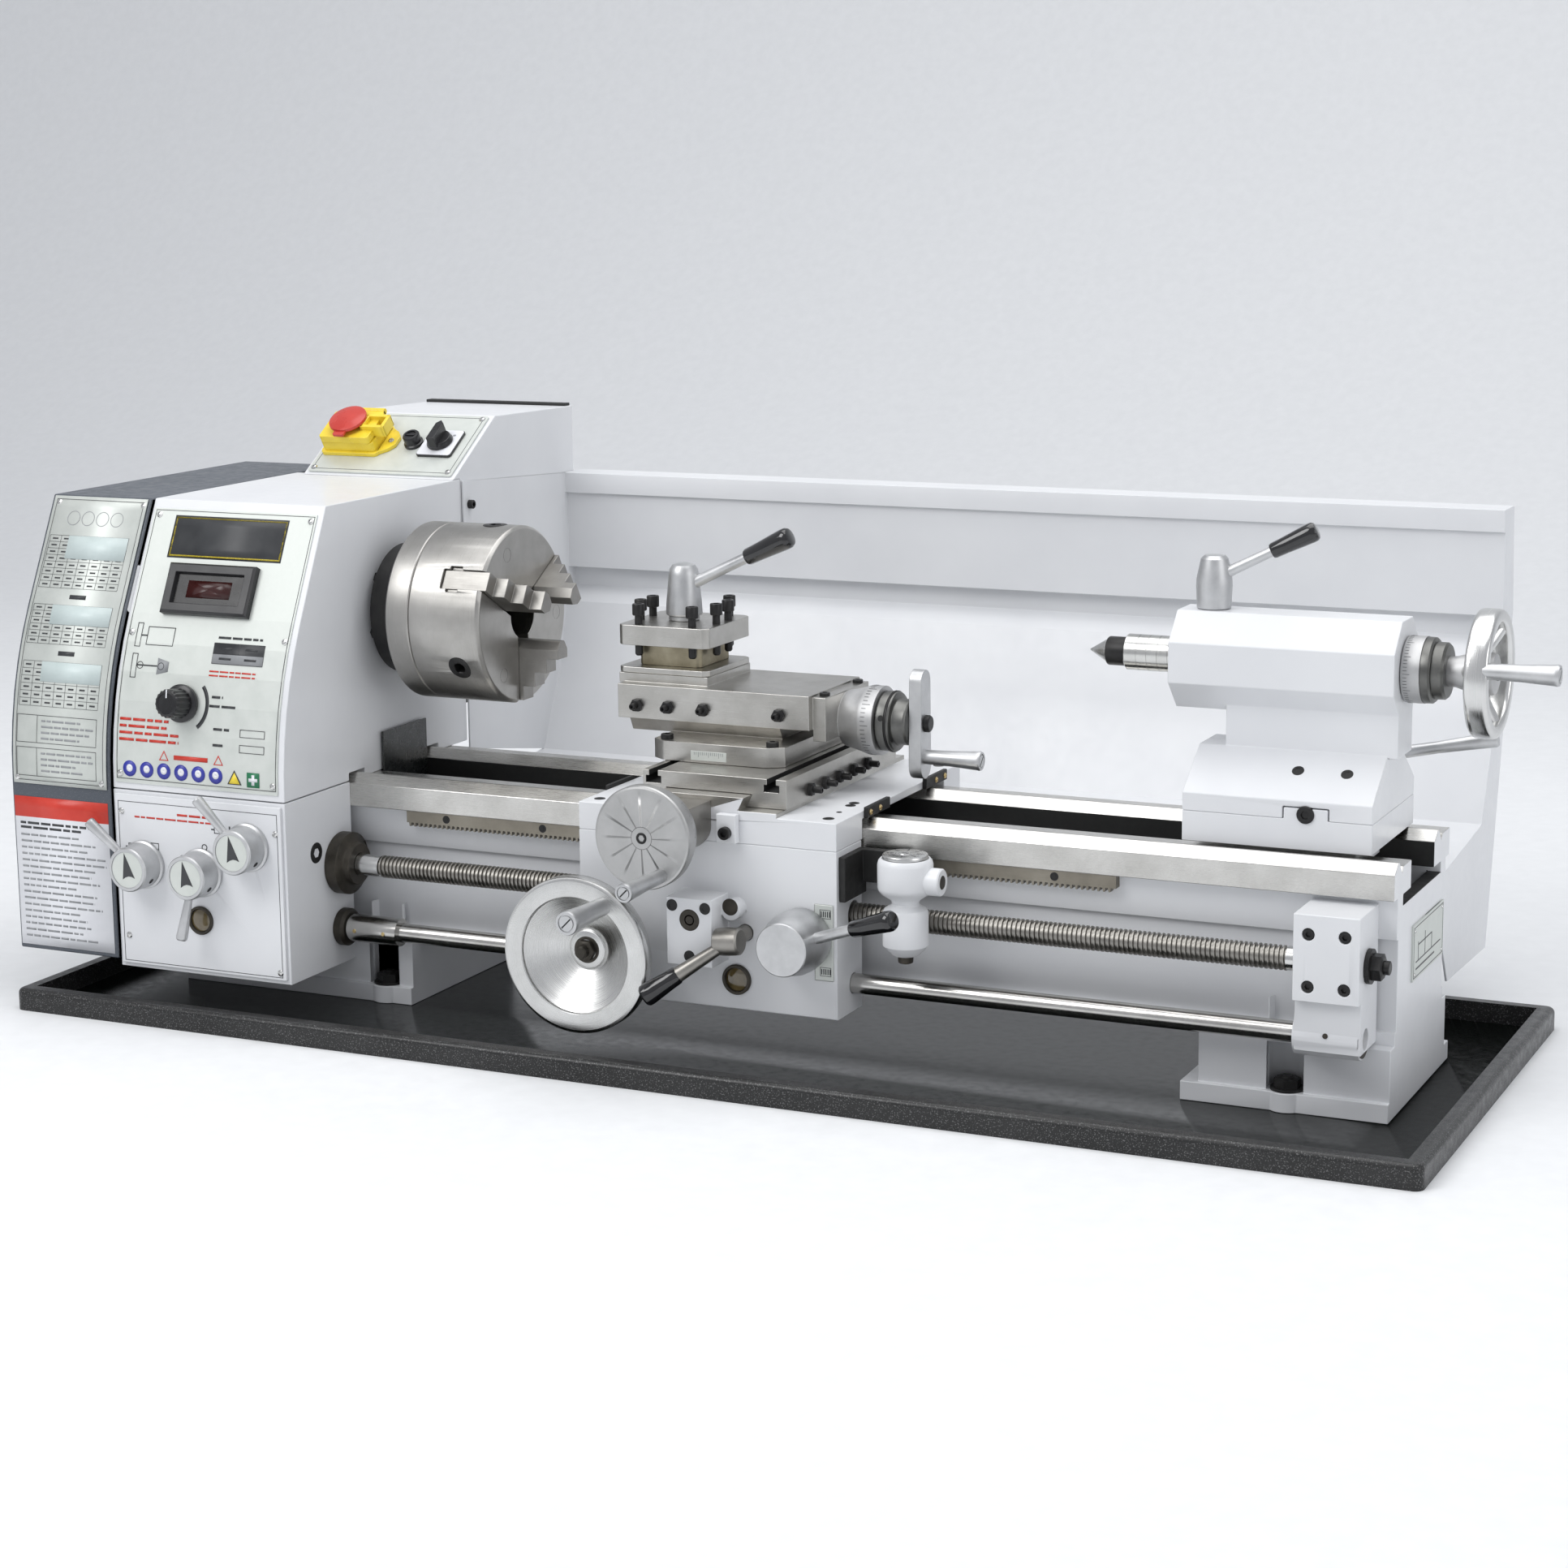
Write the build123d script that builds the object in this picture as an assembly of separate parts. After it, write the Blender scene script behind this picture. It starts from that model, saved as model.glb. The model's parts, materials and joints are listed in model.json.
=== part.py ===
"""Bench metal lathe, 280 mm swing by 700 mm between centres, as separate named pieces.

Every shape is built in the bed frame: X = 0 at the headstock's right face and +X towards the
tailstock, Y = 0 at the spindle axis and +Y to the rear, Z = 0 at the peaks of the bed ways.
save() moves each piece to the row frame, whose origin is the centre of the tray's bottom face.
All lengths are millimetres.
"""
from build123d import *
from math import acos, atan2, cos, degrees, hypot, pi, radians, sin, tan
import os

# ---- Driving dimensions -------------------------------------------------------------------

# clearances
running_gap = 0.05          # radial, a shaft that turns or slides in its hole
free_gap = 0.3              # between moving faces that do not bear on each other
seam_gap = 0.2              # between two castings that a joint lets slide

# bed
centre_height = 140.0       # spindle axis above the way peaks
bed_left = -170.0
bed_right = 955.0
bed_width = 180.0
shear_width = 52.0
way_depth = 29.0            # from the peaks to the underside of a shear
flat_drop = 6.0             # the flat ways lie this far below the peaks
peak_inset = 13.0           # a peak from its shear's outer edge
wall_inset = 16.0           # a bed wall's outer face from the bed's side
wall_thickness = 12.0
bed_depth = 150.0           # from the peaks to the bottom of the bed walls
band_drop = 63.0            # the upper, thicker band of a wall reaches down to here
band_proud = 4.0
leg_drop = 208.0            # from the peaks to the soles of the legs
right_leg_left = 798.0
left_leg_right = 60.0
foot_height = 16.0
foot_reach = 14.0

# chip tray
tray_left = -270.0
tray_right = 1018.0
tray_half_depth = 238.0
tray_sheet = 2.0
tray_rim_height = 20.0
tray_rim_width = 14.0

# headstock and feed gearbox
headstock_length = 182.0
headstock_top = 245.0
headstock_rear = 118.0
headstock_seam = -6.0       # the headstock casting ends here and the gearbox starts
front_offset = 195.0        # the lower front face, forward of the spindle axis
front_arc_radius = 350.0
front_arc_angle = 26.0      # degrees of arc between the lower face and the sloped face
headstock_wall = 14.0
gearbox_bottom = -170.0
cover_plate = 3.0

# gear cover on the left end
cover_length = 109.0
cover_proud = 4.0
cover_rear = 190.0
cover_bottom = -163.0
cover_sheet = 2.5
back_plate = 3.0
cover_gap = 0.4
pass_through_radius = 24.0

# electrical cabinet and sloped panel
cabinet_length = 167.0
cabinet_front = 105.0
cabinet_crest = 187.0
cabinet_rear = 341.0
cabinet_top = 299.0
cabinet_bottom = 125.0
cabinet_sheet = 2.0
panel_sheet = 2.0

# spindle
spindle_bore_radius = 13.0
spindle_left = -226.0
spindle_tail_radius = 18.0  # the spindle beyond its left bearing
journal_radius = 22.0
bearing_radius = 38.0
bearing_width = 16.0
nose_radius = 59.0
nose_left = 8.0
nose_right = 36.0
gear_plane = -200.0         # left face of the change gears
gear_width = 10.0
spindle_pulley_radius = 45.0
spindle_gear_radius = 30.0

# chuck
chuck_radius = 80.0
chuck_plate_right = 60.0
chuck_face = 132.0
chuck_bore_radius = 21.0
scroll_left = 74.0
scroll_thickness = 12.0
scroll_radius = 60.0
jaw_width = 18.0
jaw_step = 13.0
jaw_inner = 22.0
jaw_outer = 76.0
jaw_angles = (30.0, 150.0, 270.0)
pinion_angles = (90.0, 210.0, 330.0)
pinion_radius = 9.0
pinion_x = 92.0

# belt drive and change gears
motor_radius = 44.0
motor_y = 163.0
motor_z = 66.0
motor_left = -166.0
motor_right = -20.0
motor_pulley_radius = 18.0
pulley_left = -224.0
pulley_width = 20.0
belt_thickness = 3.0
input_y = -145.0
input_z = -60.0
first_gear_radius = 45.0
second_gear_radius = 51.0
input_gear_radius = 30.0
gear_shaft_radius = 8.0

# feed screw and feed rod
leadscrew_y = -109.0
leadscrew_z = -77.0
leadscrew_radius = 10.0
leadscrew_left = -40.0
bracket_left = 887.0
bracket_right = 940.0
feed_rod_y = -110.0
feed_rod_z = -136.0
feed_rod_radius = 8.5
feed_rod_left = -40.0
flange_radius = 28.0

# gearbox controls
lever_x = (-150.0, -88.0, -38.0)
lever_z = (-73.0, -75.0, -48.0)
lever_lean = (135.0, 262.0, 128.0)      # degrees from +X towards +Z
lever_knob_radius = 20.0
lever_length = 58.0
speed_knob_x = -108.0
speed_knob_z = 74.0

# carriage
saddle_left = 264.0
saddle_right = 504.0
saddle_front = -144.0
saddle_rear = 128.0
saddle_top = 7.0
apron_top = -17.0
apron_bottom = -160.0
apron_back = -93.0
apron_wall = 10.0
carriage_wheel_x = 287.0
carriage_wheel_z = -113.0
carriage_wheel_radius = 67.5
carriage_wheel_front = -200.0
cross_wheel_x = 362.0
cross_wheel_z = -2.0
cross_wheel_radius = 43.7
cross_wheel_front = -217.0
cross_screw_radius = 5.0
cross_slide_left = 318.0
cross_slide_right = 452.0
cross_slide_front = -128.0
cross_slide_rear = 104.0
cross_slide_bottom = 11.0
cross_slide_top = 36.0
dovetail_left = 340.0
dovetail_right = 420.0
half_nut_x = 452.0
half_nut_length = 40.0
half_nut_depth = 16.0        # from the screw axis to the front of a half nut
half_nut_open = 5.5          # each half stands this far from its closed place at rest
lever_hub_x = 474.0
lever_hub_z = -92.0
feed_lever_x = 420.0
feed_lever_z = -93.0
dial_x = 562.0
dial_y = -136.0
dial_wheel_radius = 16.4
dial_head_radius = 23.0

# compound (top) slide and tool post
swivel_x = 366.0
slide_left = 257.0
slide_right = 440.0
slide_front = -56.0
slide_rear = 52.0
slide_top = 94.0
slide_way_top = 74.0
top_screw_z = 67.0
crank_x = 512.0
post_x = 295.0
post_half = 44.0
post_top = 144.0
post_bottom = 102.0
post_neck_half = 30.0

# tailstock
tail_left = 774.0
tail_right = 930.0
tail_front = -66.0
tail_rear = 66.0
tail_split = 25.0
tail_shoulder = 46.0
barrel_left = 752.0
barrel_right = 938.0
barrel_half = 40.0
quill_radius = 15.0
quill_tip = 705.0
quill_length = 196.0
centre_tip = 672.0
tail_wheel_radius = 51.5
tail_wheel_x = 998.0
lock_x = 778.0

# splash guard
guard_left = 0.5
guard_right = 943.0
guard_top = 231.0
guard_sheet = 2.0
guard_plane = 322.0

frame_shift = (-(tray_left + tray_right) / 2, 0.0, leg_drop + tray_sheet)

# ---- Shape helpers ------------------------------------------------------------------------

X_DIR = (1, 0, 0)
Y_DIR = (0, 1, 0)
Z_DIR = (0, 0, 1)
LOW = (Align.CENTER, Align.CENTER, Align.MIN)


def block(x0, x1, y0, y1, z0, z1):
    """A box between two corners."""
    centre = Pos((x0 + x1) / 2, (y0 + y1) / 2, (z0 + z1) / 2)
    return centre * Box(x1 - x0, y1 - y0, z1 - z0)


def rod(start, end, radius):
    """A round bar from one point to another."""
    along = Vector(*end) - Vector(*start)
    return Plane(origin=start, z_dir=along) * Cylinder(radius, along.length, align=LOW)


def taper(start, end, radius_start, radius_end):
    """A cone between two points."""
    along = Vector(*end) - Vector(*start)
    return Plane(origin=start, z_dir=along) * Cone(radius_start, radius_end, along.length, align=LOW)


def bar_x(x0, x1, y, z, radius):
    """A round bar along X."""
    return rod((x0, y, z), (x1, y, z), radius)


def bar_y(y0, y1, x, z, radius):
    """A round bar along Y."""
    return rod((x, y0, z), (x, y1, z), radius)


def bar_z(z0, z1, x, y, radius):
    """A round bar along Z."""
    return rod((x, y, z0), (x, y, z1), radius)


def section_x(points, x0, x1):
    """A closed (y, z) outline pushed along X."""
    plane = Plane(origin=(x0, 0, 0), x_dir=Y_DIR, z_dir=X_DIR)
    return extrude(plane * make_face(Polyline(*points, close=True)), x1 - x0)


def section_y(points, y0, y1):
    """A closed (x, z) outline pushed along Y."""
    plane = Plane(origin=(0, y1, 0), x_dir=X_DIR, z_dir=(0, -1, 0))
    return extrude(plane * make_face(Polyline(*points, close=True)), y1 - y0)


def section_z(points, z0, z1):
    """A closed (x, y) outline pushed along Z."""
    return extrude(Pos(0, 0, z0) * make_face(Polyline(*points, close=True)), z1 - z0)


def turned(points, origin, direction):
    """A closed (radius, height) outline turned about an axis through origin."""
    plane = Plane(origin=(0, 0, 0), x_dir=X_DIR, z_dir=(0, -1, 0))
    solid = revolve(plane * make_face(Polyline(*points, close=True)), Axis.Z)
    return Plane(origin=origin, z_dir=direction) * solid


def hexagon(radius, height, origin, direction):
    """A hexagonal prism standing on origin."""
    return Plane(origin=origin, z_dir=direction) * extrude(RegularPolygon(radius, 6), height)


def cap_screw(origin, direction, radius, head, length):
    """A socket cap screw: its head's underside is at origin, its shank runs backwards."""
    top = Plane(origin=origin, z_dir=direction)
    screw = top * Cylinder(radius * 1.6, head, align=LOW)
    screw += top * Pos(0, 0, -length) * Cylinder(radius, length + 0.5, align=LOW)
    return screw - top * Pos(0, 0, head * 0.45) * extrude(RegularPolygon(radius * 0.9, 6), head)


def toothed_wheel(tip_radius, bore_radius, width, teeth, origin):
    """A spur gear about X with square-cut teeth just inside the pitch circle."""
    outline = []
    for tooth in range(teeth):
        for share, radius in ((0.0, 0), (0.30, 0), (0.50, 1), (0.80, 1)):
            angle = 2 * pi * (tooth + share) / teeth
            reach = tip_radius - 3.0 * radius
            outline.append((reach * cos(angle), reach * sin(angle)))
    wheel = extrude(make_face(Polyline(*outline, close=True)), width)
    wheel -= Cylinder(bore_radius, 3 * width)
    return Plane(origin=origin, z_dir=X_DIR) * wheel


def around_x(shape, angle):
    """Turn a piece about the spindle axis, from +Y towards +Z."""
    return shape.rotate(Axis((0, 0, centre_height), X_DIR), angle)


def on_circle(y, z, radius, angle):
    """The (y, z) point at an angle from +Y towards +Z."""
    return (y + radius * cos(radians(angle)), z + radius * sin(radians(angle)))


def joined(pieces):
    """Fuse a list of shapes that touch or overlap."""
    whole = pieces[0]
    for piece in pieces[1:]:
        whole = whole + piece
    return whole


def apart(pieces):
    """Keep separate solids together in one node."""
    solids = []
    for piece in pieces:
        solids.extend(piece.solids())
    return Compound(children=solids)


nodes = {}


def save(name, shape):
    """Keep one piece under its node name, moved to the row frame."""
    nodes[name] = shape.moved(Location(frame_shift))


# ---- Shared outlines ----------------------------------------------------------------------

arc_centre_y = front_arc_radius - front_offset
arc_end_y = arc_centre_y - front_arc_radius * cos(radians(front_arc_angle))
arc_end_z = headstock_seam + front_arc_radius * sin(radians(front_arc_angle))


def front_points(offset, bottom, top):
    """(y, z) points of the curved front, from the bottom up, moved forward by offset."""
    curve = [(-front_offset - offset, gearbox_bottom - 50), (-front_offset - offset, headstock_seam)]
    reach = front_arc_radius + offset
    for step in range(1, 7):
        angle = radians(front_arc_angle * step / 6)
        curve.append((arc_centre_y - reach * cos(angle), headstock_seam + reach * sin(angle)))
    last_y, last_z = curve[-1]
    rise = headstock_top + 50 - last_z
    curve.append((last_y + rise * tan(radians(front_arc_angle)), last_z + rise))
    inside = [point for point in curve if bottom < point[1] < top]
    return [(curve_y(curve, bottom), bottom)] + inside + [(curve_y(curve, top), top)]


def curve_y(curve, z):
    """The y of a rising (y, z) curve at a height."""
    for (y0, z0), (y1, z1) in zip(curve, curve[1:]):
        if z0 <= z <= z1:
            return y0 + (y1 - y0) * (z - z0) / (z1 - z0)
    return curve[0][0]


def front_y(z, offset=0.0):
    """The curved front's y at a height."""
    return front_points(offset, z, headstock_top + 20)[0][0]


half_bed = bed_width / 2
wall_y = half_bed - wall_inset


def bed_part(x0, x1):
    """The bed casting: two shears with ways, two banded walls, ribs and two legs."""
    front_shear = [(-half_bed, -way_depth), (-half_bed, -8), (-half_bed + peak_inset - 1, 0),
                   (-half_bed + peak_inset + 1, 0), (-half_bed + 24, -11),
                   (-half_bed + 27, -flat_drop), (-half_bed + shear_width, -flat_drop),
                   (-half_bed + shear_width, -way_depth)]
    inner = half_bed - shear_width
    rear_shear = [(inner, -way_depth), (inner, -8), (inner + peak_inset - 1, 0),
                  (inner + peak_inset + 1, 0), (inner + 24, -11), (inner + 27, -flat_drop),
                  (half_bed, -flat_drop), (half_bed, -way_depth)]
    bed = section_x(front_shear, x0, x1) + section_x(rear_shear, x0, x1)
    for side in (-1, 1):
        outer = side * wall_y
        inside = side * (wall_y - wall_thickness)
        proud = side * (wall_y + band_proud)
        bed += block(x0, x1, min(outer, inside), max(outer, inside), -bed_depth, -way_depth + 1)
        bed += block(x0, x1, min(proud, inside), max(proud, inside), -band_drop, -way_depth + 1)
        bed += block(x0, x1, min(proud, inside), max(proud, inside), -bed_depth, -bed_depth + 12)
    rib_count = 6
    for rib in range(rib_count):
        rib_x = x0 + 6 + (x1 - x0 - 12) * rib / (rib_count - 1)
        bed += block(rib_x - 6, rib_x + 6, -wall_y, wall_y, -bed_depth, -38)
    for left, right in ((x0, left_leg_right), (right_leg_left, x1)):
        bed += block(left, right, -half_bed, half_bed, -leg_drop, -bed_depth + 1)
        bed -= block(left + 14, right - 14, -half_bed + 14, half_bed - 14,
                     -leg_drop - 1, -bed_depth + 2)
        bed += block(left - foot_reach, right, -half_bed - 4, half_bed + foot_reach,
                     -leg_drop, -leg_drop + foot_height)
        bed -= block(left + 14, right - 14, -half_bed + 14, half_bed - 14,
                     -leg_drop - 1, -leg_drop + foot_height + 1)
    for hole_x in foot_bolt_x:
        for hole_y in foot_bolt_y:
            bed += bar_z(-leg_drop, -leg_drop + foot_height, hole_x, hole_y, 16)
            bed -= bar_z(-leg_drop - 1, -leg_drop + foot_height + 1, hole_x, hole_y, foot_hole_radius)
            bed -= bar_z(-leg_drop + foot_height, -bed_depth - 2, hole_x, hole_y, 17)
    return bed


foot_bolt_x = (left_leg_right - 30, right_leg_left + 72)
foot_bolt_y = (-half_bed + 8, half_bed - 8)
foot_bolt_radius = 6.0
foot_hole_radius = 6.3


# ---- Frame pieces -------------------------------------------------------------------------

def make_chip_tray():
    """A folded sheet tray: flat floor and a hollow hemmed rim."""
    floor = -leg_drop - tray_sheet
    rim_top = floor + tray_rim_height
    tray = block(tray_left, tray_right, -tray_half_depth, tray_half_depth, floor, rim_top)
    tray = fillet(tray.edges().filter_by(Axis.Z), 8)
    tray = fillet(tray.faces().sort_by(Axis.Z)[-1].edges(), 5)
    tray -= block(tray_left + tray_rim_width, tray_right - tray_rim_width,
                  -tray_half_depth + tray_rim_width, tray_half_depth - tray_rim_width,
                  floor + tray_sheet, rim_top + 1)
    for hole_x in foot_bolt_x:
        for hole_y in foot_bolt_y:
            tray -= bar_z(floor - 1, floor + tray_sheet + 1, hole_x, hole_y, foot_hole_radius)
    return tray


def make_rack():
    """The rack under the front shear, teeth downwards, with its screws."""
    rack_left = 40.0
    rack_right = 735.0
    face_y = -wall_y - band_proud
    body = block(rack_left, rack_right, face_y - 9, face_y, -40, -way_depth)
    screws = []
    for screw_x in (75, 235, 395, 555, 690):
        screws.append(bar_y(face_y - 11, face_y - 9, screw_x, -34, 3.2))
    return apart([body] + screws)


def make_headstock():
    """The headstock casting: a hollow box with a curved front, bored for the spindle bearings."""
    outline = front_points(0, headstock_seam, headstock_top)
    outline += [(headstock_rear, headstock_top), (headstock_rear, headstock_seam)]
    shell = section_x(outline, -headstock_length, 0)
    wall = headstock_wall
    cavity = [(y + wall, z) for y, z in front_points(0, headstock_seam + wall, headstock_top - wall)]
    cavity += [(headstock_rear - wall, headstock_top - wall), (headstock_rear - wall, headstock_seam + wall)]
    shell -= section_x(cavity, -headstock_length + bearing_width, -bearing_width)
    shell -= bar_x(-headstock_length - 1, 1, 0, centre_height, bearing_radius)
    inner = half_bed - shear_width
    shell -= block(-headstock_length - 1, 1, -half_bed - 0.4, -half_bed + 26, headstock_seam - 1, 1)
    shell -= block(-headstock_length - 1, 1, inner - 0.4, inner + 26, headstock_seam - 1, 1)
    return shell


def make_feed_gearbox():
    """The gearbox casting below the headstock, with its front cover plate and sight glass ring."""
    front = -front_offset
    box_top = headstock_seam - 1
    box = block(-headstock_length, 0, front, -half_bed, gearbox_bottom, box_top)
    box -= block(-headstock_length + 10, -12, front + 8, -half_bed - 7, gearbox_bottom + 10, box_top - 10)
    box -= bar_x(-14, 1, leadscrew_y, leadscrew_z, leadscrew_radius + running_gap)
    box -= bar_x(-14, 1, feed_rod_y, feed_rod_z, feed_rod_radius + running_gap)
    box -= bar_x(-headstock_length - 1, -headstock_length + 11, input_y, input_z,
                 gear_shaft_radius + running_gap)
    plate = block(-headstock_length + 3, -3, front - cover_plate, front, gearbox_bottom + 4, box_top - 3)
    ring = bar_y(front - cover_plate - 3, front - cover_plate, -91, -119, 13)
    ring -= bar_y(front - cover_plate - 4, front - cover_plate - 1, -91, -119, 10)
    for x, z in zip(lever_x, lever_z):
        hole = bar_y(front - 10, front + 9, x, z, 6 + running_gap)
        box -= hole
        plate -= hole
    return apart([box, plate, ring])


def make_gear_case_back():
    """The sheet plate on the headstock's left end that the gear cover closes against."""
    outline = front_points(-6, cover_bottom + 6, headstock_top - 4)
    outline += [(cover_rear - 6, headstock_top - 4), (cover_rear - 6, cover_bottom + 6)]
    left = -headstock_length - back_plate
    plate = section_x(outline, left, -headstock_length)
    plate -= bar_x(left - 1, -headstock_length + 1, 0, centre_height, journal_radius + 2)
    plate -= bar_x(left - 1, -headstock_length + 1, input_y, input_z, gear_shaft_radius + 1)
    plate -= bar_x(left - 1, -headstock_length + 1, motor_y, motor_z, 12)
    return plate


def make_control_cabinet():
    """The electrical cabinet behind and on top of the headstock, a closed sheet box."""
    top = cabinet_top
    seat = headstock_top
    outline = [(cabinet_front, seat), (cabinet_crest, top), (cabinet_rear, top - 3),
               (cabinet_rear, cabinet_bottom), (headstock_rear, cabinet_bottom),
               (headstock_rear, seat)]
    sheet = cabinet_sheet
    inside = [(cabinet_front + 3 * sheet, seat + sheet), (cabinet_crest + 1, top - sheet),
              (cabinet_rear - sheet, top - 3 - sheet), (cabinet_rear - sheet, cabinet_bottom + sheet),
              (headstock_rear + sheet, cabinet_bottom + sheet), (headstock_rear + sheet, seat + sheet)]
    cabinet = section_x(outline, -cabinet_length, 0)
    return cabinet - section_x(inside, -cabinet_length + sheet, -sheet)


panel_lean = degrees(atan2(cabinet_top - headstock_top, cabinet_crest - cabinet_front))
panel_origin = ((-cabinet_length) / 2, (cabinet_front + cabinet_crest) / 2,
                (headstock_top + cabinet_top) / 2)
panel_plane = Plane(origin=panel_origin, x_dir=X_DIR,
                    z_dir=(0, -sin(radians(panel_lean)), cos(radians(panel_lean))))
panel_half = hypot(cabinet_crest - cabinet_front, cabinet_top - headstock_top) / 2
switch_x = -42.0
switch_half_length = 34.0
switch_half_width = 22.0
selector_x = 48.0
selector_shaft = 4.0


def panel_block(x0, x1, y0, y1, z0, z1):
    """A box in the sloped panel's frame: x along the lathe, y up the slope, z out of the panel."""
    return panel_plane * block(x0, x1, y0, y1, z0, z1)


def make_control_panel():
    """The sloped front plate with four screws, the switch box, fuse holder and selector plate."""
    half = cabinet_length / 2
    plate = panel_block(-half + 4, half - 4, -panel_half + 4, panel_half - 4, 0, panel_sheet)
    screws = []
    for x in (-half + 9, half - 9):
        for y in (-panel_half + 9, panel_half - 9):
            screws.append(panel_plane * Pos(x, y, panel_sheet) * Cylinder(2.5, 1.2, align=LOW))
    box = panel_block(switch_x - switch_half_length, switch_x + switch_half_length,
                      -switch_half_width, switch_half_width, panel_sheet, panel_sheet + 14)
    box -= panel_block(switch_x - 27, switch_x + 27, -17, 17, panel_sheet + 4, panel_sheet + 15)
    fuse = panel_plane * Pos(18, 0, panel_sheet) * Cylinder(8, 6, align=LOW)
    fuse += panel_plane * Pos(18, 0, panel_sheet) * Cylinder(6, 11, align=LOW)
    selector = panel_block(selector_x - 19, selector_x + 19, -19, 19, panel_sheet, panel_sheet + 3)
    selector_hole = panel_plane * Pos(selector_x, 0, 0) * Cylinder(selector_shaft + running_gap, 20)
    selector -= selector_hole
    plate -= selector_hole
    return apart([plate, box, fuse, selector] + screws)


def make_splash_guard():
    """The splash guard behind the bed, with its side plates."""
    skin = guard_plane
    inner = [(skin, guard_top), (skin, 136), (skin + 12, 134), (skin + 12, 116), (skin - 6, 102),
             (skin - 22, 42), (skin - 60, -40), (half_bed + 2, -56), (wall_y + band_proud, -56)]
    outer = [(wall_y + band_proud, -86), (wall_y + band_proud + guard_sheet, -86),
             (wall_y + band_proud + guard_sheet, -58), (half_bed + 2, -58), (skin - 58, -42),
             (skin - 20, 41), (skin - 4, 100), (skin + 14, 114), (skin + 14, 136),
             (skin + 4, 138), (skin + 4, guard_top - guard_sheet), (skin + 31, guard_top - guard_sheet),
             (skin + 31, guard_top - 20), (skin + 33, guard_top - 20), (skin + 33, guard_top)]
    guard = section_x(inner + outer, guard_left, guard_right)
    lip = block(guard_left, guard_right, skin - 4, skin, guard_top - 20, guard_top)
    side = [(skin, guard_top), (skin + 33, guard_top), (skin + 41, 137), (skin - 32, -158),
            (146, -153), (half_bed + 2, -60), (half_bed + 2, -56), (skin - 60, -40),
            (skin - 22, 42), (skin - 6, 102), (skin + 2, 136)]
    right_side = section_x(side, guard_right - guard_sheet, guard_right)
    left = [(headstock_rear + 1, 243), (skin, guard_top), (skin, 136), (skin + 12, 134),
            (skin + 12, 116), (skin - 6, 102), (skin - 22, 42), (skin - 60, -40),
            (headstock_rear + 1, -14)]
    left_side = section_x(left, guard_left, guard_left + guard_sheet)
    return joined([guard, lip, right_side, left_side])


def make_chip_plate():
    """The low black sheet across the front of the headstock, between the ways."""
    inner = half_bed - shear_width
    plate = block(2, 4, -inner + 0.3, inner - 0.3, -30, 30)
    plate += block(2, 44, -inner + 0.3, inner - 0.3, -38, -36)
    return plate + block(2, 4, -inner + 0.3, inner - 0.3, -38, -29)


def make_feed_supports():
    """The right bracket of screw and rod, and the two left bosses on the gearbox face."""
    block_part = block(bracket_left, bracket_right, -134, -wall_y - band_proud, -104, -34)
    neck = block(bracket_left, bracket_right, -126, -wall_y - band_proud, -146, -100)
    boss = bar_x(bracket_left - 2, bracket_right - 2, feed_rod_y, feed_rod_z, 17)
    bracket = block_part + neck + boss
    bracket -= bar_x(bracket_left - 5, bracket_right + 5, leadscrew_y, leadscrew_z,
                     leadscrew_radius - 2 + running_gap)
    bracket -= bar_x(bracket_left - 5, bracket_right + 5, feed_rod_y, feed_rod_z,
                     feed_rod_radius + running_gap)
    for hole_x in (bracket_left + 12, bracket_right - 12):
        for hole_z in (-50, -92):
            bracket -= bar_y(-135, -128, hole_x, hole_z, 5)
    flange = turned([(leadscrew_radius + running_gap, 0), (flange_radius, 0), (flange_radius, 12),
                     (flange_radius - 8, 20), (leadscrew_radius + running_gap, 20)],
                    (0, leadscrew_y, leadscrew_z), X_DIR)
    collar = turned([(feed_rod_radius + running_gap, 0), (15, 0), (15, 10),
                     (feed_rod_radius + running_gap, 10)], (0, feed_rod_y, feed_rod_z), X_DIR)
    return apart([bracket, flange, collar])


def make_spindle_bearings():
    """The two spindle bearings, one in each end wall."""
    rings = []
    for left in (-headstock_length, -bearing_width):
        rings.append(turned([(journal_radius + running_gap, 0), (bearing_radius, 0),
                             (bearing_radius, bearing_width), (journal_radius + running_gap, bearing_width)],
                            (left, 0, centre_height), X_DIR))
    return apart(rings)


def make_motor():
    """The drive motor behind the headstock, on a foot bolted to the casting."""
    body = bar_x(motor_left, motor_right, motor_y, motor_z, motor_radius)
    body = chamfer(body.edges(), 4)
    foot = block(motor_left + 20, motor_right - 20, headstock_rear, motor_y, motor_z - 30, motor_z + 30)
    body += foot
    body -= bar_x(motor_left - 2, motor_left + 40, motor_y, motor_z, gear_shaft_radius + running_gap)
    return body


def make_fasteners():
    """Foot bolts with washers, and the strip screw beside the headstock."""
    parts = []
    sole = -leg_drop + foot_height
    for x in foot_bolt_x:
        for y in foot_bolt_y:
            washer = bar_z(sole, sole + 2, x, y, 14) - bar_z(sole - 1, sole + 3, x, y, foot_bolt_radius)
            bolt = hexagon(11, 9, (x, y, sole + 2), Z_DIR)
            bolt += bar_z(-leg_drop - tray_sheet, sole + 3, x, y, foot_bolt_radius)
            parts.extend([washer, bolt])
    parts.append(cap_screw((guard_left + guard_sheet, headstock_rear + 12, 220), X_DIR, 2.5, 5, 0.0))
    return apart(parts)


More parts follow.
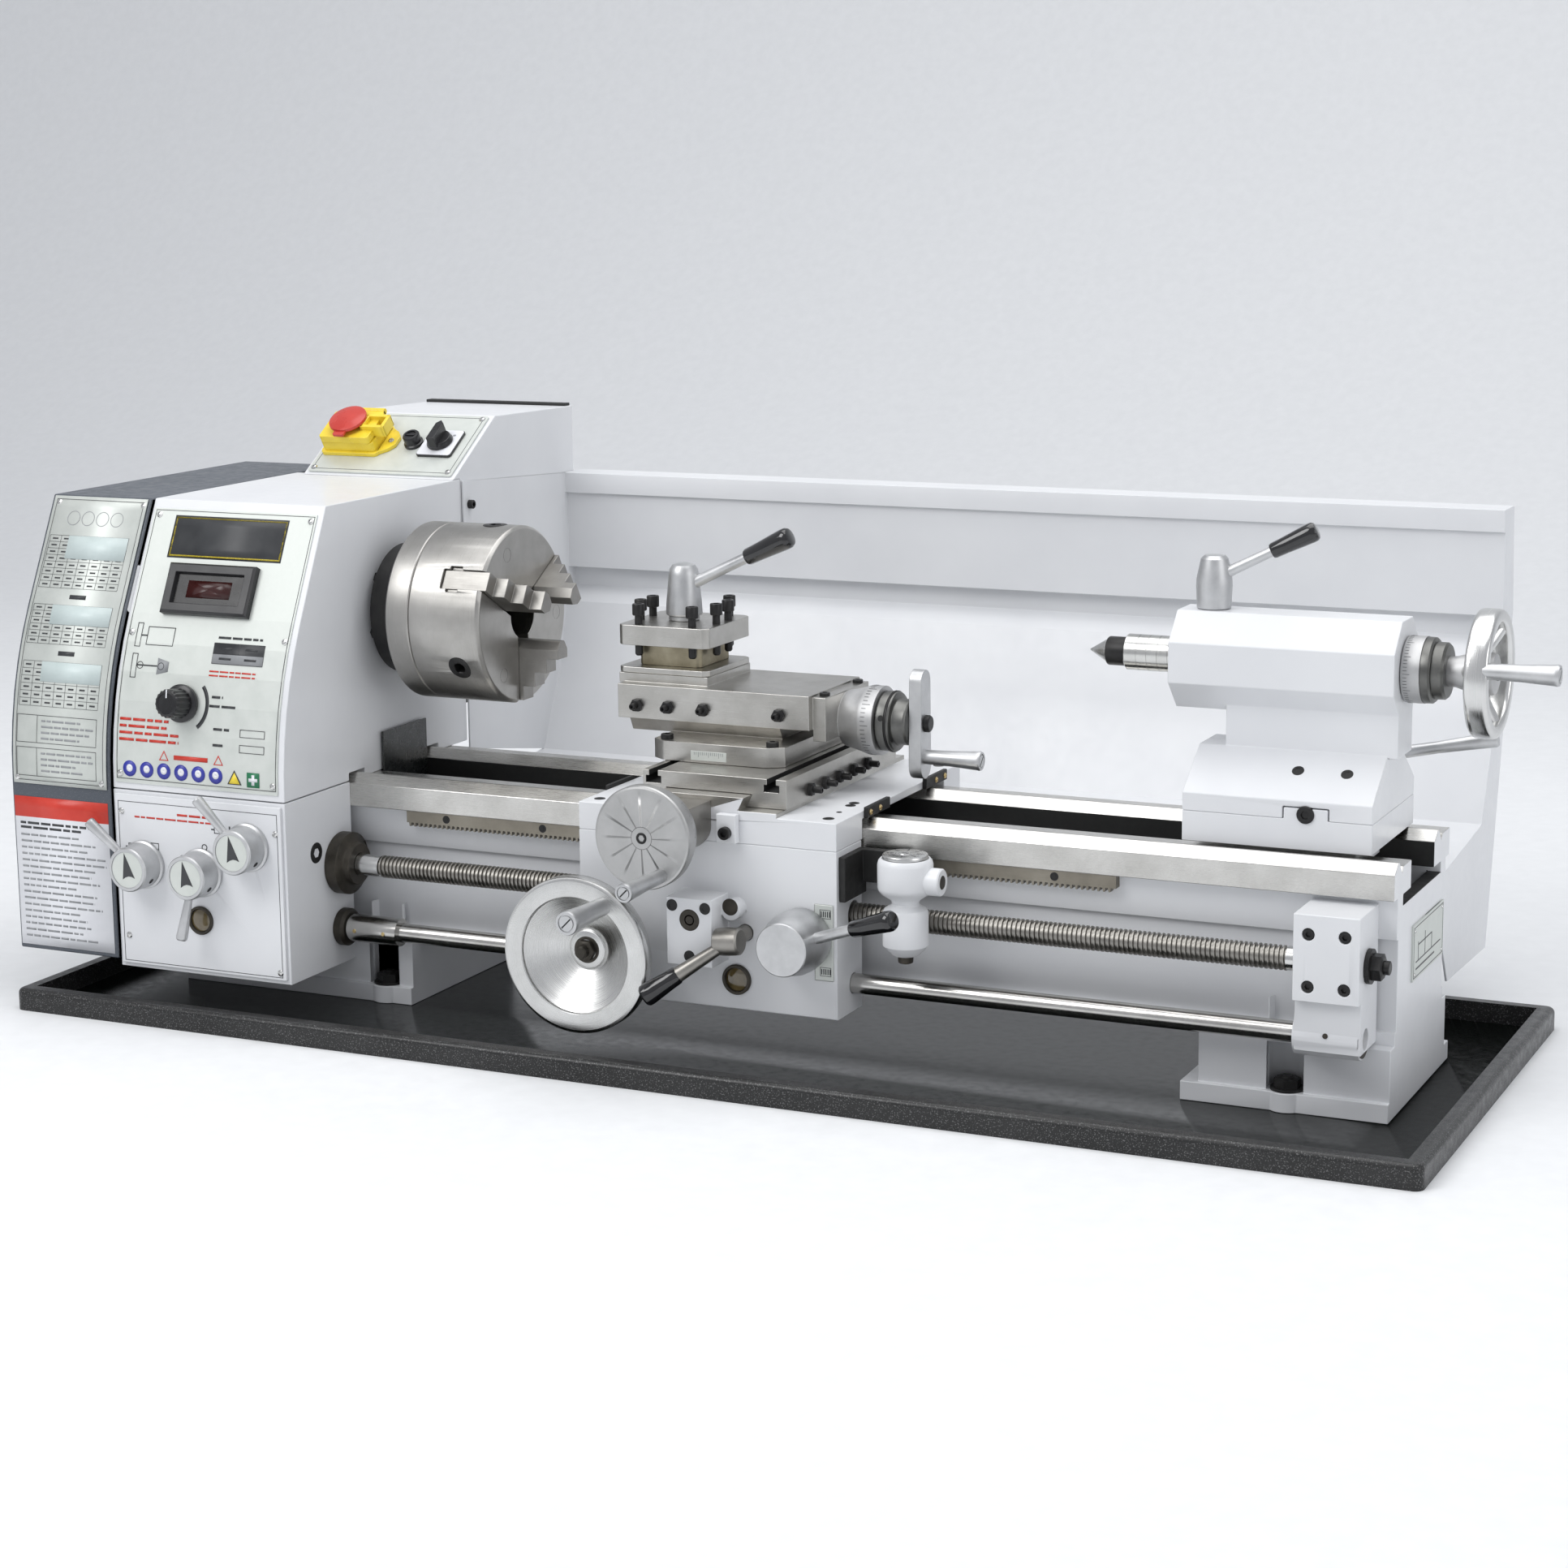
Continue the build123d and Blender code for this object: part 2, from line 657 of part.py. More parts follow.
def make_label_plates():
    """The thin metal plates: upper front, gearbox tables, bed end and half-nut plate."""
    outline = front_points(1.2, headstock_seam + 6, headstock_top - 8)
    inside = front_points(0, headstock_seam + 6, headstock_top - 8)
    upper = section_x(outline + inside[::-1], -headstock_length + 4, -6)
    end_plate = block(bed_right, bed_right + 1, 10, 60, -95, -62)
    return apart([upper, end_plate])


def make_display():
    """The speed display: a black bezel standing on the sloped front."""
    lean = radians(front_arc_angle)
    z = 170.0
    plane = Plane(origin=(speed_knob_x, front_y(z, 1.2), z), x_dir=X_DIR,
                  z_dir=(0, -cos(lean), sin(lean)))
    bezel = plane * Pos(0, 0, 4) * Box(88, 46, 8)
    window = plane * Pos(0, 0, 7) * Box(70, 28, 4)
    glass = plane * Pos(0, 0, 6) * Box(69, 27, 1)
    return apart([bezel - window, glass])


# ---- Spindle line -------------------------------------------------------------------------

def make_spindle():
    """The hollow spindle with its nose flange."""
    bore = spindle_bore_radius
    outline = [(bore, spindle_left), (spindle_tail_radius, spindle_left),
               (spindle_tail_radius, -headstock_length - 6),
               (journal_radius, -headstock_length - 6), (journal_radius, 1), (30, 1),
               (30, nose_left), (nose_radius, nose_left), (nose_radius, nose_right), (bore, nose_right)]
    return turned(outline, (0, 0, centre_height), X_DIR)


def make_spindle_drive():
    """The belt pulley and the first change gear, fixed on the spindle's left end."""
    shaft = spindle_tail_radius
    pulley = turned([(shaft, 0), (spindle_pulley_radius + 3, 0), (spindle_pulley_radius + 3, 2),
                     (spindle_pulley_radius, 2), (spindle_pulley_radius, pulley_width - 2),
                     (spindle_pulley_radius + 3, pulley_width - 2),
                     (spindle_pulley_radius + 3, pulley_width), (shaft, pulley_width)],
                    (pulley_left, 0, centre_height), X_DIR)
    gear = toothed_wheel(spindle_gear_radius - 0.2, shaft, gear_width, 40,
                         (gear_plane, 0, centre_height))
    return apart([pulley, gear])


def make_chuck_back_plate():
    """The adaptor ring between the spindle nose and the chuck body, with six studs."""
    bore = chuck_bore_radius
    plate = turned([(bore, nose_right), (chuck_radius - 1.5, nose_right), (chuck_radius, nose_right + 1.5),
                    (chuck_radius, chuck_plate_right - 1), (chuck_radius - 1, chuck_plate_right),
                    (bore, chuck_plate_right)], (0, 0, centre_height), X_DIR)
    return plate


def radial_block(x0, x1, r0, r1, half_width, angle):
    """A box that runs outwards from the spindle axis."""
    return around_x(block(x0, x1, r0, r1, centre_height - half_width, centre_height + half_width), angle)


rail_half = jaw_width / 2 + 3


def make_chuck_body():
    """The chuck body: bored through, hollow for the scroll, with three T-shaped jaw slots."""
    bore = chuck_bore_radius
    left = chuck_plate_right
    body = turned([(bore, left), (chuck_radius - 1, left), (chuck_radius, left + 1),
                   (chuck_radius, chuck_face - 3), (chuck_radius - 3, chuck_face), (bore, chuck_face)],
                  (0, 0, centre_height), X_DIR)
    body -= turned([(bore + 6, scroll_left - free_gap), (scroll_radius + free_gap, scroll_left - free_gap),
                    (scroll_radius + free_gap, scroll_left + scroll_thickness + free_gap),
                    (bore + 6, scroll_left + scroll_thickness + free_gap)], (0, 0, centre_height), X_DIR)
    slot_floor = scroll_left + scroll_thickness + free_gap
    for angle in jaw_angles:
        body -= radial_block(slot_floor + 4, chuck_face + 5, 0, chuck_radius + 5,
                             jaw_width / 2 + seam_gap, angle)
        body -= radial_block(slot_floor + 10, slot_floor + 22, 0, chuck_radius + 5,
                             rail_half + seam_gap, angle)
    for angle in pinion_angles:
        hole = rod((pinion_x + 14, scroll_radius + 4, centre_height),
                   (pinion_x + 14, chuck_radius + 5, centre_height), pinion_radius + running_gap)
        body -= around_x(hole, angle)
    return body


def make_scroll_plate():
    """The scroll disc that moves the jaws."""
    bore = chuck_bore_radius + 6 + free_gap
    disc = turned([(bore, scroll_left), (scroll_radius, scroll_left),
                   (scroll_radius, scroll_left + scroll_thickness), (bore, scroll_left + scroll_thickness)],
                  (0, 0, centre_height), X_DIR)
    return disc


def make_jaw(angle):
    """One stepped jaw: tallest at the centre, with rails that run in the slot."""
    slot_floor = scroll_left + scroll_thickness + free_gap
    foot = slot_floor + 4 + seam_gap
    jaw = block(foot, chuck_face + 40, jaw_inner, jaw_inner + 16,
                centre_height - jaw_width / 2, centre_height + jaw_width / 2)
    for step in range(1, 4):
        start = jaw_inner + 16 + (step - 1) * jaw_step
        jaw += block(foot, chuck_face + 40 - 12 * step, start, start + jaw_step,
                     centre_height - jaw_width / 2, centre_height + jaw_width / 2)
    jaw += block(slot_floor + 10 + seam_gap, slot_floor + 22 - seam_gap, jaw_inner + 2, jaw_outer,
                 centre_height - rail_half, centre_height + rail_half)
    tip = section_x([(jaw_inner - 1, centre_height + 20), (jaw_inner - 1, centre_height + 3),
                     (jaw_inner + 8, centre_height + 9.2), (jaw_inner + 8, centre_height + 20)],
                    foot - 1, chuck_face + 41)
    jaw = jaw - tip - tip.mirror(Plane(origin=(0, 0, centre_height), z_dir=Z_DIR))
    return around_x(jaw, angle)


def make_pinion(angle):
    """One chuck pinion with a square key socket."""
    x = pinion_x + 14
    inner = scroll_radius + 4.5
    pin = rod((x, inner, centre_height), (x, chuck_radius - 1, centre_height), pinion_radius)
    pin -= block(x - 4.5, x + 4.5, chuck_radius - 12, chuck_radius + 1,
                 centre_height - 4.5, centre_height + 4.5)
    return around_x(pin, angle)


def circle_crossing(p0, r0, p1, r1):
    """One crossing point of two circles, on the left of the line from p0 to p1."""
    gap = hypot(p1[0] - p0[0], p1[1] - p0[1])
    along = (r0 * r0 - r1 * r1 + gap * gap) / (2 * gap)
    side = (r0 * r0 - along * along) ** 0.5
    unit = ((p1[0] - p0[0]) / gap, (p1[1] - p0[1]) / gap)
    return (p0[0] + along * unit[0] - side * unit[1], p0[1] + along * unit[1] + side * unit[0])


reach_01 = spindle_gear_radius + first_gear_radius
reach_12 = first_gear_radius + second_gear_radius
reach_23 = second_gear_radius + input_gear_radius
input_centre = (input_y, input_z)
first_turn = radians(4.0)
to_input = atan2(input_z - centre_height, input_y)
first_centre = (reach_01 * cos(to_input + first_turn), centre_height + reach_01 * sin(to_input + first_turn))
second_centre = circle_crossing(first_centre, reach_12, input_centre, reach_23)


def make_change_gear(centre, radius, teeth):
    """An idler gear that turns on a banjo stud."""
    y, z = centre
    gear = toothed_wheel(radius - 0.2, gear_shaft_radius + running_gap, gear_width, teeth,
                         (gear_plane, y, z))
    hub = turned([(gear_shaft_radius + running_gap, -3), (14, -3), (14, gear_width + 2),
                  (gear_shaft_radius + running_gap, gear_width + 2)], (gear_plane, y, z), X_DIR)
    return gear + hub


def make_gear_banjo():
    """The slotted arm that carries the two idler studs, bolted to the gear-case back."""
    face = -headstock_length - back_plate
    x0 = gear_plane + gear_width + 2.5
    arm = []
    for y, z in (first_centre, second_centre):
        stud = bar_x(gear_plane - 5, face, y, z, gear_shaft_radius)
        stud += bar_x(gear_plane - 9, gear_plane - 4, y, z, gear_shaft_radius + 4)
        arm.append(stud)
    (y0, z0), (y1, z1) = first_centre, second_centre
    length = hypot(y1 - y0, z1 - z0)
    ny, nz = -(z1 - z0) / length * 13, (y1 - y0) / length * 13
    bar = section_x([(y0 + ny, z0 + nz), (y1 + ny, z1 + nz), (y1 - ny, z1 - nz), (y0 - ny, z0 - nz)],
                    x0, face)
    return joined([bar, bar_x(x0, face, y0, z0, 13), bar_x(x0, face, y1, z1, 13)] + arm)


def make_input_gear():
    """The gearbox input gear on its shaft."""
    gear = toothed_wheel(input_gear_radius - 0.2, 5, gear_width, 40, (gear_plane, input_y, input_z))
    shaft = bar_x(gear_plane - 4, -headstock_length + 9, input_y, input_z, gear_shaft_radius)
    return gear + shaft


def make_motor_pulley():
    """The small belt pulley on the motor shaft."""
    pulley = turned([(0, 0), (motor_pulley_radius + 3, 0), (motor_pulley_radius + 3, 2),
                     (motor_pulley_radius, 2), (motor_pulley_radius, pulley_width - 2),
                     (motor_pulley_radius + 3, pulley_width - 2),
                     (motor_pulley_radius + 3, pulley_width), (0, pulley_width)],
                    (pulley_left, motor_y, motor_z), X_DIR)
    return pulley + bar_x(pulley_left, motor_left + 38, motor_y, motor_z, gear_shaft_radius)


def make_drive_belt():
    """The belt round both pulleys: the tangent outline between two circles."""
    x0 = pulley_left + 2.5
    x1 = pulley_left + pulley_width - 2.5
    gap = hypot(motor_y, motor_z - centre_height)
    turn = atan2(motor_z - centre_height, motor_y)

    def loop(radius_big, radius_small):
        lean = acos((radius_big - radius_small) / gap)
        corners = []
        for side in (1, -1):
            angle = turn + side * lean
            corners.append((radius_big * cos(angle), centre_height + radius_big * sin(angle)))
            corners.append((motor_y + radius_small * cos(angle), motor_z + radius_small * sin(angle)))
        hull = section_x([corners[0], corners[1], corners[3], corners[2]], x0, x1)
        hull += bar_x(x0, x1, 0, centre_height, radius_big)
        return hull + bar_x(x0, x1, motor_y, motor_z, radius_small)

    clear = 0.2
    outer = loop(spindle_pulley_radius + clear + belt_thickness, motor_pulley_radius + clear + belt_thickness)
    return outer - loop(spindle_pulley_radius + clear, motor_pulley_radius + clear)


def make_leadscrew():
    """The leadscrew with its reduced right end and end nut."""
    screw = bar_x(leadscrew_left, bracket_left - 0.5, leadscrew_y, leadscrew_z, leadscrew_radius)
    screw += bar_x(bracket_left - 1, bracket_right + 6, leadscrew_y, leadscrew_z, leadscrew_radius - 2)
    screw += bar_x(bracket_right + 0.5, bracket_right + 4, leadscrew_y, leadscrew_z, 14)
    return screw + bar_x(bracket_right + 3, bracket_right + 18, leadscrew_y, leadscrew_z, 11)


def make_feed_rod():
    """The plain feed rod with the shear-pin sleeve at its left end."""
    shaft = bar_x(feed_rod_left, bracket_right - 6, feed_rod_y, feed_rod_z, feed_rod_radius)
    return shaft + bar_x(11, 62, feed_rod_y, feed_rod_z, 12.5)


# ---- Controls -----------------------------------------------------------------------------

def make_gear_cover():
    """The hinged cover over the change gears, open on its right side, with its front plate."""
    right = -headstock_length - cover_gap
    left = right - cover_length
    sheet = cover_sheet
    outline = front_points(cover_proud, cover_bottom, headstock_top)
    outline += [(cover_rear, headstock_top), (cover_rear, cover_bottom)]
    inside = front_points(cover_proud - sheet, cover_bottom + sheet, headstock_top - sheet)
    inside += [(cover_rear - sheet, headstock_top - sheet), (cover_rear - sheet, cover_bottom + sheet)]
    cover = section_x(outline, left, right) - section_x(inside, left + sheet, right + 1)
    cover -= bar_x(left - 1, left + sheet + 1, 0, centre_height, pass_through_radius)
    hinge = bar_z(cover_bottom + 20, headstock_top - 20, right - 6, cover_rear + 4, 4)
    return cover + hinge


def make_gearbox_lever(index):
    """A round knob with a slim lever, on a spindle through the gearbox front."""
    x, z = lever_x[index], lever_z[index]
    front = -front_offset - cover_plate
    knob = turned([(0, 0.4), (lever_knob_radius, 0.4), (lever_knob_radius, 22),
                   (lever_knob_radius - 2, 26), (0, 26)], (x, front, z), (0, -1, 0))
    knob += bar_y(front - 2, front + 8, x, z, 6)
    angle = radians(lever_lean[index])
    reach_start = 8.0
    start = (x + reach_start * cos(angle), front - 14, z + reach_start * sin(angle))
    end = (x + lever_length * cos(angle), front - 24, z + lever_length * sin(angle))
    return knob + taper(start, end, 3.5, 6.0)


def make_speed_knob():
    """The speed potentiometer's knurled knob on the curved front."""
    lean = radians(9.0)
    origin = (speed_knob_x, front_y(speed_knob_z, 1.2) - 0.5, speed_knob_z)
    return turned([(0, 0.6), (17, 0.6), (17, 4), (13, 5), (13, 24), (11, 26), (0, 26)], origin,
                  (0, -cos(lean), sin(lean)))


def make_selector_knob():
    """The black bar knob of the direction selector."""
    knob = panel_plane * Pos(selector_x, 0, panel_sheet + 3.3) * Cylinder(11, 8, align=LOW)
    knob += panel_block(selector_x - 3.5, selector_x + 3.5, -12, 12, panel_sheet + 5, panel_sheet + 20)
    return knob + panel_plane * Pos(selector_x, 0, panel_sheet - 0.5) * Cylinder(selector_shaft, 8, align=LOW)


flap_low = panel_sheet + 14 + 0.3


def make_switch_flap():
    """The yellow flap over the switch box, hinged at its upper edge, holed for the stop button."""
    flap = panel_block(switch_x - 30, switch_x + 30, -20, 20, flap_low, flap_low + 8)
    flap -= panel_plane * Pos(switch_x - 4, 0, flap_low) * Cylinder(9 + running_gap + 0.05, 60)
    flap += panel_block(switch_x + 30, switch_x + 40, -8, 8, flap_low, flap_low + 5)
    barrel_y = switch_half_width + 3
    pin = rod((switch_x - 22, barrel_y, flap_low + 4), (switch_x + 22, barrel_y, flap_low + 4), 3.5)
    flap += panel_block(switch_x - 22, switch_x + 22, 19, barrel_y, flap_low + 1, flap_low + 7)
    return flap + panel_plane * pin


def make_stop_button():
    """The red mushroom button in the flap."""
    seat = panel_plane * Pos(switch_x - 4, 0, flap_low)
    return seat * turned([(0, -6), (9, -6), (9, 13), (16, 14), (16, 18), (12, 22), (0, 23)],
                         (0, 0, 0), Z_DIR)


# ---- Carriage -----------------------------------------------------------------------------

def make_saddle():
    """The saddle on the ways with its raised cross dovetail, and the wipers at its corners."""
    under = 0.3
    saddle = block(saddle_left, saddle_right, saddle_front, saddle_rear, under, saddle_top)
    saddle += block(saddle_left, saddle_right, saddle_front, -half_bed - free_gap, apron_top, saddle_top)
    saddle += block(saddle_left, saddle_right, half_bed + free_gap, saddle_rear, apron_top, saddle_top)
    saddle += block(dovetail_left - 24, dovetail_right + 30, saddle_front, saddle_rear,
                    saddle_top - 1, cross_slide_bottom - seam_gap)
    way = cross_slide_bottom - seam_gap
    rise = 11.0
    dovetail = [(dovetail_left + 6, way - 1), (dovetail_left, way + rise), (dovetail_right, way + rise),
                (dovetail_right - 6, way - 1)]
    saddle += section_y(dovetail, saddle_front, saddle_rear)
    saddle -= bar_y(saddle_front - 1, -half_bed, cross_wheel_x, cross_wheel_z,
                    cross_screw_radius + running_gap)
    wipers = []
    for x0, x1 in ((saddle_left - 4, saddle_left), (saddle_right, saddle_right + 4)):
        wipers.append(block(x0, x1, -half_bed + 2, -half_bed + 50, 0.6, saddle_top + 3))
        wipers.append(block(x0, x1, half_bed - 50, half_bed - 2, 0.6, saddle_top + 3))
    return apart([saddle] + wipers)


def make_apron():
    """The apron: a box open at the back, bored for screw and rod, with lever block and sight ring."""
    left, right = saddle_left, saddle_right
    front, back = saddle_front, apron_back
    apron = block(left, right, front, back, apron_bottom, apron_top)
    apron -= block(left + apron_wall, right - apron_wall, front + apron_wall, back + 1,
                   apron_bottom + apron_wall, apron_top - apron_wall)
    guide = half_nut_length / 2 + free_gap
    for x in (half_nut_x - guide - 7, half_nut_x + guide):
        apron += block(x, x + 7, front + apron_wall - 1, apron_back - 6, -118, -36)
    apron -= bar_x(left - 1, right + 1, leadscrew_y, leadscrew_z, leadscrew_radius + 1.5)
    apron -= bar_x(left - 1, right + 1, feed_rod_y, feed_rod_z, feed_rod_radius + running_gap)
    apron += block(362, 404, front - 31, front, -118, -60)
    apron += bar_y(front - 12, front, 412, -72, 9)
    ring = bar_y(front - 3, front, 412, -134, 13) - bar_y(front - 4, front - 1, 412, -134, 10)
    plate = block(484, 501, front - 1.2, front, -127, -62)
    for x, z, radius in ((carriage_wheel_x, carriage_wheel_z, 8), (lever_hub_x, lever_hub_z, 8),
                         (feed_lever_x, feed_lever_z, 7)):
        apron -= bar_y(front - 32, leadscrew_y - half_nut_depth, x, z, radius + running_gap)
    bracket = block(right, right + 40, -104, -96, -50, -22)
    bracket += block(right, right + 6, -140, -96, -60, -22)
    bracket += block(right + 34, dial_x, -140, -96, -44, -28)
    bracket -= bar_z(-60, -10, dial_x, dial_y, dial_head_radius)
    return apart([apron, ring, plate, bracket])


def handle(start, end, radius):
    """A turned hand grip, slightly fuller at its end."""
    return taper(start, end, radius * 0.8, radius)


def make_carriage_wheel():
    """The dished carriage handwheel with its grip and shaft."""
    x, z = carriage_wheel_x, carriage_wheel_z
    front = carriage_wheel_front
    r = carriage_wheel_radius
    wheel = turned([(0, -42), (17, -42), (20, -30), (r - 12, -14), (r - 2, -14), (r, -12), (r, -2),
                    (r - 2, 0), (r - 14, 0), (r - 16, -2), (18, -24), (12, -24), (12, -20), (0, -20)],
                   (x, front, z), (0, -1, 0))
    wheel += bar_y(front + 30, saddle_front + apron_wall, x, z, 8)
    wheel += bar_y(front + 12, front + 24, x, z, 6)
    angle = radians(58)
    hx, hz = x + (r - 14) * cos(angle), z + (r - 14) * sin(angle)
    return wheel + handle((hx, front + 1, hz), (hx, front - 62, hz), 8.0)


def make_cross_wheel():
    """The cross-slide handwheel: a solid disc, its dial, grip and feed screw."""
    x, z = cross_wheel_x, cross_wheel_z
    front = cross_wheel_front
    r = cross_wheel_radius
    wheel = turned([(0, 0), (r - 1, 0), (r, -1), (r, -11), (r - 1, -12), (30, -12), (30, -26), (0, -26)],
                   (x, front, z), (0, -1, 0))
    angle = radians(-38)
    hx, hz = x + (r - 9) * cos(angle), z + (r - 9) * sin(angle)
    wheel += handle((hx, front + 1, hz), (hx, front - 42, hz), 7.5)
    return wheel + bar_y(front + 25, -half_bed - 3, x, z, cross_screw_radius)


def make_cross_housing():
    """The screw housing that stands in front of the saddle."""
    x, z = cross_wheel_x, cross_wheel_z
    housing = bar_y(cross_wheel_front + 26.5, saddle_front, x, z, 20)
    return housing - bar_y(cross_wheel_front + 20, saddle_front + 1, x, z,
                           cross_screw_radius + running_gap)


def make_cross_slide():
    """The cross slide: dovetailed underneath, with a T-slot at each end of its top."""
    left, right = cross_slide_left, cross_slide_right
    slide = block(left, right, cross_slide_front, cross_slide_rear, cross_slide_bottom, cross_slide_top)
    gap = seam_gap
    rise = 11.0 + gap
    way = cross_slide_bottom
    groove = [(dovetail_left + 6 - gap, way - 1), (dovetail_left - gap, way + rise),
              (dovetail_right + gap, way + rise), (dovetail_right - 6 + gap, way - 1)]
    slide -= section_y(groove, cross_slide_front - 1, cross_slide_rear + 1)
    top = cross_slide_top
    for x in (left + 10, right - 14):
        slide -= block(x - 4, x + 4, cross_slide_front - 1, cross_slide_rear + 1, top - 5, top + 1)
        slide -= block(x - 7, x + 7, cross_slide_front - 1, cross_slide_rear + 1, top - 11, top - 5)
    screws = []
    for y in (-82, -52, -22, 8, 38):
        screws.append(bar_x(right, right + 12, y, 20, 3) + bar_x(right + 6, right + 12, y, 20, 4.5))
    return apart([slide] + screws)


def make_swivel_base():
    """The swivel plate and the fixed half of the compound slide, with its end block."""
    low = cross_slide_top + seam_gap
    plate = block(swivel_x - 62, swivel_x + 62, -88, 88, low, low + 17)
    disc = bar_z(low, low + 17, swivel_x, 0, 100)
    plate = plate & disc
    base = section_x([(slide_front + 12, low + 16), (slide_rear - 12, low + 16), (slide_rear - 6, 64),
                      (slide_front + 6, 64)], slide_left + 8, slide_right - 30)
    dovetail = section_x([(slide_front + 26, 63), (slide_front + 20, slide_way_top),
                          (slide_rear - 20, slide_way_top), (slide_rear - 26, 63)],
                         slide_left + 8, slide_right - 30)
    return plate + base + dovetail


def make_top_slide():
    """The top slide over the dovetail, with the tool-post seat and the screw's end block."""
    gap = seam_gap
    low = 64 + gap
    slide = block(slide_left, slide_right, slide_front, slide_rear, low, slide_top)
    groove = section_x([(slide_front + 26 - gap, 63), (slide_front + 20 - gap, slide_way_top + gap),
                        (slide_rear - 20 + gap, slide_way_top + gap), (slide_rear - 26 + gap, 63)],
                       slide_left - 1, slide_right + 1)
    slide -= groove
    seat = block(post_x - 43, post_x + 43, -43, 43, slide_top - 1, post_bottom - seam_gap)
    end = block(slide_right, slide_right + 12, slide_front + 8, slide_rear - 8, 54, slide_top - 2)
    boss = turned([(5 + running_gap, 0), (24, 0), (28, 16), (30, 22), (30, 34), (5 + running_gap, 34)],
                  (slide_right + 12, 0, top_screw_z), X_DIR)
    end -= bar_x(slide_right - 1, slide_right + 13, 0, top_screw_z, 5 + running_gap)
    slide += seat
    slide += end
    slide += boss
    stud = bar_z(post_bottom - 2, post_top + 14, post_x, 0, 8)
    screws = []
    for x in (276, 306, 340, 412):
        screws.append(bar_y(slide_front - 10, slide_front, x, 76, 2.8)
                      + bar_y(slide_front - 12, slide_front - 6, x, 76, 4.5))
    return apart([slide + stud] + screws)


def make_top_crank():
    """The top slide's dial, flat crank bar, grip and feed screw."""
    z = top_screw_z
    start = slide_right + 12 + 34 + free_gap
    crank = bar_x(start, start + 14, 0, z, 26)
    crank += bar_x(slide_right + 1, start + 1, 0, z, 5)
    crank += bar_x(start + 13, crank_x + 2, 0, z, 20)
    bar_points = [(-12, z - 30), (-9, z - 38), (9, z - 38), (12, z - 30), (10, z + 34), (7, z + 38),
                  (-7, z + 38), (-10, z + 34)]
    crank += section_x(bar_points, crank_x, crank_x + 13)
    return crank + handle((crank_x + 12, 0, z - 29), (crank_x + 62, 0, z - 29), 8)


def make_tool_post():
    """The four-way tool post: top plate, core and base, with eight clamp screws."""
    half = post_half
    post = block(post_x - half, post_x + half, -half, half, post_top - 18, post_top)
    post += block(post_x - post_neck_half, post_x + post_neck_half, -post_neck_half, post_neck_half,
                  post_bottom + 1, post_top - 17)
    post += block(post_x - half, post_x + half, -half, half, post_bottom, post_bottom + 5)
    post -= bar_z(post_bottom - 1, post_top + 1, post_x, 0, 8 + running_gap)
    screws = []
    for across in (-26, 26):
        for side in (-1, 1):
            screws.append((post_x + across, side * (half - 7)))
            screws.append((post_x + side * (half - 7), across * 0.45))
    bolts = []
    for x, y in screws:
        post -= bar_z(post_top - 19, post_top + 1, x, y, 3.5)
        bolt = bar_z(post_top - 24, post_top + 12, x, y, 3.5) + bar_z(post_top + 8, post_top + 18, x, y, 5.5)
        bolts.append(bolt - hexagon(3, 8, (x, y, post_top + 14), Z_DIR))
    return apart([post] + bolts)


def make_clamp_lever(x, y, z, socket_radius, hub_height, lever_end):
    """A conical hub with a slim lever and a black grip, on a stud through its foot."""
    hub = turned([(0, 0), (17, 0), (17, 26), (12, hub_height - 2), (11, hub_height), (0, hub_height)],
                 (x, y, z), Z_DIR)
    if socket_radius > 0:
        hub -= bar_z(z - 1, z + 16, x, y, socket_radius)
    start = (x + 6, y, z + hub_height * 0.62)
    tip = (x + lever_end[0], y + lever_end[1], z + lever_end[2])
    split = tuple(s + (t - s) * 0.62 for s, t in zip(start, tip))
    return hub + rod(start, split, 6) + taper(split, tip, 7.5, 9.5)


def make_half_nut_lever():
    """The half-nut lever: a round hub with a lever and grip, and its cam shaft."""
    x, z = lever_hub_x, lever_hub_z
    front = saddle_front
    hub = turned([(0, 1.5), (26, 1.5), (27, 20), (22, 40), (20, 46), (0, 46)], (x, front, z), (0, -1, 0))
    hub += bar_y(front - 2, leadscrew_y - half_nut_depth - 1, x, z, 8)
    start = (x + 18, front - 26, z + 6)
    mid = (x + 62, front - 36, z + 22)
    tip = (x + 100, front - 45, z + 35)
    return hub + rod(start, mid, 5) + taper(mid, tip, 6.5, 8.5)


def make_feed_lever():
    """The power-feed lever: a cross hub with a long lever pointing down to the left."""
    x, z = feed_lever_x, feed_lever_z
    front = saddle_front
    hub = bar_y(front - 30, front + apron_wall + 6, x, z, 7)
    hub += bar_x(x - 11, x + 11, front - 32, z, 11)
    start = (x - 6, front - 36, z - 4)
    mid = (x - 40, front - 52, z - 29)
    tip = (x - 65, front - 62, z - 47)
    return hub + rod(start, mid, 5.5) + taper(mid, tip, 7, 8.5)


def make_half_nut(side):
    """One half nut beside the leadscrew, open at rest: side is 1 above and -1 below."""
    axis_z = leadscrew_z + side * half_nut_open
    face_z = axis_z + side * 0.5
    far_z = axis_z + side * 20
    half = block(half_nut_x - half_nut_length / 2, half_nut_x + half_nut_length / 2,
                 leadscrew_y - half_nut_depth, leadscrew_y + 14, min(face_z, far_z), max(face_z, far_z))
    return half - bar_x(half_nut_x - 40, half_nut_x + 40, leadscrew_y, axis_z, leadscrew_radius + 0.4)


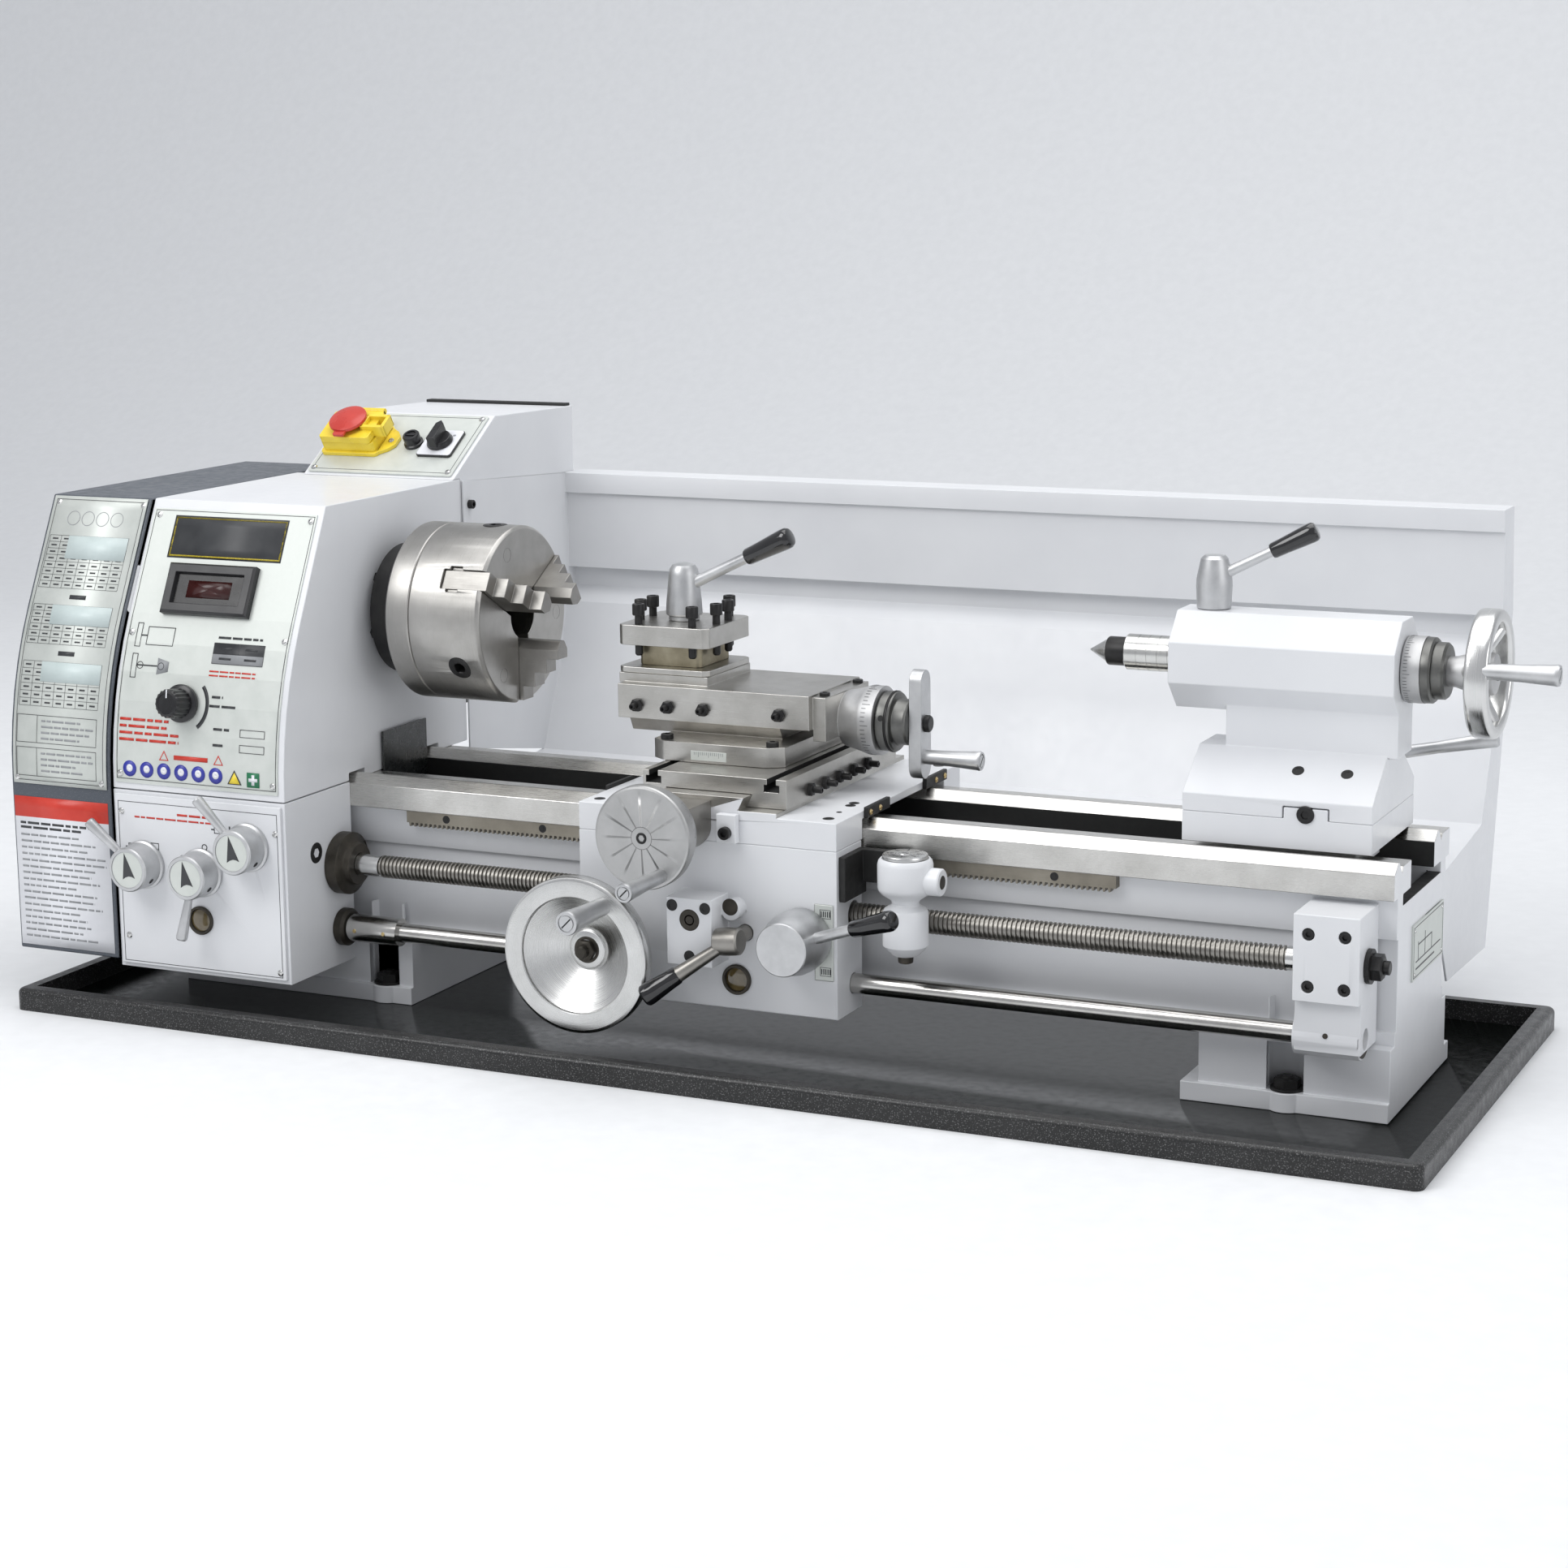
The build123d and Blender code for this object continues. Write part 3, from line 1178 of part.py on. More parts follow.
def make_thread_dial_body():
    """The thread indicator's housing: a dial head, a neck and a drum open towards the leadscrew."""
    x, y = dial_x, dial_y
    bore = 4 + running_gap
    body = turned([(bore, -100), (12, -100), (14, -92), (dial_wheel_radius + 2.5, -92),
                   (dial_wheel_radius + 2.5, -62), (11, -58), (11, -54), (20, -48), (dial_head_radius, -42),
                   (dial_head_radius, -22), (21, -18), (bore, -18)], (x, y, 0), Z_DIR)
    body -= bar_z(-86, -68, x, y, dial_wheel_radius + 0.5)
    open_side = y + 9
    body -= block(x - 30, x + 30, open_side, y + 40, -93, -61)
    return body + bar_x(x + 18, x + 34, y, -36, 7)


def make_thread_dial():
    """The dial disc on its vertical shaft, with the worm wheel that the leadscrew turns."""
    x, y = dial_x, dial_y
    dial = bar_z(-17.6, -14, x, y, 19) + bar_z(-99, -16, x, y, 4)
    return dial + bar_z(-84, -70, x, y, dial_wheel_radius)


# ---- Tailstock ----------------------------------------------------------------------------

def make_tailstock_base():
    """The lower half, guided on the ways, with its clamp plate between the shears."""
    base = block(tail_left, tail_right, tail_front, tail_rear, 0.4, tail_split)
    inner = half_bed - shear_width
    base += block(tail_left + 20, tail_right - 20, -inner + 1, inner - 1, -20, 1)
    base += bar_z(-34, -19, (tail_left + tail_right) / 2, 0, 8)
    base += block(tail_left + 40, tail_right - 40, -inner - 18, inner + 18, -way_depth - 8 - free_gap,
                  -way_depth - free_gap)
    base += block(tail_left + 84, tail_left + 120, tail_front, tail_front + 10,
                  tail_split - 1, tail_split + 9)
    return base


def make_tailstock_body():
    """The upper half: a wide foot, a neck and an octagonal barrel bored for the quill."""
    foot = section_x([(tail_front, tail_split), (tail_front, tail_shoulder - 6),
                      (tail_front + 8, tail_shoulder), (-22, 72), (22, 72), (tail_rear - 8, tail_shoulder),
                      (tail_rear, tail_shoulder - 6), (tail_rear, tail_split)], tail_left, tail_right)
    foot -= block(tail_left + 83, tail_left + 121, tail_front - 1, tail_front + 11,
                  tail_split - 1, tail_split + 10)
    neck = block(tail_left + 22, barrel_right, -22, 22, 70, centre_height - barrel_half + 8)
    side = barrel_half * tan(radians(22.5))
    corners = []
    for y, z in ((-barrel_half, side), (-side, barrel_half), (side, barrel_half), (barrel_half, side),
                 (barrel_half, -side), (side, -barrel_half), (-side, -barrel_half), (-barrel_half, -side)):
        corners.append((y, centre_height + z))
    barrel = section_x(corners, barrel_left, barrel_right)
    body = foot + neck + barrel
    body -= bar_x(barrel_left - 1, barrel_right + 1, 0, centre_height, quill_radius + running_gap)
    body -= bar_z(centre_height + 10, centre_height + barrel_half + 1, lock_x, 0, 6 + running_gap)
    body -= bar_y(-30, tail_rear + 1, tail_right - 34, 52, 8 + running_gap)
    return body


def make_quill():
    """The sliding quill, bored for the centre and for the screw."""
    end = quill_tip + quill_length
    quill = bar_x(quill_tip, end, 0, centre_height, quill_radius)
    quill = chamfer(quill.edges().sort_by(Axis.X)[0], 1.5)
    quill -= bar_x(quill_tip - 1, quill_tip + 60, 0, centre_height, 9)
    return quill - bar_x(quill_tip + 70, end + 1, 0, centre_height, 7 + running_gap)


def make_tail_centre():
    """The dead centre in the quill."""
    return turned([(0, centre_tip), (10, centre_tip + 17), (12, centre_tip + 17),
                   (12, quill_tip), (9, quill_tip), (9, quill_tip + 58), (0, quill_tip + 58)],
                  (0, 0, centre_height), X_DIR)


def make_tail_wheel():
    """The tailstock handwheel: dial, hub, three spokes, rim, grip and screw."""
    z = centre_height
    left = barrel_right + free_gap
    r = tail_wheel_radius
    wheel = bar_x(left, left + 24, 0, z, 27) + bar_x(left + 23, left + 34, 0, z, 23)
    wheel += bar_x(left + 33, tail_wheel_x + 12, 0, z, 13)
    rim = turned([(r - 11, 0), (r - 2, -2), (r, 0), (r, 12), (r - 2, 14), (r - 11, 12)],
                 (tail_wheel_x, 0, z), X_DIR)
    wheel += rim
    for spoke in range(3):
        arm = block(tail_wheel_x + 1, tail_wheel_x + 9, 10, r - 8, z - 6, z + 6)
        wheel += around_x(arm, 168 + 120 * spoke)
    hy, hz = on_circle(0, z, r - 6, 168)
    wheel += handle((tail_wheel_x + 11, hy, hz), (tail_wheel_x + 70, hy, hz), 8)
    return wheel + bar_x(quill_tip + 75, left + 1, 0, z, 7)


def make_quill_lock():
    """The quill lock lever on top of the barrel."""
    top = centre_height + barrel_half
    lever = make_clamp_lever(lock_x, 0, top + free_gap, 0, 44, (82, 10, 66))
    return lever + bar_z(centre_height + quill_radius + 0.5, top + 2, lock_x, 0, 6)


def make_tail_clamp():
    """The tailstock clamp lever at the rear, with its eccentric shaft."""
    x = tail_right - 34
    shaft = bar_y(-28, tail_rear + 16, x, 52, 8)
    hub = bar_y(tail_rear + 1, tail_rear + 20, x, 52, 14)
    start = (x, tail_rear + 12, 52)
    mid = (x + 70, tail_rear + 16, 66)
    tip = (x + 122, tail_rear + 20, 78)
    return shaft + hub + rod(start, mid, 5.5) + taper(mid, tip, 6, 7.5)


# ---- All nodes ----------------------------------------------------------------------------

save("chip_tray", make_chip_tray())
save("bed", bed_part(bed_left, bed_right))
save("rack", make_rack())
save("headstock", make_headstock())
save("feed_gearbox", make_feed_gearbox())
save("gear_case_back", apart([make_gear_case_back(), make_gear_banjo()]))
save("control_cabinet", make_control_cabinet())
save("panel_fittings", apart([make_control_panel(), make_display()]))
save("chip_guards", apart([make_splash_guard(), make_chip_plate()]))
save("feed_supports", make_feed_supports())
save("spindle_bearings", make_spindle_bearings())
save("motor", make_motor())
save("fasteners", make_fasteners())
save("label_plates", make_label_plates())
save("drive_belt", make_drive_belt())
save("spindle", make_spindle())
save("spindle_drive", make_spindle_drive())
save("chuck_back_plate", make_chuck_back_plate())
save("chuck_body", make_chuck_body())
save("chuck_pinions", apart([make_pinion(angle) for angle in pinion_angles]))
save("scroll_plate", make_scroll_plate())
for number, angle in enumerate(jaw_angles, start=1):
    save(f"chuck_jaw_{number}", make_jaw(angle))
save("motor_pulley", make_motor_pulley())
save("first_change_gear", make_change_gear(first_centre, first_gear_radius, 60))
save("second_change_gear", make_change_gear(second_centre, second_gear_radius, 68))
save("input_gear", make_input_gear())
save("leadscrew", make_leadscrew())
save("feed_rod", make_feed_rod())
save("gear_cover", make_gear_cover())
for index, name in enumerate(("feed_direction_lever", "feed_range_lever", "feed_select_lever")):
    save(name, make_gearbox_lever(index))
save("speed_knob", make_speed_knob())
save("selector_knob", make_selector_knob())
save("switch_flap", make_switch_flap())
save("stop_button", make_stop_button())
save("saddle", apart([make_saddle(), make_cross_housing()]))
save("apron", apart([make_apron(), make_thread_dial_body()]))
save("carriage_handwheel", make_carriage_wheel())
save("half_nut_lever", make_half_nut_lever())
save("upper_half_nut", make_half_nut(1))
save("lower_half_nut", make_half_nut(-1))
save("feed_lever", make_feed_lever())
save("thread_dial", make_thread_dial())
save("cross_slide", make_cross_slide())
save("cross_handwheel", make_cross_wheel())
save("swivel_base", make_swivel_base())
save("top_slide", make_top_slide())
save("top_slide_crank", make_top_crank())
save("tool_post", make_tool_post())
save("tool_post_lever", make_clamp_lever(post_x, 0, post_top + free_gap, 8 + running_gap, 50, (104, 0, 78)))
save("tailstock_base", make_tailstock_base())
save("tailstock_body", make_tailstock_body())
save("quill", make_quill())
save("tailstock_centre", make_tail_centre())
save("tailstock_wheel", make_tail_wheel())
save("quill_lock_lever", make_quill_lock())
save("tailstock_clamp_lever", make_tail_clamp())

os.makedirs("parts", exist_ok=True)
for name, shape in nodes.items():
    export_step(shape, f"parts/{name}.step")
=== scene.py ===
"""Bench metal lathe on a chip tray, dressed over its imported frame.

Sizes are millimetres in the bed frame: x runs from the headstock's right face towards the
tailstock, y from the spindle axis to the rear, and z up from the peaks of the bed ways.
to_row() moves points to the row frame, in metres.
"""

import json
import logging
import math
from dataclasses import dataclass
from enum import Enum
from functools import lru_cache
from typing import Callable, Optional, Sequence

import bmesh
import bpy
import numpy as np
from mathutils import Matrix, Vector

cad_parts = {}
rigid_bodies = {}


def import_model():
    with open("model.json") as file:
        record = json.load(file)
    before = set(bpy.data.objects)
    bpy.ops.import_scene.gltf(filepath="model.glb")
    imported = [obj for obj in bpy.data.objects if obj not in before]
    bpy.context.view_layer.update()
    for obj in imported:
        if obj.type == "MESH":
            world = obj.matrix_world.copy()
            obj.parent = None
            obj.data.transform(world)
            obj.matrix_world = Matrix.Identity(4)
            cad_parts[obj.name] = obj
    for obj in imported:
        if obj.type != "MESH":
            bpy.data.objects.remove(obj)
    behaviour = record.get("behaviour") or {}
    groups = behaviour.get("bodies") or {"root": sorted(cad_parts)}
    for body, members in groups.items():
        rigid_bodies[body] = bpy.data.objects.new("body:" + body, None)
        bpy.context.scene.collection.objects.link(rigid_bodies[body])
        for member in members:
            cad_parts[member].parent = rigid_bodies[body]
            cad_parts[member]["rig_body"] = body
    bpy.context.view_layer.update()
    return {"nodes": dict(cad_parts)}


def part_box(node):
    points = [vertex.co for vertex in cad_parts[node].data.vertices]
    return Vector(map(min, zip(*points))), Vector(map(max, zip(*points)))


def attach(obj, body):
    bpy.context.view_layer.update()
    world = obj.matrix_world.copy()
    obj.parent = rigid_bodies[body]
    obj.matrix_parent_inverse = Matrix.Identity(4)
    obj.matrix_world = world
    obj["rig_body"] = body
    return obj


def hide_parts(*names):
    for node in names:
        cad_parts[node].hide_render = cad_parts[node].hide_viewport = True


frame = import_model()

LOG = logging.getLogger("lathe")
MM = 0.001
BED_RIGHT = 955.0
SHIFT = np.array([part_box("bed")[1].x / MM - BED_RIGHT, 0.0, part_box("bed")[1].z / MM])

Array = np.ndarray
Point = Sequence[float]
Rule = Callable[[Array, Array, Array, Array], Array]

RIGHT, REAR, UP = (1, 0, 0), (0, 1, 0), (0, 0, 1)
FRONT = (0, -1, 0)


def to_row(points: Array) -> Array:
    """Move bed-frame millimetres to the row frame in metres."""
    return (np.asarray(points, float) + SHIFT) * MM


def to_bed(points: Array) -> Array:
    """Move row-frame metres to bed-frame millimetres."""
    return np.asarray(points, float) / MM - SHIFT


def triad(direction: Point) -> tuple[Array, Array, Array]:
    """Two unit vectors across a direction, and its own unit vector."""
    n = np.asarray(direction, float)
    n = n / np.linalg.norm(n)
    helper = np.array([0.0, 0.0, 1.0]) if abs(n[2]) < 0.9 else np.array([1.0, 0.0, 0.0])
    a = np.cross(helper, n)
    a = a / np.linalg.norm(a)
    return a, np.cross(n, a), n


# ---- Finishes -----------------------------------------------------------------------------


class Axis(Enum):
    """The axis a part was turned about."""

    X = 0
    Y = 1
    Z = 2


class Graph:
    """A material's node tree, with short ways to add to it."""

    def __init__(self, name: str) -> None:
        """Start an empty tree with a Principled shader."""
        self.material = bpy.data.materials.new(name)
        self.material.use_nodes = True
        self.tree = self.material.node_tree
        self.tree.nodes.clear()
        self.shader = self.add("ShaderNodeBsdfPrincipled")
        output = self.add("ShaderNodeOutputMaterial")
        self.link(self.shader.outputs[0], output.inputs[0])

    def add(self, kind: str, inputs: Optional[dict] = None, **settings: object) -> bpy.types.Node:
        """Add a node.

        Args:
            kind: the node's type.
            inputs: values or output sockets by input name or number.
            settings: the node's own properties.

        Returns:
            The new node.
        """
        node = self.tree.nodes.new(kind)
        for key, value in settings.items():
            setattr(node, key, value)
        for key, value in (inputs or {}).items():
            if isinstance(value, bpy.types.NodeSocket):
                self.link(value, node.inputs[key])
            else:
                node.inputs[key].default_value = value
        return node

    def link(self, start: bpy.types.NodeSocket, end: bpy.types.NodeSocket) -> None:
        """Join two sockets."""
        self.tree.links.new(start, end)

    def place(self, scale: Point = (1, 1, 1), centre: Point = (0, 0, 0)) -> bpy.types.NodeSocket:
        """Object coordinates, centred on a bed-frame point and stretched."""
        coordinates = self.add("ShaderNodeTexCoord")
        origin = -to_row(np.array(centre)) * np.array(scale)
        mapping = self.add("ShaderNodeMapping", {"Vector": coordinates.outputs["Object"]})
        mapping.inputs["Location"].default_value = origin
        mapping.inputs["Scale"].default_value = scale
        return mapping.outputs[0]

    def noise(self, vector: bpy.types.NodeSocket, scale: float, detail: float = 3.0,
              rough: float = 0.55) -> bpy.types.NodeSocket:
        """Fractal noise on a vector."""
        node = self.add("ShaderNodeTexNoise", {"Vector": vector, "Scale": scale,
                                               "Detail": detail, "Roughness": rough})
        return node.outputs["Fac"]

    def ramp(self, value: bpy.types.NodeSocket, low: Point, high: Point,
             start: float = 0.3, end: float = 0.7) -> bpy.types.NodeSocket:
        """A colour that runs from low to high as a value rises from start to end."""
        node = self.add("ShaderNodeValToRGB", {"Fac": value})
        node.color_ramp.elements[0].position = start
        node.color_ramp.elements[0].color = (*low, 1)
        node.color_ramp.elements[1].position = end
        node.color_ramp.elements[1].color = (*high, 1)
        return node.outputs[0]

    def spread(self, value: bpy.types.NodeSocket, low: float, high: float) -> bpy.types.NodeSocket:
        """Carry a 0.3 to 0.7 noise to a range of numbers."""
        node = self.add("ShaderNodeMapRange", {"Value": value, "From Min": 0.3, "From Max": 0.7,
                                               "To Min": low, "To Max": high})
        return node.outputs[0]

    def bump(self, height: bpy.types.NodeSocket, strength: float, depth_mm: float,
             normal: Optional[bpy.types.NodeSocket] = None) -> bpy.types.NodeSocket:
        """A bumped normal."""
        node = self.add("ShaderNodeBump", {"Height": height, "Strength": strength, "Distance": depth_mm * MM})
        if normal is not None:
            self.link(normal, node.inputs["Normal"])
        return node.outputs[0]

    def set(self, **values: object) -> None:
        """Set or link the shader's inputs by name, with underscores for spaces."""
        for key, value in values.items():
            socket = self.shader.inputs[key.replace("_", " ")]
            if isinstance(value, bpy.types.NodeSocket):
                self.link(value, socket)
            else:
                socket.default_value = value


@dataclass(frozen=True)
class Paint:
    """Sprayed enamel: faint clouding, an orange-peel skin and, where speckle is set, light specks."""

    name: str
    low: tuple[float, float, float]
    high: tuple[float, float, float]
    roughness: tuple[float, float] = (0.30, 0.42)
    grain_mm: float = 1.6
    depth_mm: float = 0.02
    coat: float = 0.12
    speckle: float = 0.0
    specular: float = 0.5

    @lru_cache(maxsize=None)
    def material(self) -> bpy.types.Material:
        """Build the finish once."""
        g = Graph(self.name)
        place = g.place()
        clouds = g.noise(place, 9.0, 4.0)
        colour = g.ramp(clouds, self.low, self.high)
        if self.speckle > 0:
            specks = g.noise(place, 900.0, 1.0, 0.4)
            bright = tuple(min(1.0, c + self.speckle) for c in self.high)
            light = g.ramp(specks, (0, 0, 0), (1, 1, 1), 0.60, 0.68)
            mix = g.add("ShaderNodeMix", {0: light, 6: colour, 7: (*bright, 1)}, data_type="RGBA")
            colour = mix.outputs[2]
        skin = g.noise(place, 1000.0 / self.grain_mm, 2.0, 0.5)
        waves = g.noise(place, 120.0, 2.0)
        first = g.bump(skin, 0.5, self.depth_mm)
        g.set(Base_Color=colour, Roughness=g.spread(waves, *self.roughness),
              Coat_Weight=self.coat, Coat_Roughness=0.12, Specular_IOR_Level=self.specular,
              Normal=g.bump(waves, 0.25, 0.05, first))
        return g.material


@dataclass(frozen=True)
class Ground:
    """Surface-ground steel: fine straight scratches, faint oil stains."""

    name: str
    low: tuple[float, float, float] = (0.40, 0.39, 0.365)
    high: tuple[float, float, float] = (0.56, 0.55, 0.525)
    roughness: tuple[float, float] = (0.26, 0.40)
    along: Axis = Axis.X
    metallic: float = 1.0

    @lru_cache(maxsize=None)
    def material(self) -> bpy.types.Material:
        """Build the finish once."""
        g = Graph(self.name)
        stretch = [1.0, 1.0, 1.0]
        stretch[self.along.value] = 0.02
        lines = g.noise(g.place(stretch), 2600.0, 2.0, 0.6)
        clouds = g.noise(g.place(), 28.0, 5.0, 0.6)
        g.set(Base_Color=g.ramp(clouds, self.low, self.high, 0.25, 0.75), Metallic=self.metallic,
              Roughness=g.spread(lines, *self.roughness), Normal=g.bump(lines, 0.35, 0.012))
        return g.material


@dataclass(frozen=True)
class Turned:
    """Metal turned about an axis: rings of fine tool marks and a fan of highlights."""

    name: str
    axis: Axis
    centre: tuple[float, float, float]
    low: tuple[float, float, float] = (0.44, 0.435, 0.42)
    high: tuple[float, float, float] = (0.62, 0.615, 0.60)
    roughness: tuple[float, float] = (0.20, 0.32)
    ring_mm: float = 0.5
    depth_mm: float = 0.010
    fan: float = 0.6

    @lru_cache(maxsize=None)
    def material(self) -> bpy.types.Material:
        """Build the finish once."""
        g = Graph(self.name)
        place = g.place(centre=self.centre)
        parts = g.add("ShaderNodeSeparateXYZ", {0: place})
        across = [parts.outputs[i] for i in range(3) if i != self.axis.value]
        squares = [g.add("ShaderNodeMath", {0: s, 1: s}, operation="MULTIPLY").outputs[0] for s in across]
        total = g.add("ShaderNodeMath", {0: squares[0], 1: squares[1]}, operation="ADD").outputs[0]
        radius = g.add("ShaderNodeMath", {0: total}, operation="SQRT").outputs[0]
        polar = g.add("ShaderNodeCombineXYZ", {0: radius, 1: parts.outputs[self.axis.value]})
        rings = g.noise(polar.outputs[0], 1000.0 / self.ring_mm, 2.0, 0.6)
        clouds = g.noise(place, 30.0, 4.0, 0.6)
        line = [0.0, 0.0, 0.0]
        line[self.axis.value] = 1.0
        tangent = g.add("ShaderNodeVectorMath", {0: place, 1: tuple(line)}, operation="CROSS_PRODUCT")
        world = g.add("ShaderNodeVectorTransform", {0: tangent.outputs[0]}, vector_type="VECTOR",
                      convert_from="OBJECT", convert_to="WORLD")
        g.set(Base_Color=g.ramp(clouds, self.low, self.high, 0.25, 0.75), Metallic=1.0,
              Roughness=g.spread(rings, *self.roughness), Anisotropic=self.fan,
              Normal=g.bump(rings, 0.35, self.depth_mm))
        g.link(world.outputs[0], g.shader.inputs["Tangent"])
        return g.material


@dataclass(frozen=True)
class Cast:
    """Bead-blasted or cast metal: an even fine grain."""

    name: str
    low: tuple[float, float, float] = (0.50, 0.505, 0.51)
    high: tuple[float, float, float] = (0.64, 0.645, 0.65)
    roughness: tuple[float, float] = (0.36, 0.50)
    grain_mm: float = 0.8
    depth_mm: float = 0.03
    metallic: float = 1.0

    @lru_cache(maxsize=None)
    def material(self) -> bpy.types.Material:
        """Build the finish once."""
        g = Graph(self.name)
        place = g.place()
        grain = g.noise(place, 1000.0 / self.grain_mm, 3.0, 0.6)
        clouds = g.noise(place, 45.0, 4.0, 0.6)
        g.set(Base_Color=g.ramp(clouds, self.low, self.high), Metallic=self.metallic,
              Roughness=g.spread(clouds, *self.roughness), Normal=g.bump(grain, 0.4, self.depth_mm))
        return g.material


@dataclass(frozen=True)
class Moulded:
    """Moulded plastic or rubber: a soft skin with a faint texture."""

    name: str
    low: tuple[float, float, float]
    high: tuple[float, float, float]
    roughness: tuple[float, float] = (0.18, 0.30)
    coat: float = 0.25
    grain_mm: float = 0.9
    depth_mm: float = 0.01

    @lru_cache(maxsize=None)
    def material(self) -> bpy.types.Material:
        """Build the finish once."""
        g = Graph(self.name)
        place = g.place()
        grain = g.noise(place, 1000.0 / self.grain_mm, 2.0)
        clouds = g.noise(place, 60.0, 3.0)
        g.set(Base_Color=g.ramp(clouds, self.low, self.high), Coat_Weight=self.coat,
              Coat_Roughness=0.08, Roughness=g.spread(clouds, *self.roughness),
              Normal=g.bump(grain, 0.3, self.depth_mm))
        return g.material


class Finish:
    """The lathe's finishes, one for each surface that looks different."""

    WHITE = Paint("white_enamel", (0.70, 0.71, 0.73), (0.75, 0.76, 0.775))
    SLATE = Paint("slate_enamel", (0.052, 0.062, 0.078), (0.075, 0.086, 0.104), (0.36, 0.5), 1.2, 0.04,
                  0.1, 0.035)
    BLACK = Paint("black_enamel", (0.006, 0.008, 0.007), (0.014, 0.016, 0.016), (0.22, 0.36), 1.2, 0.05,
                  0.3, 0.03)
    TRAY = Paint(
        "tray_floor", (0.0015, 0.0025, 0.0018), (0.004, 0.0055, 0.0045), (0.16, 0.24), 1.6, 0.01, 0.0, 0.0,
        0.22)
    TRAY_RIM = Paint(
        "tray_rim", (0.010, 0.010, 0.010), (0.022, 0.022, 0.022), (0.28, 0.42), 0.9, 0.05, 0.1, 0.10, 0.35)
    # Near-black: painted shade in the bed's channel, the cross slide's slots, screw sockets, set-screw holes
    # and handle slots, and the apron bracket's dark colour.
    DARK_AND_PAINTED_SHADE = Paint("dark_casting_and_painted_shade", (0.006, 0.006, 0.006), (0.016, 0.016, 0.015), (0.55, 0.7), 1.5, 0.05, 0.0)
    GROUND = Ground("ground_steel")
    WAY = Ground("way_steel", (0.50, 0.49, 0.465), (0.66, 0.65, 0.625), (0.22, 0.34))
    RACK = Ground("rack_steel", (0.22, 0.20, 0.165), (0.34, 0.315, 0.265), (0.38, 0.52))
    CORE = Ground("tool_post_core", (0.16, 0.135, 0.085), (0.42, 0.38, 0.28), (0.36, 0.52))
    OXIDE = Cast("black_oxide", (0.010, 0.010, 0.011), (0.030, 0.029, 0.028), (0.34, 0.48), 0.7, 0.02, 0.4)
    CASTING = Cast(
        "dark_cast_iron", (0.030, 0.027, 0.022), (0.075, 0.066, 0.053), (0.38, 0.52), 1.2, 0.05, 0.6)
    ALUMINIUM = Cast("satin_aluminium")
    ROUGH_ALUMINIUM = Cast("cast_aluminium", (0.48, 0.48, 0.48), (0.60, 0.60, 0.60), (0.44, 0.58), 1.4, 0.08)
    STEEL = Cast("dull_steel", (0.25, 0.24, 0.22), (0.36, 0.345, 0.32), (0.32, 0.46), 1.0, 0.012)
    DIAL = Cast("dark_dial", (0.12, 0.12, 0.115), (0.20, 0.20, 0.19), (0.32, 0.46), 0.8, 0.01)
    CHROME = Cast("bright_steel", (0.60, 0.60, 0.59), (0.72, 0.72, 0.71), (0.16, 0.26), 0.8, 0.006)
    BRASS = Cast("brass", (0.50, 0.38, 0.18), (0.62, 0.48, 0.25), (0.25, 0.36))
    LABEL = Cast("label_metal", (0.58, 0.61, 0.575), (0.65, 0.675, 0.64), (0.40, 0.50), 1.1, 0.01, 0.25)
    GRIP = Moulded("black_grip", (0.004, 0.004, 0.005), (0.008, 0.008, 0.009), (0.08, 0.16), 0.6)
    RUBBER = Moulded("black_rubber", (0.008, 0.008, 0.008), (0.016, 0.016, 0.016), (0.5, 0.65), 0.0)
    BLACK_PLASTIC = Moulded("black_plastic", (0.008, 0.008, 0.009), (0.015, 0.015, 0.017), (0.26, 0.4), 0.1)
    YELLOW = Moulded("yellow_plastic", (0.80, 0.60, 0.035), (0.88, 0.68, 0.06), (0.24, 0.38), 0.15)
    RED = Moulded("red_plastic", (0.48, 0.035, 0.025), (0.56, 0.05, 0.035), (0.22, 0.36), 0.15)
    GLASS = Moulded("smoked_glass", (0.004, 0.004, 0.005), (0.010, 0.009, 0.009), (0.22, 0.30), 0.0)
    OIL = Moulded("oil_glass", (0.035, 0.022, 0.006), (0.16, 0.12, 0.05), (0.05, 0.12), 1.0)
    INK = Moulded("dark_ink", (0.030, 0.032, 0.035), (0.045, 0.047, 0.05), (0.4, 0.5), 0.0)
    GREY_INK = Moulded("grey_ink", (0.26, 0.27, 0.28), (0.34, 0.35, 0.36), (0.4, 0.5), 0.0)
    RED_INK = Moulded("red_ink", (0.55, 0.030, 0.015), (0.62, 0.045, 0.025), (0.35, 0.45), 0.1)
    BLUE_INK = Moulded("blue_ink", (0.025, 0.030, 0.30), (0.035, 0.045, 0.36), (0.35, 0.45), 0.1)
    GREEN_INK = Moulded("green_ink", (0.015, 0.16, 0.07), (0.02, 0.20, 0.09), (0.35, 0.45), 0.1)
    YELLOW_INK = Moulded("yellow_ink", (0.75, 0.58, 0.03), (0.82, 0.65, 0.05), (0.35, 0.45), 0.1)
    BACKDROP = Moulded("pale_floor", (0.80, 0.81, 0.82), (0.83, 0.84, 0.85), (0.6, 0.75), 0.0)
    TABLE = Moulded("pale_table", (0.52, 0.60, 0.59), (0.58, 0.66, 0.65), (0.35, 0.45), 0.05)
    RED_GLASS = Moulded("dark_red_glass", (0.030, 0.004, 0.003), (0.045, 0.006, 0.005), (0.25, 0.35), 0.0)
    SHEET = Moulded("white_sticker", (0.74, 0.75, 0.78), (0.79, 0.80, 0.83), (0.3, 0.4), 0.2)


Look = Paint | Ground | Turned | Cast | Moulded
PRINT = [Finish.INK, Finish.GREY_INK, Finish.RED_INK, Finish.BLUE_INK, Finish.YELLOW_INK, Finish.GREEN_INK,
         Finish.SHEET]


# ---- Shapes -------------------------------------------------------------------------------

ROUND = 0
HEX = 6


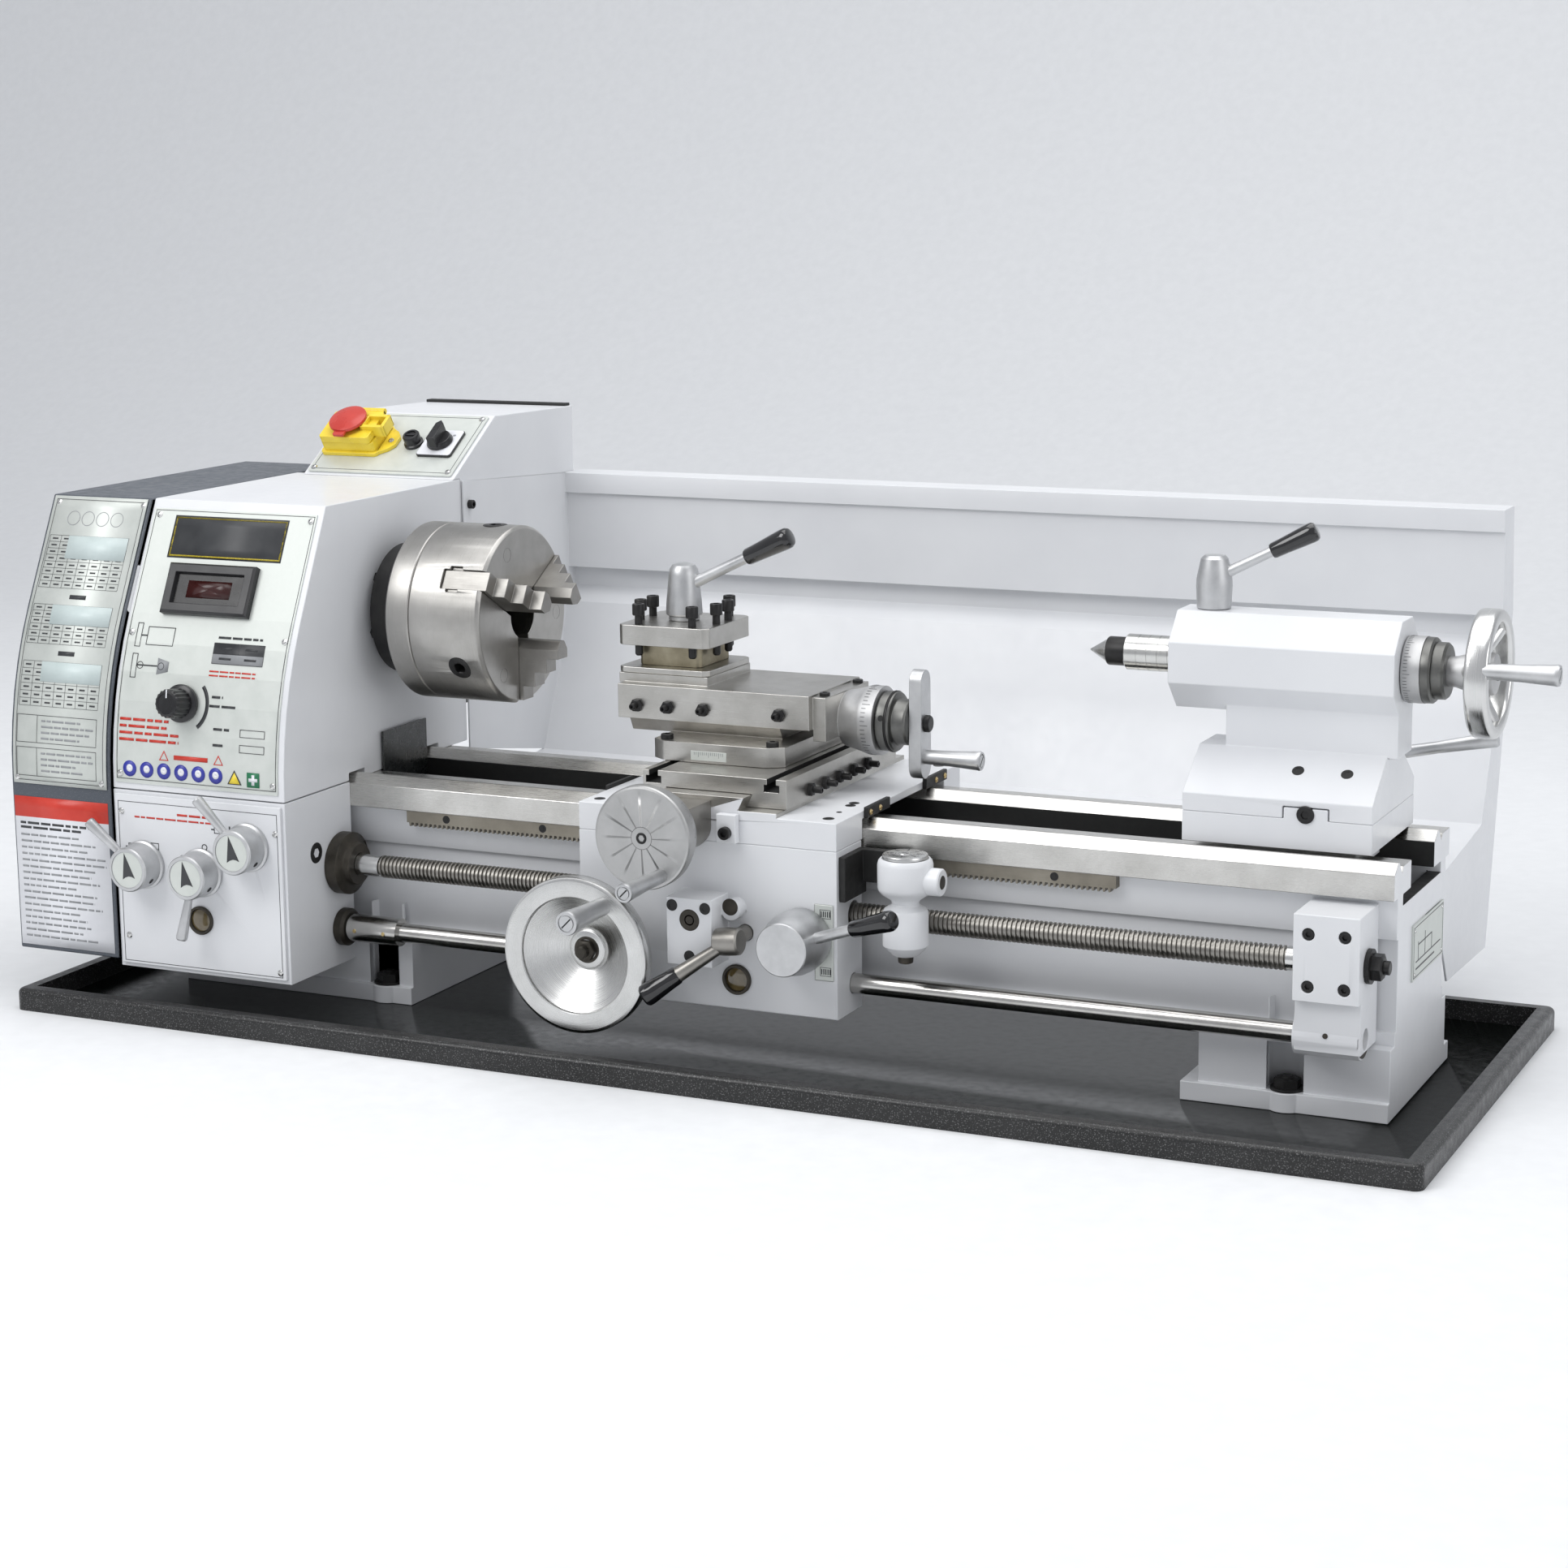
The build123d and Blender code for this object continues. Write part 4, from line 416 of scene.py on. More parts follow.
class Shape:
    """Surfaces gathered as arrays of bed-frame points, made into one object at the end."""

    def __init__(self) -> None:
        """Start empty."""
        self.points: list[Array] = []
        self.faces: list[tuple[int, ...]] = []
        self.looks: list[int] = []
        self.count = 0

    def add(self, points: Array, faces: Sequence[Sequence[int]], look: int = 0) -> None:
        """Add points and the faces that join them."""
        self.points.append(np.asarray(points, float).reshape(-1, 3))
        self.faces.extend(tuple(int(i) + self.count for i in face) for face in faces)
        self.looks.extend([look] * len(faces))
        self.count += len(self.points[-1])

    def grid(self, surface: Array, wrap: bool = True, look: int = 0) -> None:
        """Add a two-parameter surface: rows by columns of points, columns closed if wrap is set."""
        rows, columns = surface.shape[:2]
        i, j = np.meshgrid(np.arange(rows - 1), np.arange(columns if wrap else columns - 1), indexing="ij")
        k = (j + 1) % columns
        quads = np.stack([i * columns + j, i * columns + k, (i + 1) * columns + k, (i + 1) * columns + j], -1)
        self.add(surface, quads.reshape(-1, 4).tolist(), look)

    def turned(self, rows: Sequence[Sequence[float]], origin: Point, direction: Point,
               look: int = 0, segments: int = 48) -> "Shape":
        """Carry a profile round an axis; one that does not reach the axis at either end is closed.

        P(row, t) = origin + height n + radius k(t) (cos t a + sin t b), where k is 1 on a round
        row, and 1 / cos(t mod 60 degrees - 30 degrees) on a six-sided one.

        Args:
            rows: (radius, height) or (radius, height, HEX), in order along the profile.
            origin: where height is 0.
            direction: the axis.
            look: the number of the finish.
            segments: the points round the axis, a multiple of six.

        Returns:
            This shape.
        """
        a, b, n = triad(direction)
        table = np.array([(row[0], row[1], row[2] if len(row) > 2 else ROUND) for row in rows], float)
        if table[0, 0] > 0 and table[-1, 0] > 0:
            table = np.concatenate([table, table[:1]])
        t = np.linspace(0, 2 * np.pi, segments, endpoint=False)
        hexed = 1 / np.cos(np.mod(t, np.pi / 3) - np.pi / 6)
        k = np.where(table[:, 2:3] == HEX, hexed[None, :], 1.0)
        ring = np.cos(t)[:, None] * a + np.sin(t)[:, None] * b
        surface = np.asarray(origin, float) + table[:, 1][:, None, None] * n \
            + (table[:, 0:1] * k)[:, :, None] * ring[None, :, :]
        self.grid(surface, True, look)
        return self

    def prism(self, outline: Sequence[Point], origin: Point, u: Point, v: Point, depth: float,
              look: int = 0) -> "Shape":
        """Push a closed outline along the normal of its plane.

        P = origin + p u + q v + h (u x v), with h 0 at one end and depth at the other.

        Args:
            outline: (p, q) points in order.
            origin: the plane's origin.
            u: the plane's first unit vector.
            v: the plane's second unit vector.
            depth: how far it is pushed.
            look: the number of the finish.

        Returns:
            This shape.
        """
        u, v = np.asarray(u, float), np.asarray(v, float)
        flat = np.asarray(outline, float)
        base = np.asarray(origin, float) + flat[:, 0:1] * u + flat[:, 1:2] * v
        top = base + depth * np.cross(u, v)
        count = len(flat)
        ring = np.arange(count)
        after = (ring + 1) % count
        sides = np.stack([ring, after, after + count, ring + count], -1).tolist()
        caps = [ring[::-1].tolist(), (ring + count).tolist()]
        self.add(np.concatenate([base, top]), sides + caps, look)
        return self

    def block(self, x0: float, x1: float, y0: float, y1: float, z0: float, z1: float,
              look: int = 0) -> "Shape":
        """A box between two corners."""
        return self.prism([(x0, y0), (x1, y0), (x1, y1), (x0, y1)], (0, 0, z0), RIGHT, REAR, z1 - z0, look)

    def capsule(self, start: Point, end: Point, rows: Sequence[Sequence[float]], look: int = 0,
                segments: int = 36) -> "Shape":
        """A turned bar between two points, its rows given as (radius, share of the length)."""
        line = np.asarray(end, float) - np.asarray(start, float)
        length = float(np.linalg.norm(line))
        scaled = [(row[0], row[1] * length) for row in rows]
        return self.turned(scaled, start, line, look, segments)

    def build(self, name: str, body: str, slot: str, looks: Sequence[Look], bevel: float = 0.0,
              replaces: Sequence[str] = (), sheet: float = 0.0, sharp: float = 32.0) -> bpy.types.Object:
        """Make the object, in place in the row frame.

        Args:
            name: the piece's name.
            body: the body it rides on.
            slot: the record's material slot; not used.
            looks: its finishes, in the order of their numbers.
            bevel: the width of its rounded edges, or 0.
            replaces: the CAD nodes it stands for.
            sheet: a thickness for an open surface, or 0.
            sharp: the angle past which an edge stays crisp, in degrees.

        Returns:
            The object.
        """
        mesh = bpy.data.meshes.new(name)
        mesh.from_pydata(to_row(np.concatenate(self.points)).tolist(), [], self.faces)
        mesh.polygons.foreach_set("material_index", np.array(self.looks, np.int32))
        work = bmesh.new()
        work.from_mesh(mesh)
        bmesh.ops.remove_doubles(work, verts=work.verts, dist=2e-6)
        if sheet == 0:
            bmesh.ops.recalc_face_normals(work, faces=work.faces)
        work.to_mesh(mesh)
        work.free()
        return finish_piece(mesh, name, body, looks, bevel, replaces, sheet, sharp)


def finish_piece(mesh: bpy.types.Mesh, name: str, body: str, looks: Sequence[Look],
                 bevel: float, replaces: Sequence[str], sheet: float = 0.0,
                 sharp: float = 32.0) -> bpy.types.Object:
    """Wrap a mesh in an object with its finishes, its rounded edges and its place in the frame."""
    for look in looks:
        mesh.materials.append(look.material())
    mesh.shade_smooth()
    mesh.set_sharp_from_angle(angle=math.radians(sharp))
    piece = bpy.data.objects.new(name, mesh)
    bpy.context.scene.collection.objects.link(piece)
    if sheet > 0:
        solidify = piece.modifiers.new("Thickness", "SOLIDIFY")
        solidify.thickness = sheet * MM
        solidify.offset = -1.0
    if bevel > 0:
        rounding = piece.modifiers.new("Rounded edges", "BEVEL")
        rounding.width = bevel * MM
        rounding.segments = 2
        rounding.limit_method = "ANGLE"
        rounding.angle_limit = math.radians(sharp)
        rounding.use_clamp_overlap = False
        rounding.harden_normals = True
        rounding.miter_outer = "MITER_ARC"
    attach(piece, body)
    if replaces:
        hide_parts(*replaces)
    LOG.info("piece %s on %s", name, body)
    return piece


def islands(work: bmesh.types.BMesh) -> Array:
    """Number each face by the connected shell it belongs to."""
    label = -np.ones(len(work.faces), int)
    work.faces.ensure_lookup_table()
    current = 0
    for seed in work.faces:
        if label[seed.index] >= 0:
            continue
        stack = [seed]
        label[seed.index] = current
        while stack:
            for edge in stack.pop().edges:
                for face in edge.link_faces:
                    if label[face.index] < 0:
                        label[face.index] = current
                        stack.append(face)
        current += 1
    return label


def softened(node: str, name: str, looks: Sequence[Look], rule: Optional[Rule] = None,
             bevel: float = 0.6, sharp: float = 32.0) -> bpy.types.Object:
    """A merged copy of a CAD node with rounded edges, which stands for it.

    Args:
        node: the CAD node.
        name: the new piece's name.
        looks: its finishes.
        rule: given each face's centre, normal, and its shell's lowest and highest corners, returns
            the number of its finish, or -1 to leave that shell out.
        bevel: the width of the rounded edges.
        sharp: the angle past which an edge is rounded, in degrees.

    Returns:
        The object.
    """
    source = frame["nodes"][node]
    mesh = bpy.data.meshes.new(name)
    work = bmesh.new()
    work.from_mesh(source.data)
    bmesh.ops.remove_doubles(work, verts=work.verts, dist=3e-6)
    bmesh.ops.dissolve_limit(work, angle_limit=math.radians(0.4), verts=work.verts, edges=work.edges)
    work.faces.ensure_lookup_table()
    for face in work.faces:
        face.material_index = 0
    if rule is not None:
        work.faces.index_update()
        label = islands(work)
        centres = to_bed(np.array([face.calc_center_median()[:] for face in work.faces]))
        normals = np.array([face.normal[:] for face in work.faces])
        low, high = np.zeros_like(centres), np.zeros_like(centres)
        for shell in range(label.max() + 1):
            chosen = np.flatnonzero(label == shell)
            corners = to_bed(np.array([v.co[:] for i in chosen for v in work.faces[i].verts]))
            low[chosen], high[chosen] = corners.min(0), corners.max(0)
        numbers = rule(centres, normals, low, high)
        for face, number in zip(work.faces, numbers):
            face.material_index = max(int(number), 0)
        dropped = [face for face, number in zip(work.faces, numbers) if number < 0]
        bmesh.ops.delete(work, geom=dropped, context="FACES")
    work.to_mesh(mesh)
    work.free()
    body = source["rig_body"]
    return finish_piece(mesh, name, body, looks, bevel, [node], 0.0, sharp)


def dress(node: str, look: Look) -> None:
    """Give a CAD node a finish."""
    piece = frame["nodes"][node]
    for slot in piece.material_slots:
        slot.material = look.material()
    LOG.info("dressed %s", node)


def cap_screw(shape: Shape, origin: Point, direction: Point, radius: float, height: float,
              look: int = 0) -> None:
    """Add a socket cap screw's head: a knurled cylinder with a six-sided socket."""
    socket = radius * 0.5
    shape.turned([(0, height * 0.4), (socket, height * 0.4, HEX), (socket, height, HEX),
                  (radius - 0.5, height), (radius, height - 0.5), (radius, 0), (0, 0)],
                 origin, direction, look, 36)


def hex_nut(shape: Shape, origin: Point, direction: Point, apothem: float, height: float,
            look: int = 0) -> None:
    """Add a chamfered hexagon nut or bolt head."""
    shape.turned([(0, height), (apothem * 0.86, height), (apothem * 1.02, height - apothem * 0.12, HEX),
                  (apothem * 1.02, 0, HEX), (0, 0)], origin, direction, look, 36)


def dome_screw(shape: Shape, origin: Point, direction: Point, radius: float, look: int = 0) -> None:
    """Add a small dome-head screw with a sunk cross."""
    shape.turned([(0, radius * 0.34), (radius * 0.32, radius * 0.30), (radius * 0.34, radius * 0.55),
                  (radius * 0.75, radius * 0.42), (radius, radius * 0.1), (radius, -0.4), (0, -0.4)],
                 origin, direction, look, 24)


def grip_rows(radius: float) -> list[tuple[float, float]]:
    """The profile of a hand grip: narrow at its root and fuller at its end."""
    return [(0, 0), (radius * 0.72, 0), (radius * 0.80, 0.04), (radius * 0.84, 0.3), (radius * 0.95, 0.65),
            (radius, 0.86), (radius * 0.97, 0.94), (radius * 0.82, 0.985), (radius * 0.6, 1.0), (0, 1.0)]


def crank_handle(shape: Shape, start: Point, end: Point, radius: float, look: int, dark: int) -> None:
    """Add a turned handle with a ring, and a screwdriver slot in its end drawn as a near-black bar of painted
    shade.
    """
    shape.capsule(start, end, [(0, 0), (radius * 0.72, 0), (radius * 0.74, 0.05), (radius * 0.8, 0.5),
                               (radius * 0.97, 0.93), (radius, 0.97), (radius * 0.93, 0.998),
                               (radius * 0.72, 1.0), (radius * 0.70, 0.985), (radius * 0.62, 0.985),
                               (radius * 0.60, 1.0), (0, 1.0)], look)
    a, b, n = triad(np.asarray(end, float) - np.asarray(start, float))
    slot = radius * 0.56
    line = (a + b) / math.sqrt(2)
    side = np.cross(n, line)
    # The slot is a thin near-black bar standing a little proud of the end: painted shade, not a cut.
    shape.prism([(-slot, -0.6), (slot, -0.6), (slot, 0.6), (-slot, 0.6)],
                np.asarray(end, float) - 0.3 * n, line, side, 0.35, dark)


def ring_marks(shape: Shape, centre: Point, direction: Point, radius: float, count: int, short: float,
               long: float, width: float, look: int = 0) -> None:
    """Add a dial's graduations: thin bars along the axis, evenly round a cylinder.

    Args:
        shape: where they go.
        centre: the bars' start on the axis.
        direction: the axis, and the way they run.
        radius: the cylinder's radius.
        count: the number of marks.
        short: the length of a plain mark.
        long: the length of every fifth mark.
        width: their width.
        look: the number of the finish.
    """
    a, b, n = triad(direction)
    for step in range(count):
        t = 2 * math.pi * step / count
        out = math.cos(t) * a + math.sin(t) * b
        side = np.cross(out, n)
        length = long if step % 5 == 0 else short
        at = np.asarray(centre, float) + out * (radius - 0.12)
        bar = [(0, -width / 2), (length, -width / 2), (length, width / 2), (0, width / 2)]
        shape.prism(bar, at, n, side, 0.2, look)


# ---- Assemblies ---------------------------------------------------------------------------


@dataclass
class ChipTray:
    """The sheet tray under the whole machine."""

    floor_top: float = -202.0

    def zones(self, centre: Array, normal: Array, low: Array, high: Array) -> Array:
        """Glossy black on the floor, speckled enamel on the rim."""
        return np.where((normal[:, 2] > 0.9) & (centre[:, 2] < self.floor_top), 0, 1)

    def build(self) -> None:
        """Dress the tray."""
        softened("chip_tray", "tray_pan", [Finish.TRAY, Finish.TRAY_RIM], self.zones, 0.0)


@dataclass
class Bed:
    """The bed casting with ground ways, its rack, bolts and end plate."""

    inner: float = 38.0
    way_under: float = -29.05
    shaded_channel_low: float = -95.0
    rack_left: float = 57.0
    rack_right: float = 726.0
    rack_joint: float = 236.0
    rack_top: float = -29.0
    rack_low: float = -40.0
    rack_face: float = -87.0
    rack_back: float = -78.2
    tooth_pitch: float = 4.712
    tooth_depth: float = 3.4
    sole: float = -192.0
    bolt_x: tuple[float, float] = (30.0, 870.0)
    bolt_y: tuple[float, float] = (-82.0, 82.0)
    plate_face: float = 955.8
    pocket_radius: float = 16.6
    pocket_height: float = 74.0

    def zones(self, centre: Array, normal: Array, low: Array, high: Array) -> Array:
        """Ground steel on the ways and their sides, near-black painted shade in the channel between them, and
        white elsewhere.
        """
        zone = np.zeros(len(centre), int)
        # The faces inside the channel between the ways take near-black painted shade.
        shaded_channel = (np.abs(centre[:, 1]) < self.inner + 0.4) & (centre[:, 2] > self.shaded_channel_low)
        zone[shaded_channel & (np.abs(normal[:, 0]) < 0.9)] = 2
        zone[(centre[:, 2] > self.way_under + 0.2) & (np.abs(centre[:, 1]) > self.inner + 0.4)] = 1
        return zone

    def teeth(self) -> None:
        """The rack: a bar with a sawtooth lower edge, in two lengths."""
        shape = Shape()
        gap = 0.3
        for left, right in (
                (self.rack_left, self.rack_joint - gap), (self.rack_joint + gap, self.rack_right)):
            count = int((right - left) / self.tooth_pitch)
            start = left + (right - left - count * self.tooth_pitch) / 2
            step = start + self.tooth_pitch * np.arange(count)
            x = (step[:, None] + self.tooth_pitch * np.array([0.0, 0.12, 0.38, 0.5, 1.0])[None, :]).ravel()
            z = np.tile(np.array([0.0, -1.0, -1.0, 0.0, 0.0]) * self.tooth_depth + self.rack_low, count)
            ends = [(right, self.rack_low), (right, self.rack_top)]
            outline = [(left, self.rack_top), (left, self.rack_low), *zip(x, z), *ends]
            shape.prism(outline, (0, self.rack_back, 0), RIGHT, UP, self.rack_back - self.rack_face)
        shape.build("rack_bar", "frame", "ground_steel", [Finish.RACK], 0.0, ["rack"])
        screws = Shape()
        for x in (98.0, 196.0, 300.0, 420.0, 560.0, 673.0):
            screws.turned([(0, 0.2), (3.6, 0.2), (3.6, -0.4), (4.4, -0.4), (4.4, -1.5), (0, -1.5)],
                          (x, self.rack_face, -34.5), FRONT, 0, 24)
            # Each head carries a near-black hexagon standing for its socket: painted shade.
            screws.turned([(0, 0.5), (1.6, 0.5, HEX), (1.6, 0.1, HEX), (0, 0.1)],
                          (x, self.rack_face, -34.5), FRONT, 1, 12)
        screws.build("rack_screws", "frame", "black_oxide", [Finish.OXIDE, Finish.DARK_AND_PAINTED_SHADE])

    def bolts(self) -> None:
        """The four foot bolts on their washers, and the strip screw beside the headstock."""
        shape = Shape()
        for x in self.bolt_x:
            for y in self.bolt_y:
                at = np.array([x, y, self.sole])
                shape.turned([(6, 0), (14, 0), (14, 1.6), (13.5, 2), (6, 2)], at, UP)
                hex_nut(shape, at + (0, 0, 2), UP, 9.5, 8.0)
                shape.turned([(0, 11.5), (4.5, 11.5), (6, 10), (6, -17.5), (0, -17.5)], at, UP)
        cap_screw(shape, (2.5, 130, 220), RIGHT, 4.2, 5.0)
        shape.build("foot_bolts", "frame", "black_oxide", [Finish.OXIDE], 0.0, ["fasteners"])

    def pockets(self) -> None:
        """Half-round linings behind the foot bolts, closing the legs' clearance holes."""
        shape = Shape()
        for x in self.bolt_x:
            for y in self.bolt_y:
                inward = -1.0 if y > 0 else 1.0
                t = np.linspace(0, np.pi, 19)
                z = np.array([self.sole + 0.3, self.sole + self.pocket_height])
                ring = np.stack(
                    [x + self.pocket_radius * np.cos(t), y + inward * self.pocket_radius * np.sin(t)], -1)
                wall = np.concatenate([np.repeat(ring[None], 2, 0), np.repeat(z[:, None, None], 19, 1)], -1)
                shape.grid(wall, False)
        shape.build("bolt_pockets", "frame", "white_paint", [Finish.WHITE], 0.0, (), 0.8)

    def end_plate(self) -> None:
        """The data plate on the bed's right end, with its border and a line drawing."""
        x, left, right, low, high = self.plate_face, -32.0, 68.0, -108.0, -62.0
        Shape().block(
            x - 1.0, x + 0.9, left, right, low, high
        ).build("end_plate", "frame", "label_plate", [Finish.LABEL], 0.3)
        ink = Shape()
        for y0, y1, z0, z1 in (
                (left + 2, right - 2, high - 2.6, high - 2), (left + 2, right - 2, low + 2, low + 2.6),
                (left + 2, left + 2.6, low + 2, high - 2), (right - 2.6, right - 2, low + 2, high - 2),
                (left + 9, right - 10, low + 14, low + 15), (left + 16, left + 17, low + 15, low + 30),
                (left + 38, left + 39, low + 15, low + 34), (left + 60, left + 61, low + 15, low + 28),
                (left + 16, left + 61, low + 27, low + 28), (left + 9, right - 30, low + 8, low + 9.4)):
            ink.block(x + 0.85, x + 1.05, y0, y1, z0, z1)
        ink.build("end_plate_print", "frame", "label_plate", [Finish.INK])
        rivets = Shape()
        for y in (left + 5, right - 5):
            for z in (low + 5, high - 5):
                dome_screw(rivets, (x + 0.9, y, z), RIGHT, 1.6)
        rivets.build("end_plate_rivets", "frame", "turned_steel", [Finish.CHROME])

    def build(self) -> None:
        """Build the bed's pieces."""
        self.end_plate()
        self.pockets()
        softened(
            "bed", "bed_casting", [Finish.WHITE, Finish.WAY, Finish.DARK_AND_PAINTED_SHADE], self.zones, 0.8)
        self.teeth()
        self.bolts()


@dataclass
class FrontSkin:
    """The headstock's curved front: flat below the seam, then an arc, then a straight slope."""

    offset: float = 195.0
    seam: float = -6.0
    radius: float = 350.0
    sweep: float = math.radians(26.0)

    def at(self, x: Array, s: Array, lift: float) -> Array:
        """Points on the front, by distance s up the skin from the seam.

        Args:
            x: along the lathe.
            s: up the skin, 0 at the seam.
            lift: how far in front of the casting.

        Returns:
            The points, in the bed frame.
        """
        x, s = np.broadcast_arrays(np.asarray(x, float), np.asarray(s, float))
        angle = np.clip(s / self.radius, 0.0, self.sweep)
        past = s - angle * self.radius
        reach = self.radius + lift
        below = np.minimum(past, 0.0)
        above = np.maximum(past, 0.0)
        y = self.radius - self.offset - reach * np.cos(angle) + above * math.sin(self.sweep)
        z = self.seam + reach * np.sin(angle) + above * math.cos(self.sweep) + below
        return np.stack([x, y, z], -1)

    def normal(self, s: float) -> Array:
        """The outward direction at a distance up the skin."""
        angle = min(max(s / self.radius, 0.0), self.sweep)
        return np.array([0.0, -math.cos(angle), math.sin(angle)])


@dataclass
class Printing:
    """Flat printed marks laid on the curved front, as thin sheets that follow it."""

    skin: FrontSkin
    lift: float
    shape: Shape

    def patch(self, x0: float, x1: float, s0: float, s1: float, look: int = 0) -> None:
        """A filled rectangle: a grid of points between two x and two s values."""
        rows = max(2, int(abs(s1 - s0) / 12) + 2)
        s = np.linspace(s0, s1, rows)[:, None]
        x = np.array([x0, x1])[None, :]
        self.shape.grid(self.skin.at(x, s, self.lift)[:, ::-1], False, look)

    def outline(self, x0: float, x1: float, s0: float, s1: float, width: float, look: int = 0) -> None:
        """A rectangle of ruled lines."""
        self.patch(x0, x1, s0, s0 + width, look)
        self.patch(x0, x1, s1 - width, s1, look)
        self.patch(x0, x0 + width, s0, s1, look)
        self.patch(x1 - width, x1, s0, s1, look)

    def disc(self, x: float, s: float, outer: float, inner: float = 0.01, look: int = 0,
             start: float = 0.0, end: float = 360.0, corners: int = 28) -> None:
        """A disc, ring, arc or polygon: a grid of angles by two radii."""
        t = np.radians(np.linspace(start, end, corners + 1))[None, :]
        r = np.array([inner, outer])[:, None]
        surface = self.skin.at(x + r * np.cos(t), s + r * np.sin(t), self.lift)
        self.shape.grid(surface[:, ::-1], False, look)

    def polygon(self, corners: Sequence[Point], look: int = 0) -> None:
        """A flat polygon given by (x, s) corners, clockwise."""
        flat = np.asarray(corners, float)
        points = self.skin.at(flat[:, 0], flat[:, 1], self.lift)
        self.shape.add(points, [list(range(len(points)))[::-1]], look)

    def table(self, x0: float, x1: float, s0: float, s1: float, rows: int, columns: int,
              width: float = 0.35, look: int = 0) -> None:
        """A ruled table with a short dash in each cell."""
        for row in range(rows + 1):
            s = s0 + (s1 - s0) * row / rows
            self.patch(x0, x1, s - width / 2, s + width / 2, look)
        for column in range(columns + 1):
            x = x0 + (x1 - x0) * column / columns
            self.patch(x - width / 2, x + width / 2, s0, s1, look)
        cell_x, cell_s = (x1 - x0) / columns, (s1 - s0) / rows
        for row in range(rows):
            for column in range(columns):
                x = x0 + cell_x * (column + 0.5)
                s = s0 + cell_s * (row + 0.5)
                self.patch(x - cell_x * 0.24, x + cell_x * 0.24, s - cell_s * 0.11, s + cell_s * 0.11, look)

    def ruled(self, x0: float, x1: float, s1: float, lines: int, pitch: float, height: float,
              look: int = 0, seed: int = 3) -> None:
        """Lines of short dashes of differing length, downwards from s1."""
        chance = np.random.default_rng(seed)
        for line in range(lines):
            x = x0
            stop = x0 + (x1 - x0) * chance.uniform(0.62, 1.0)
            s = s1 - pitch * line
            while x < stop:
                dash = min(chance.uniform(2.4, 7.5) * height, stop - x)
                self.patch(x, x + dash, s - height / 2, s + height / 2, look)
                x += dash + height * 0.9


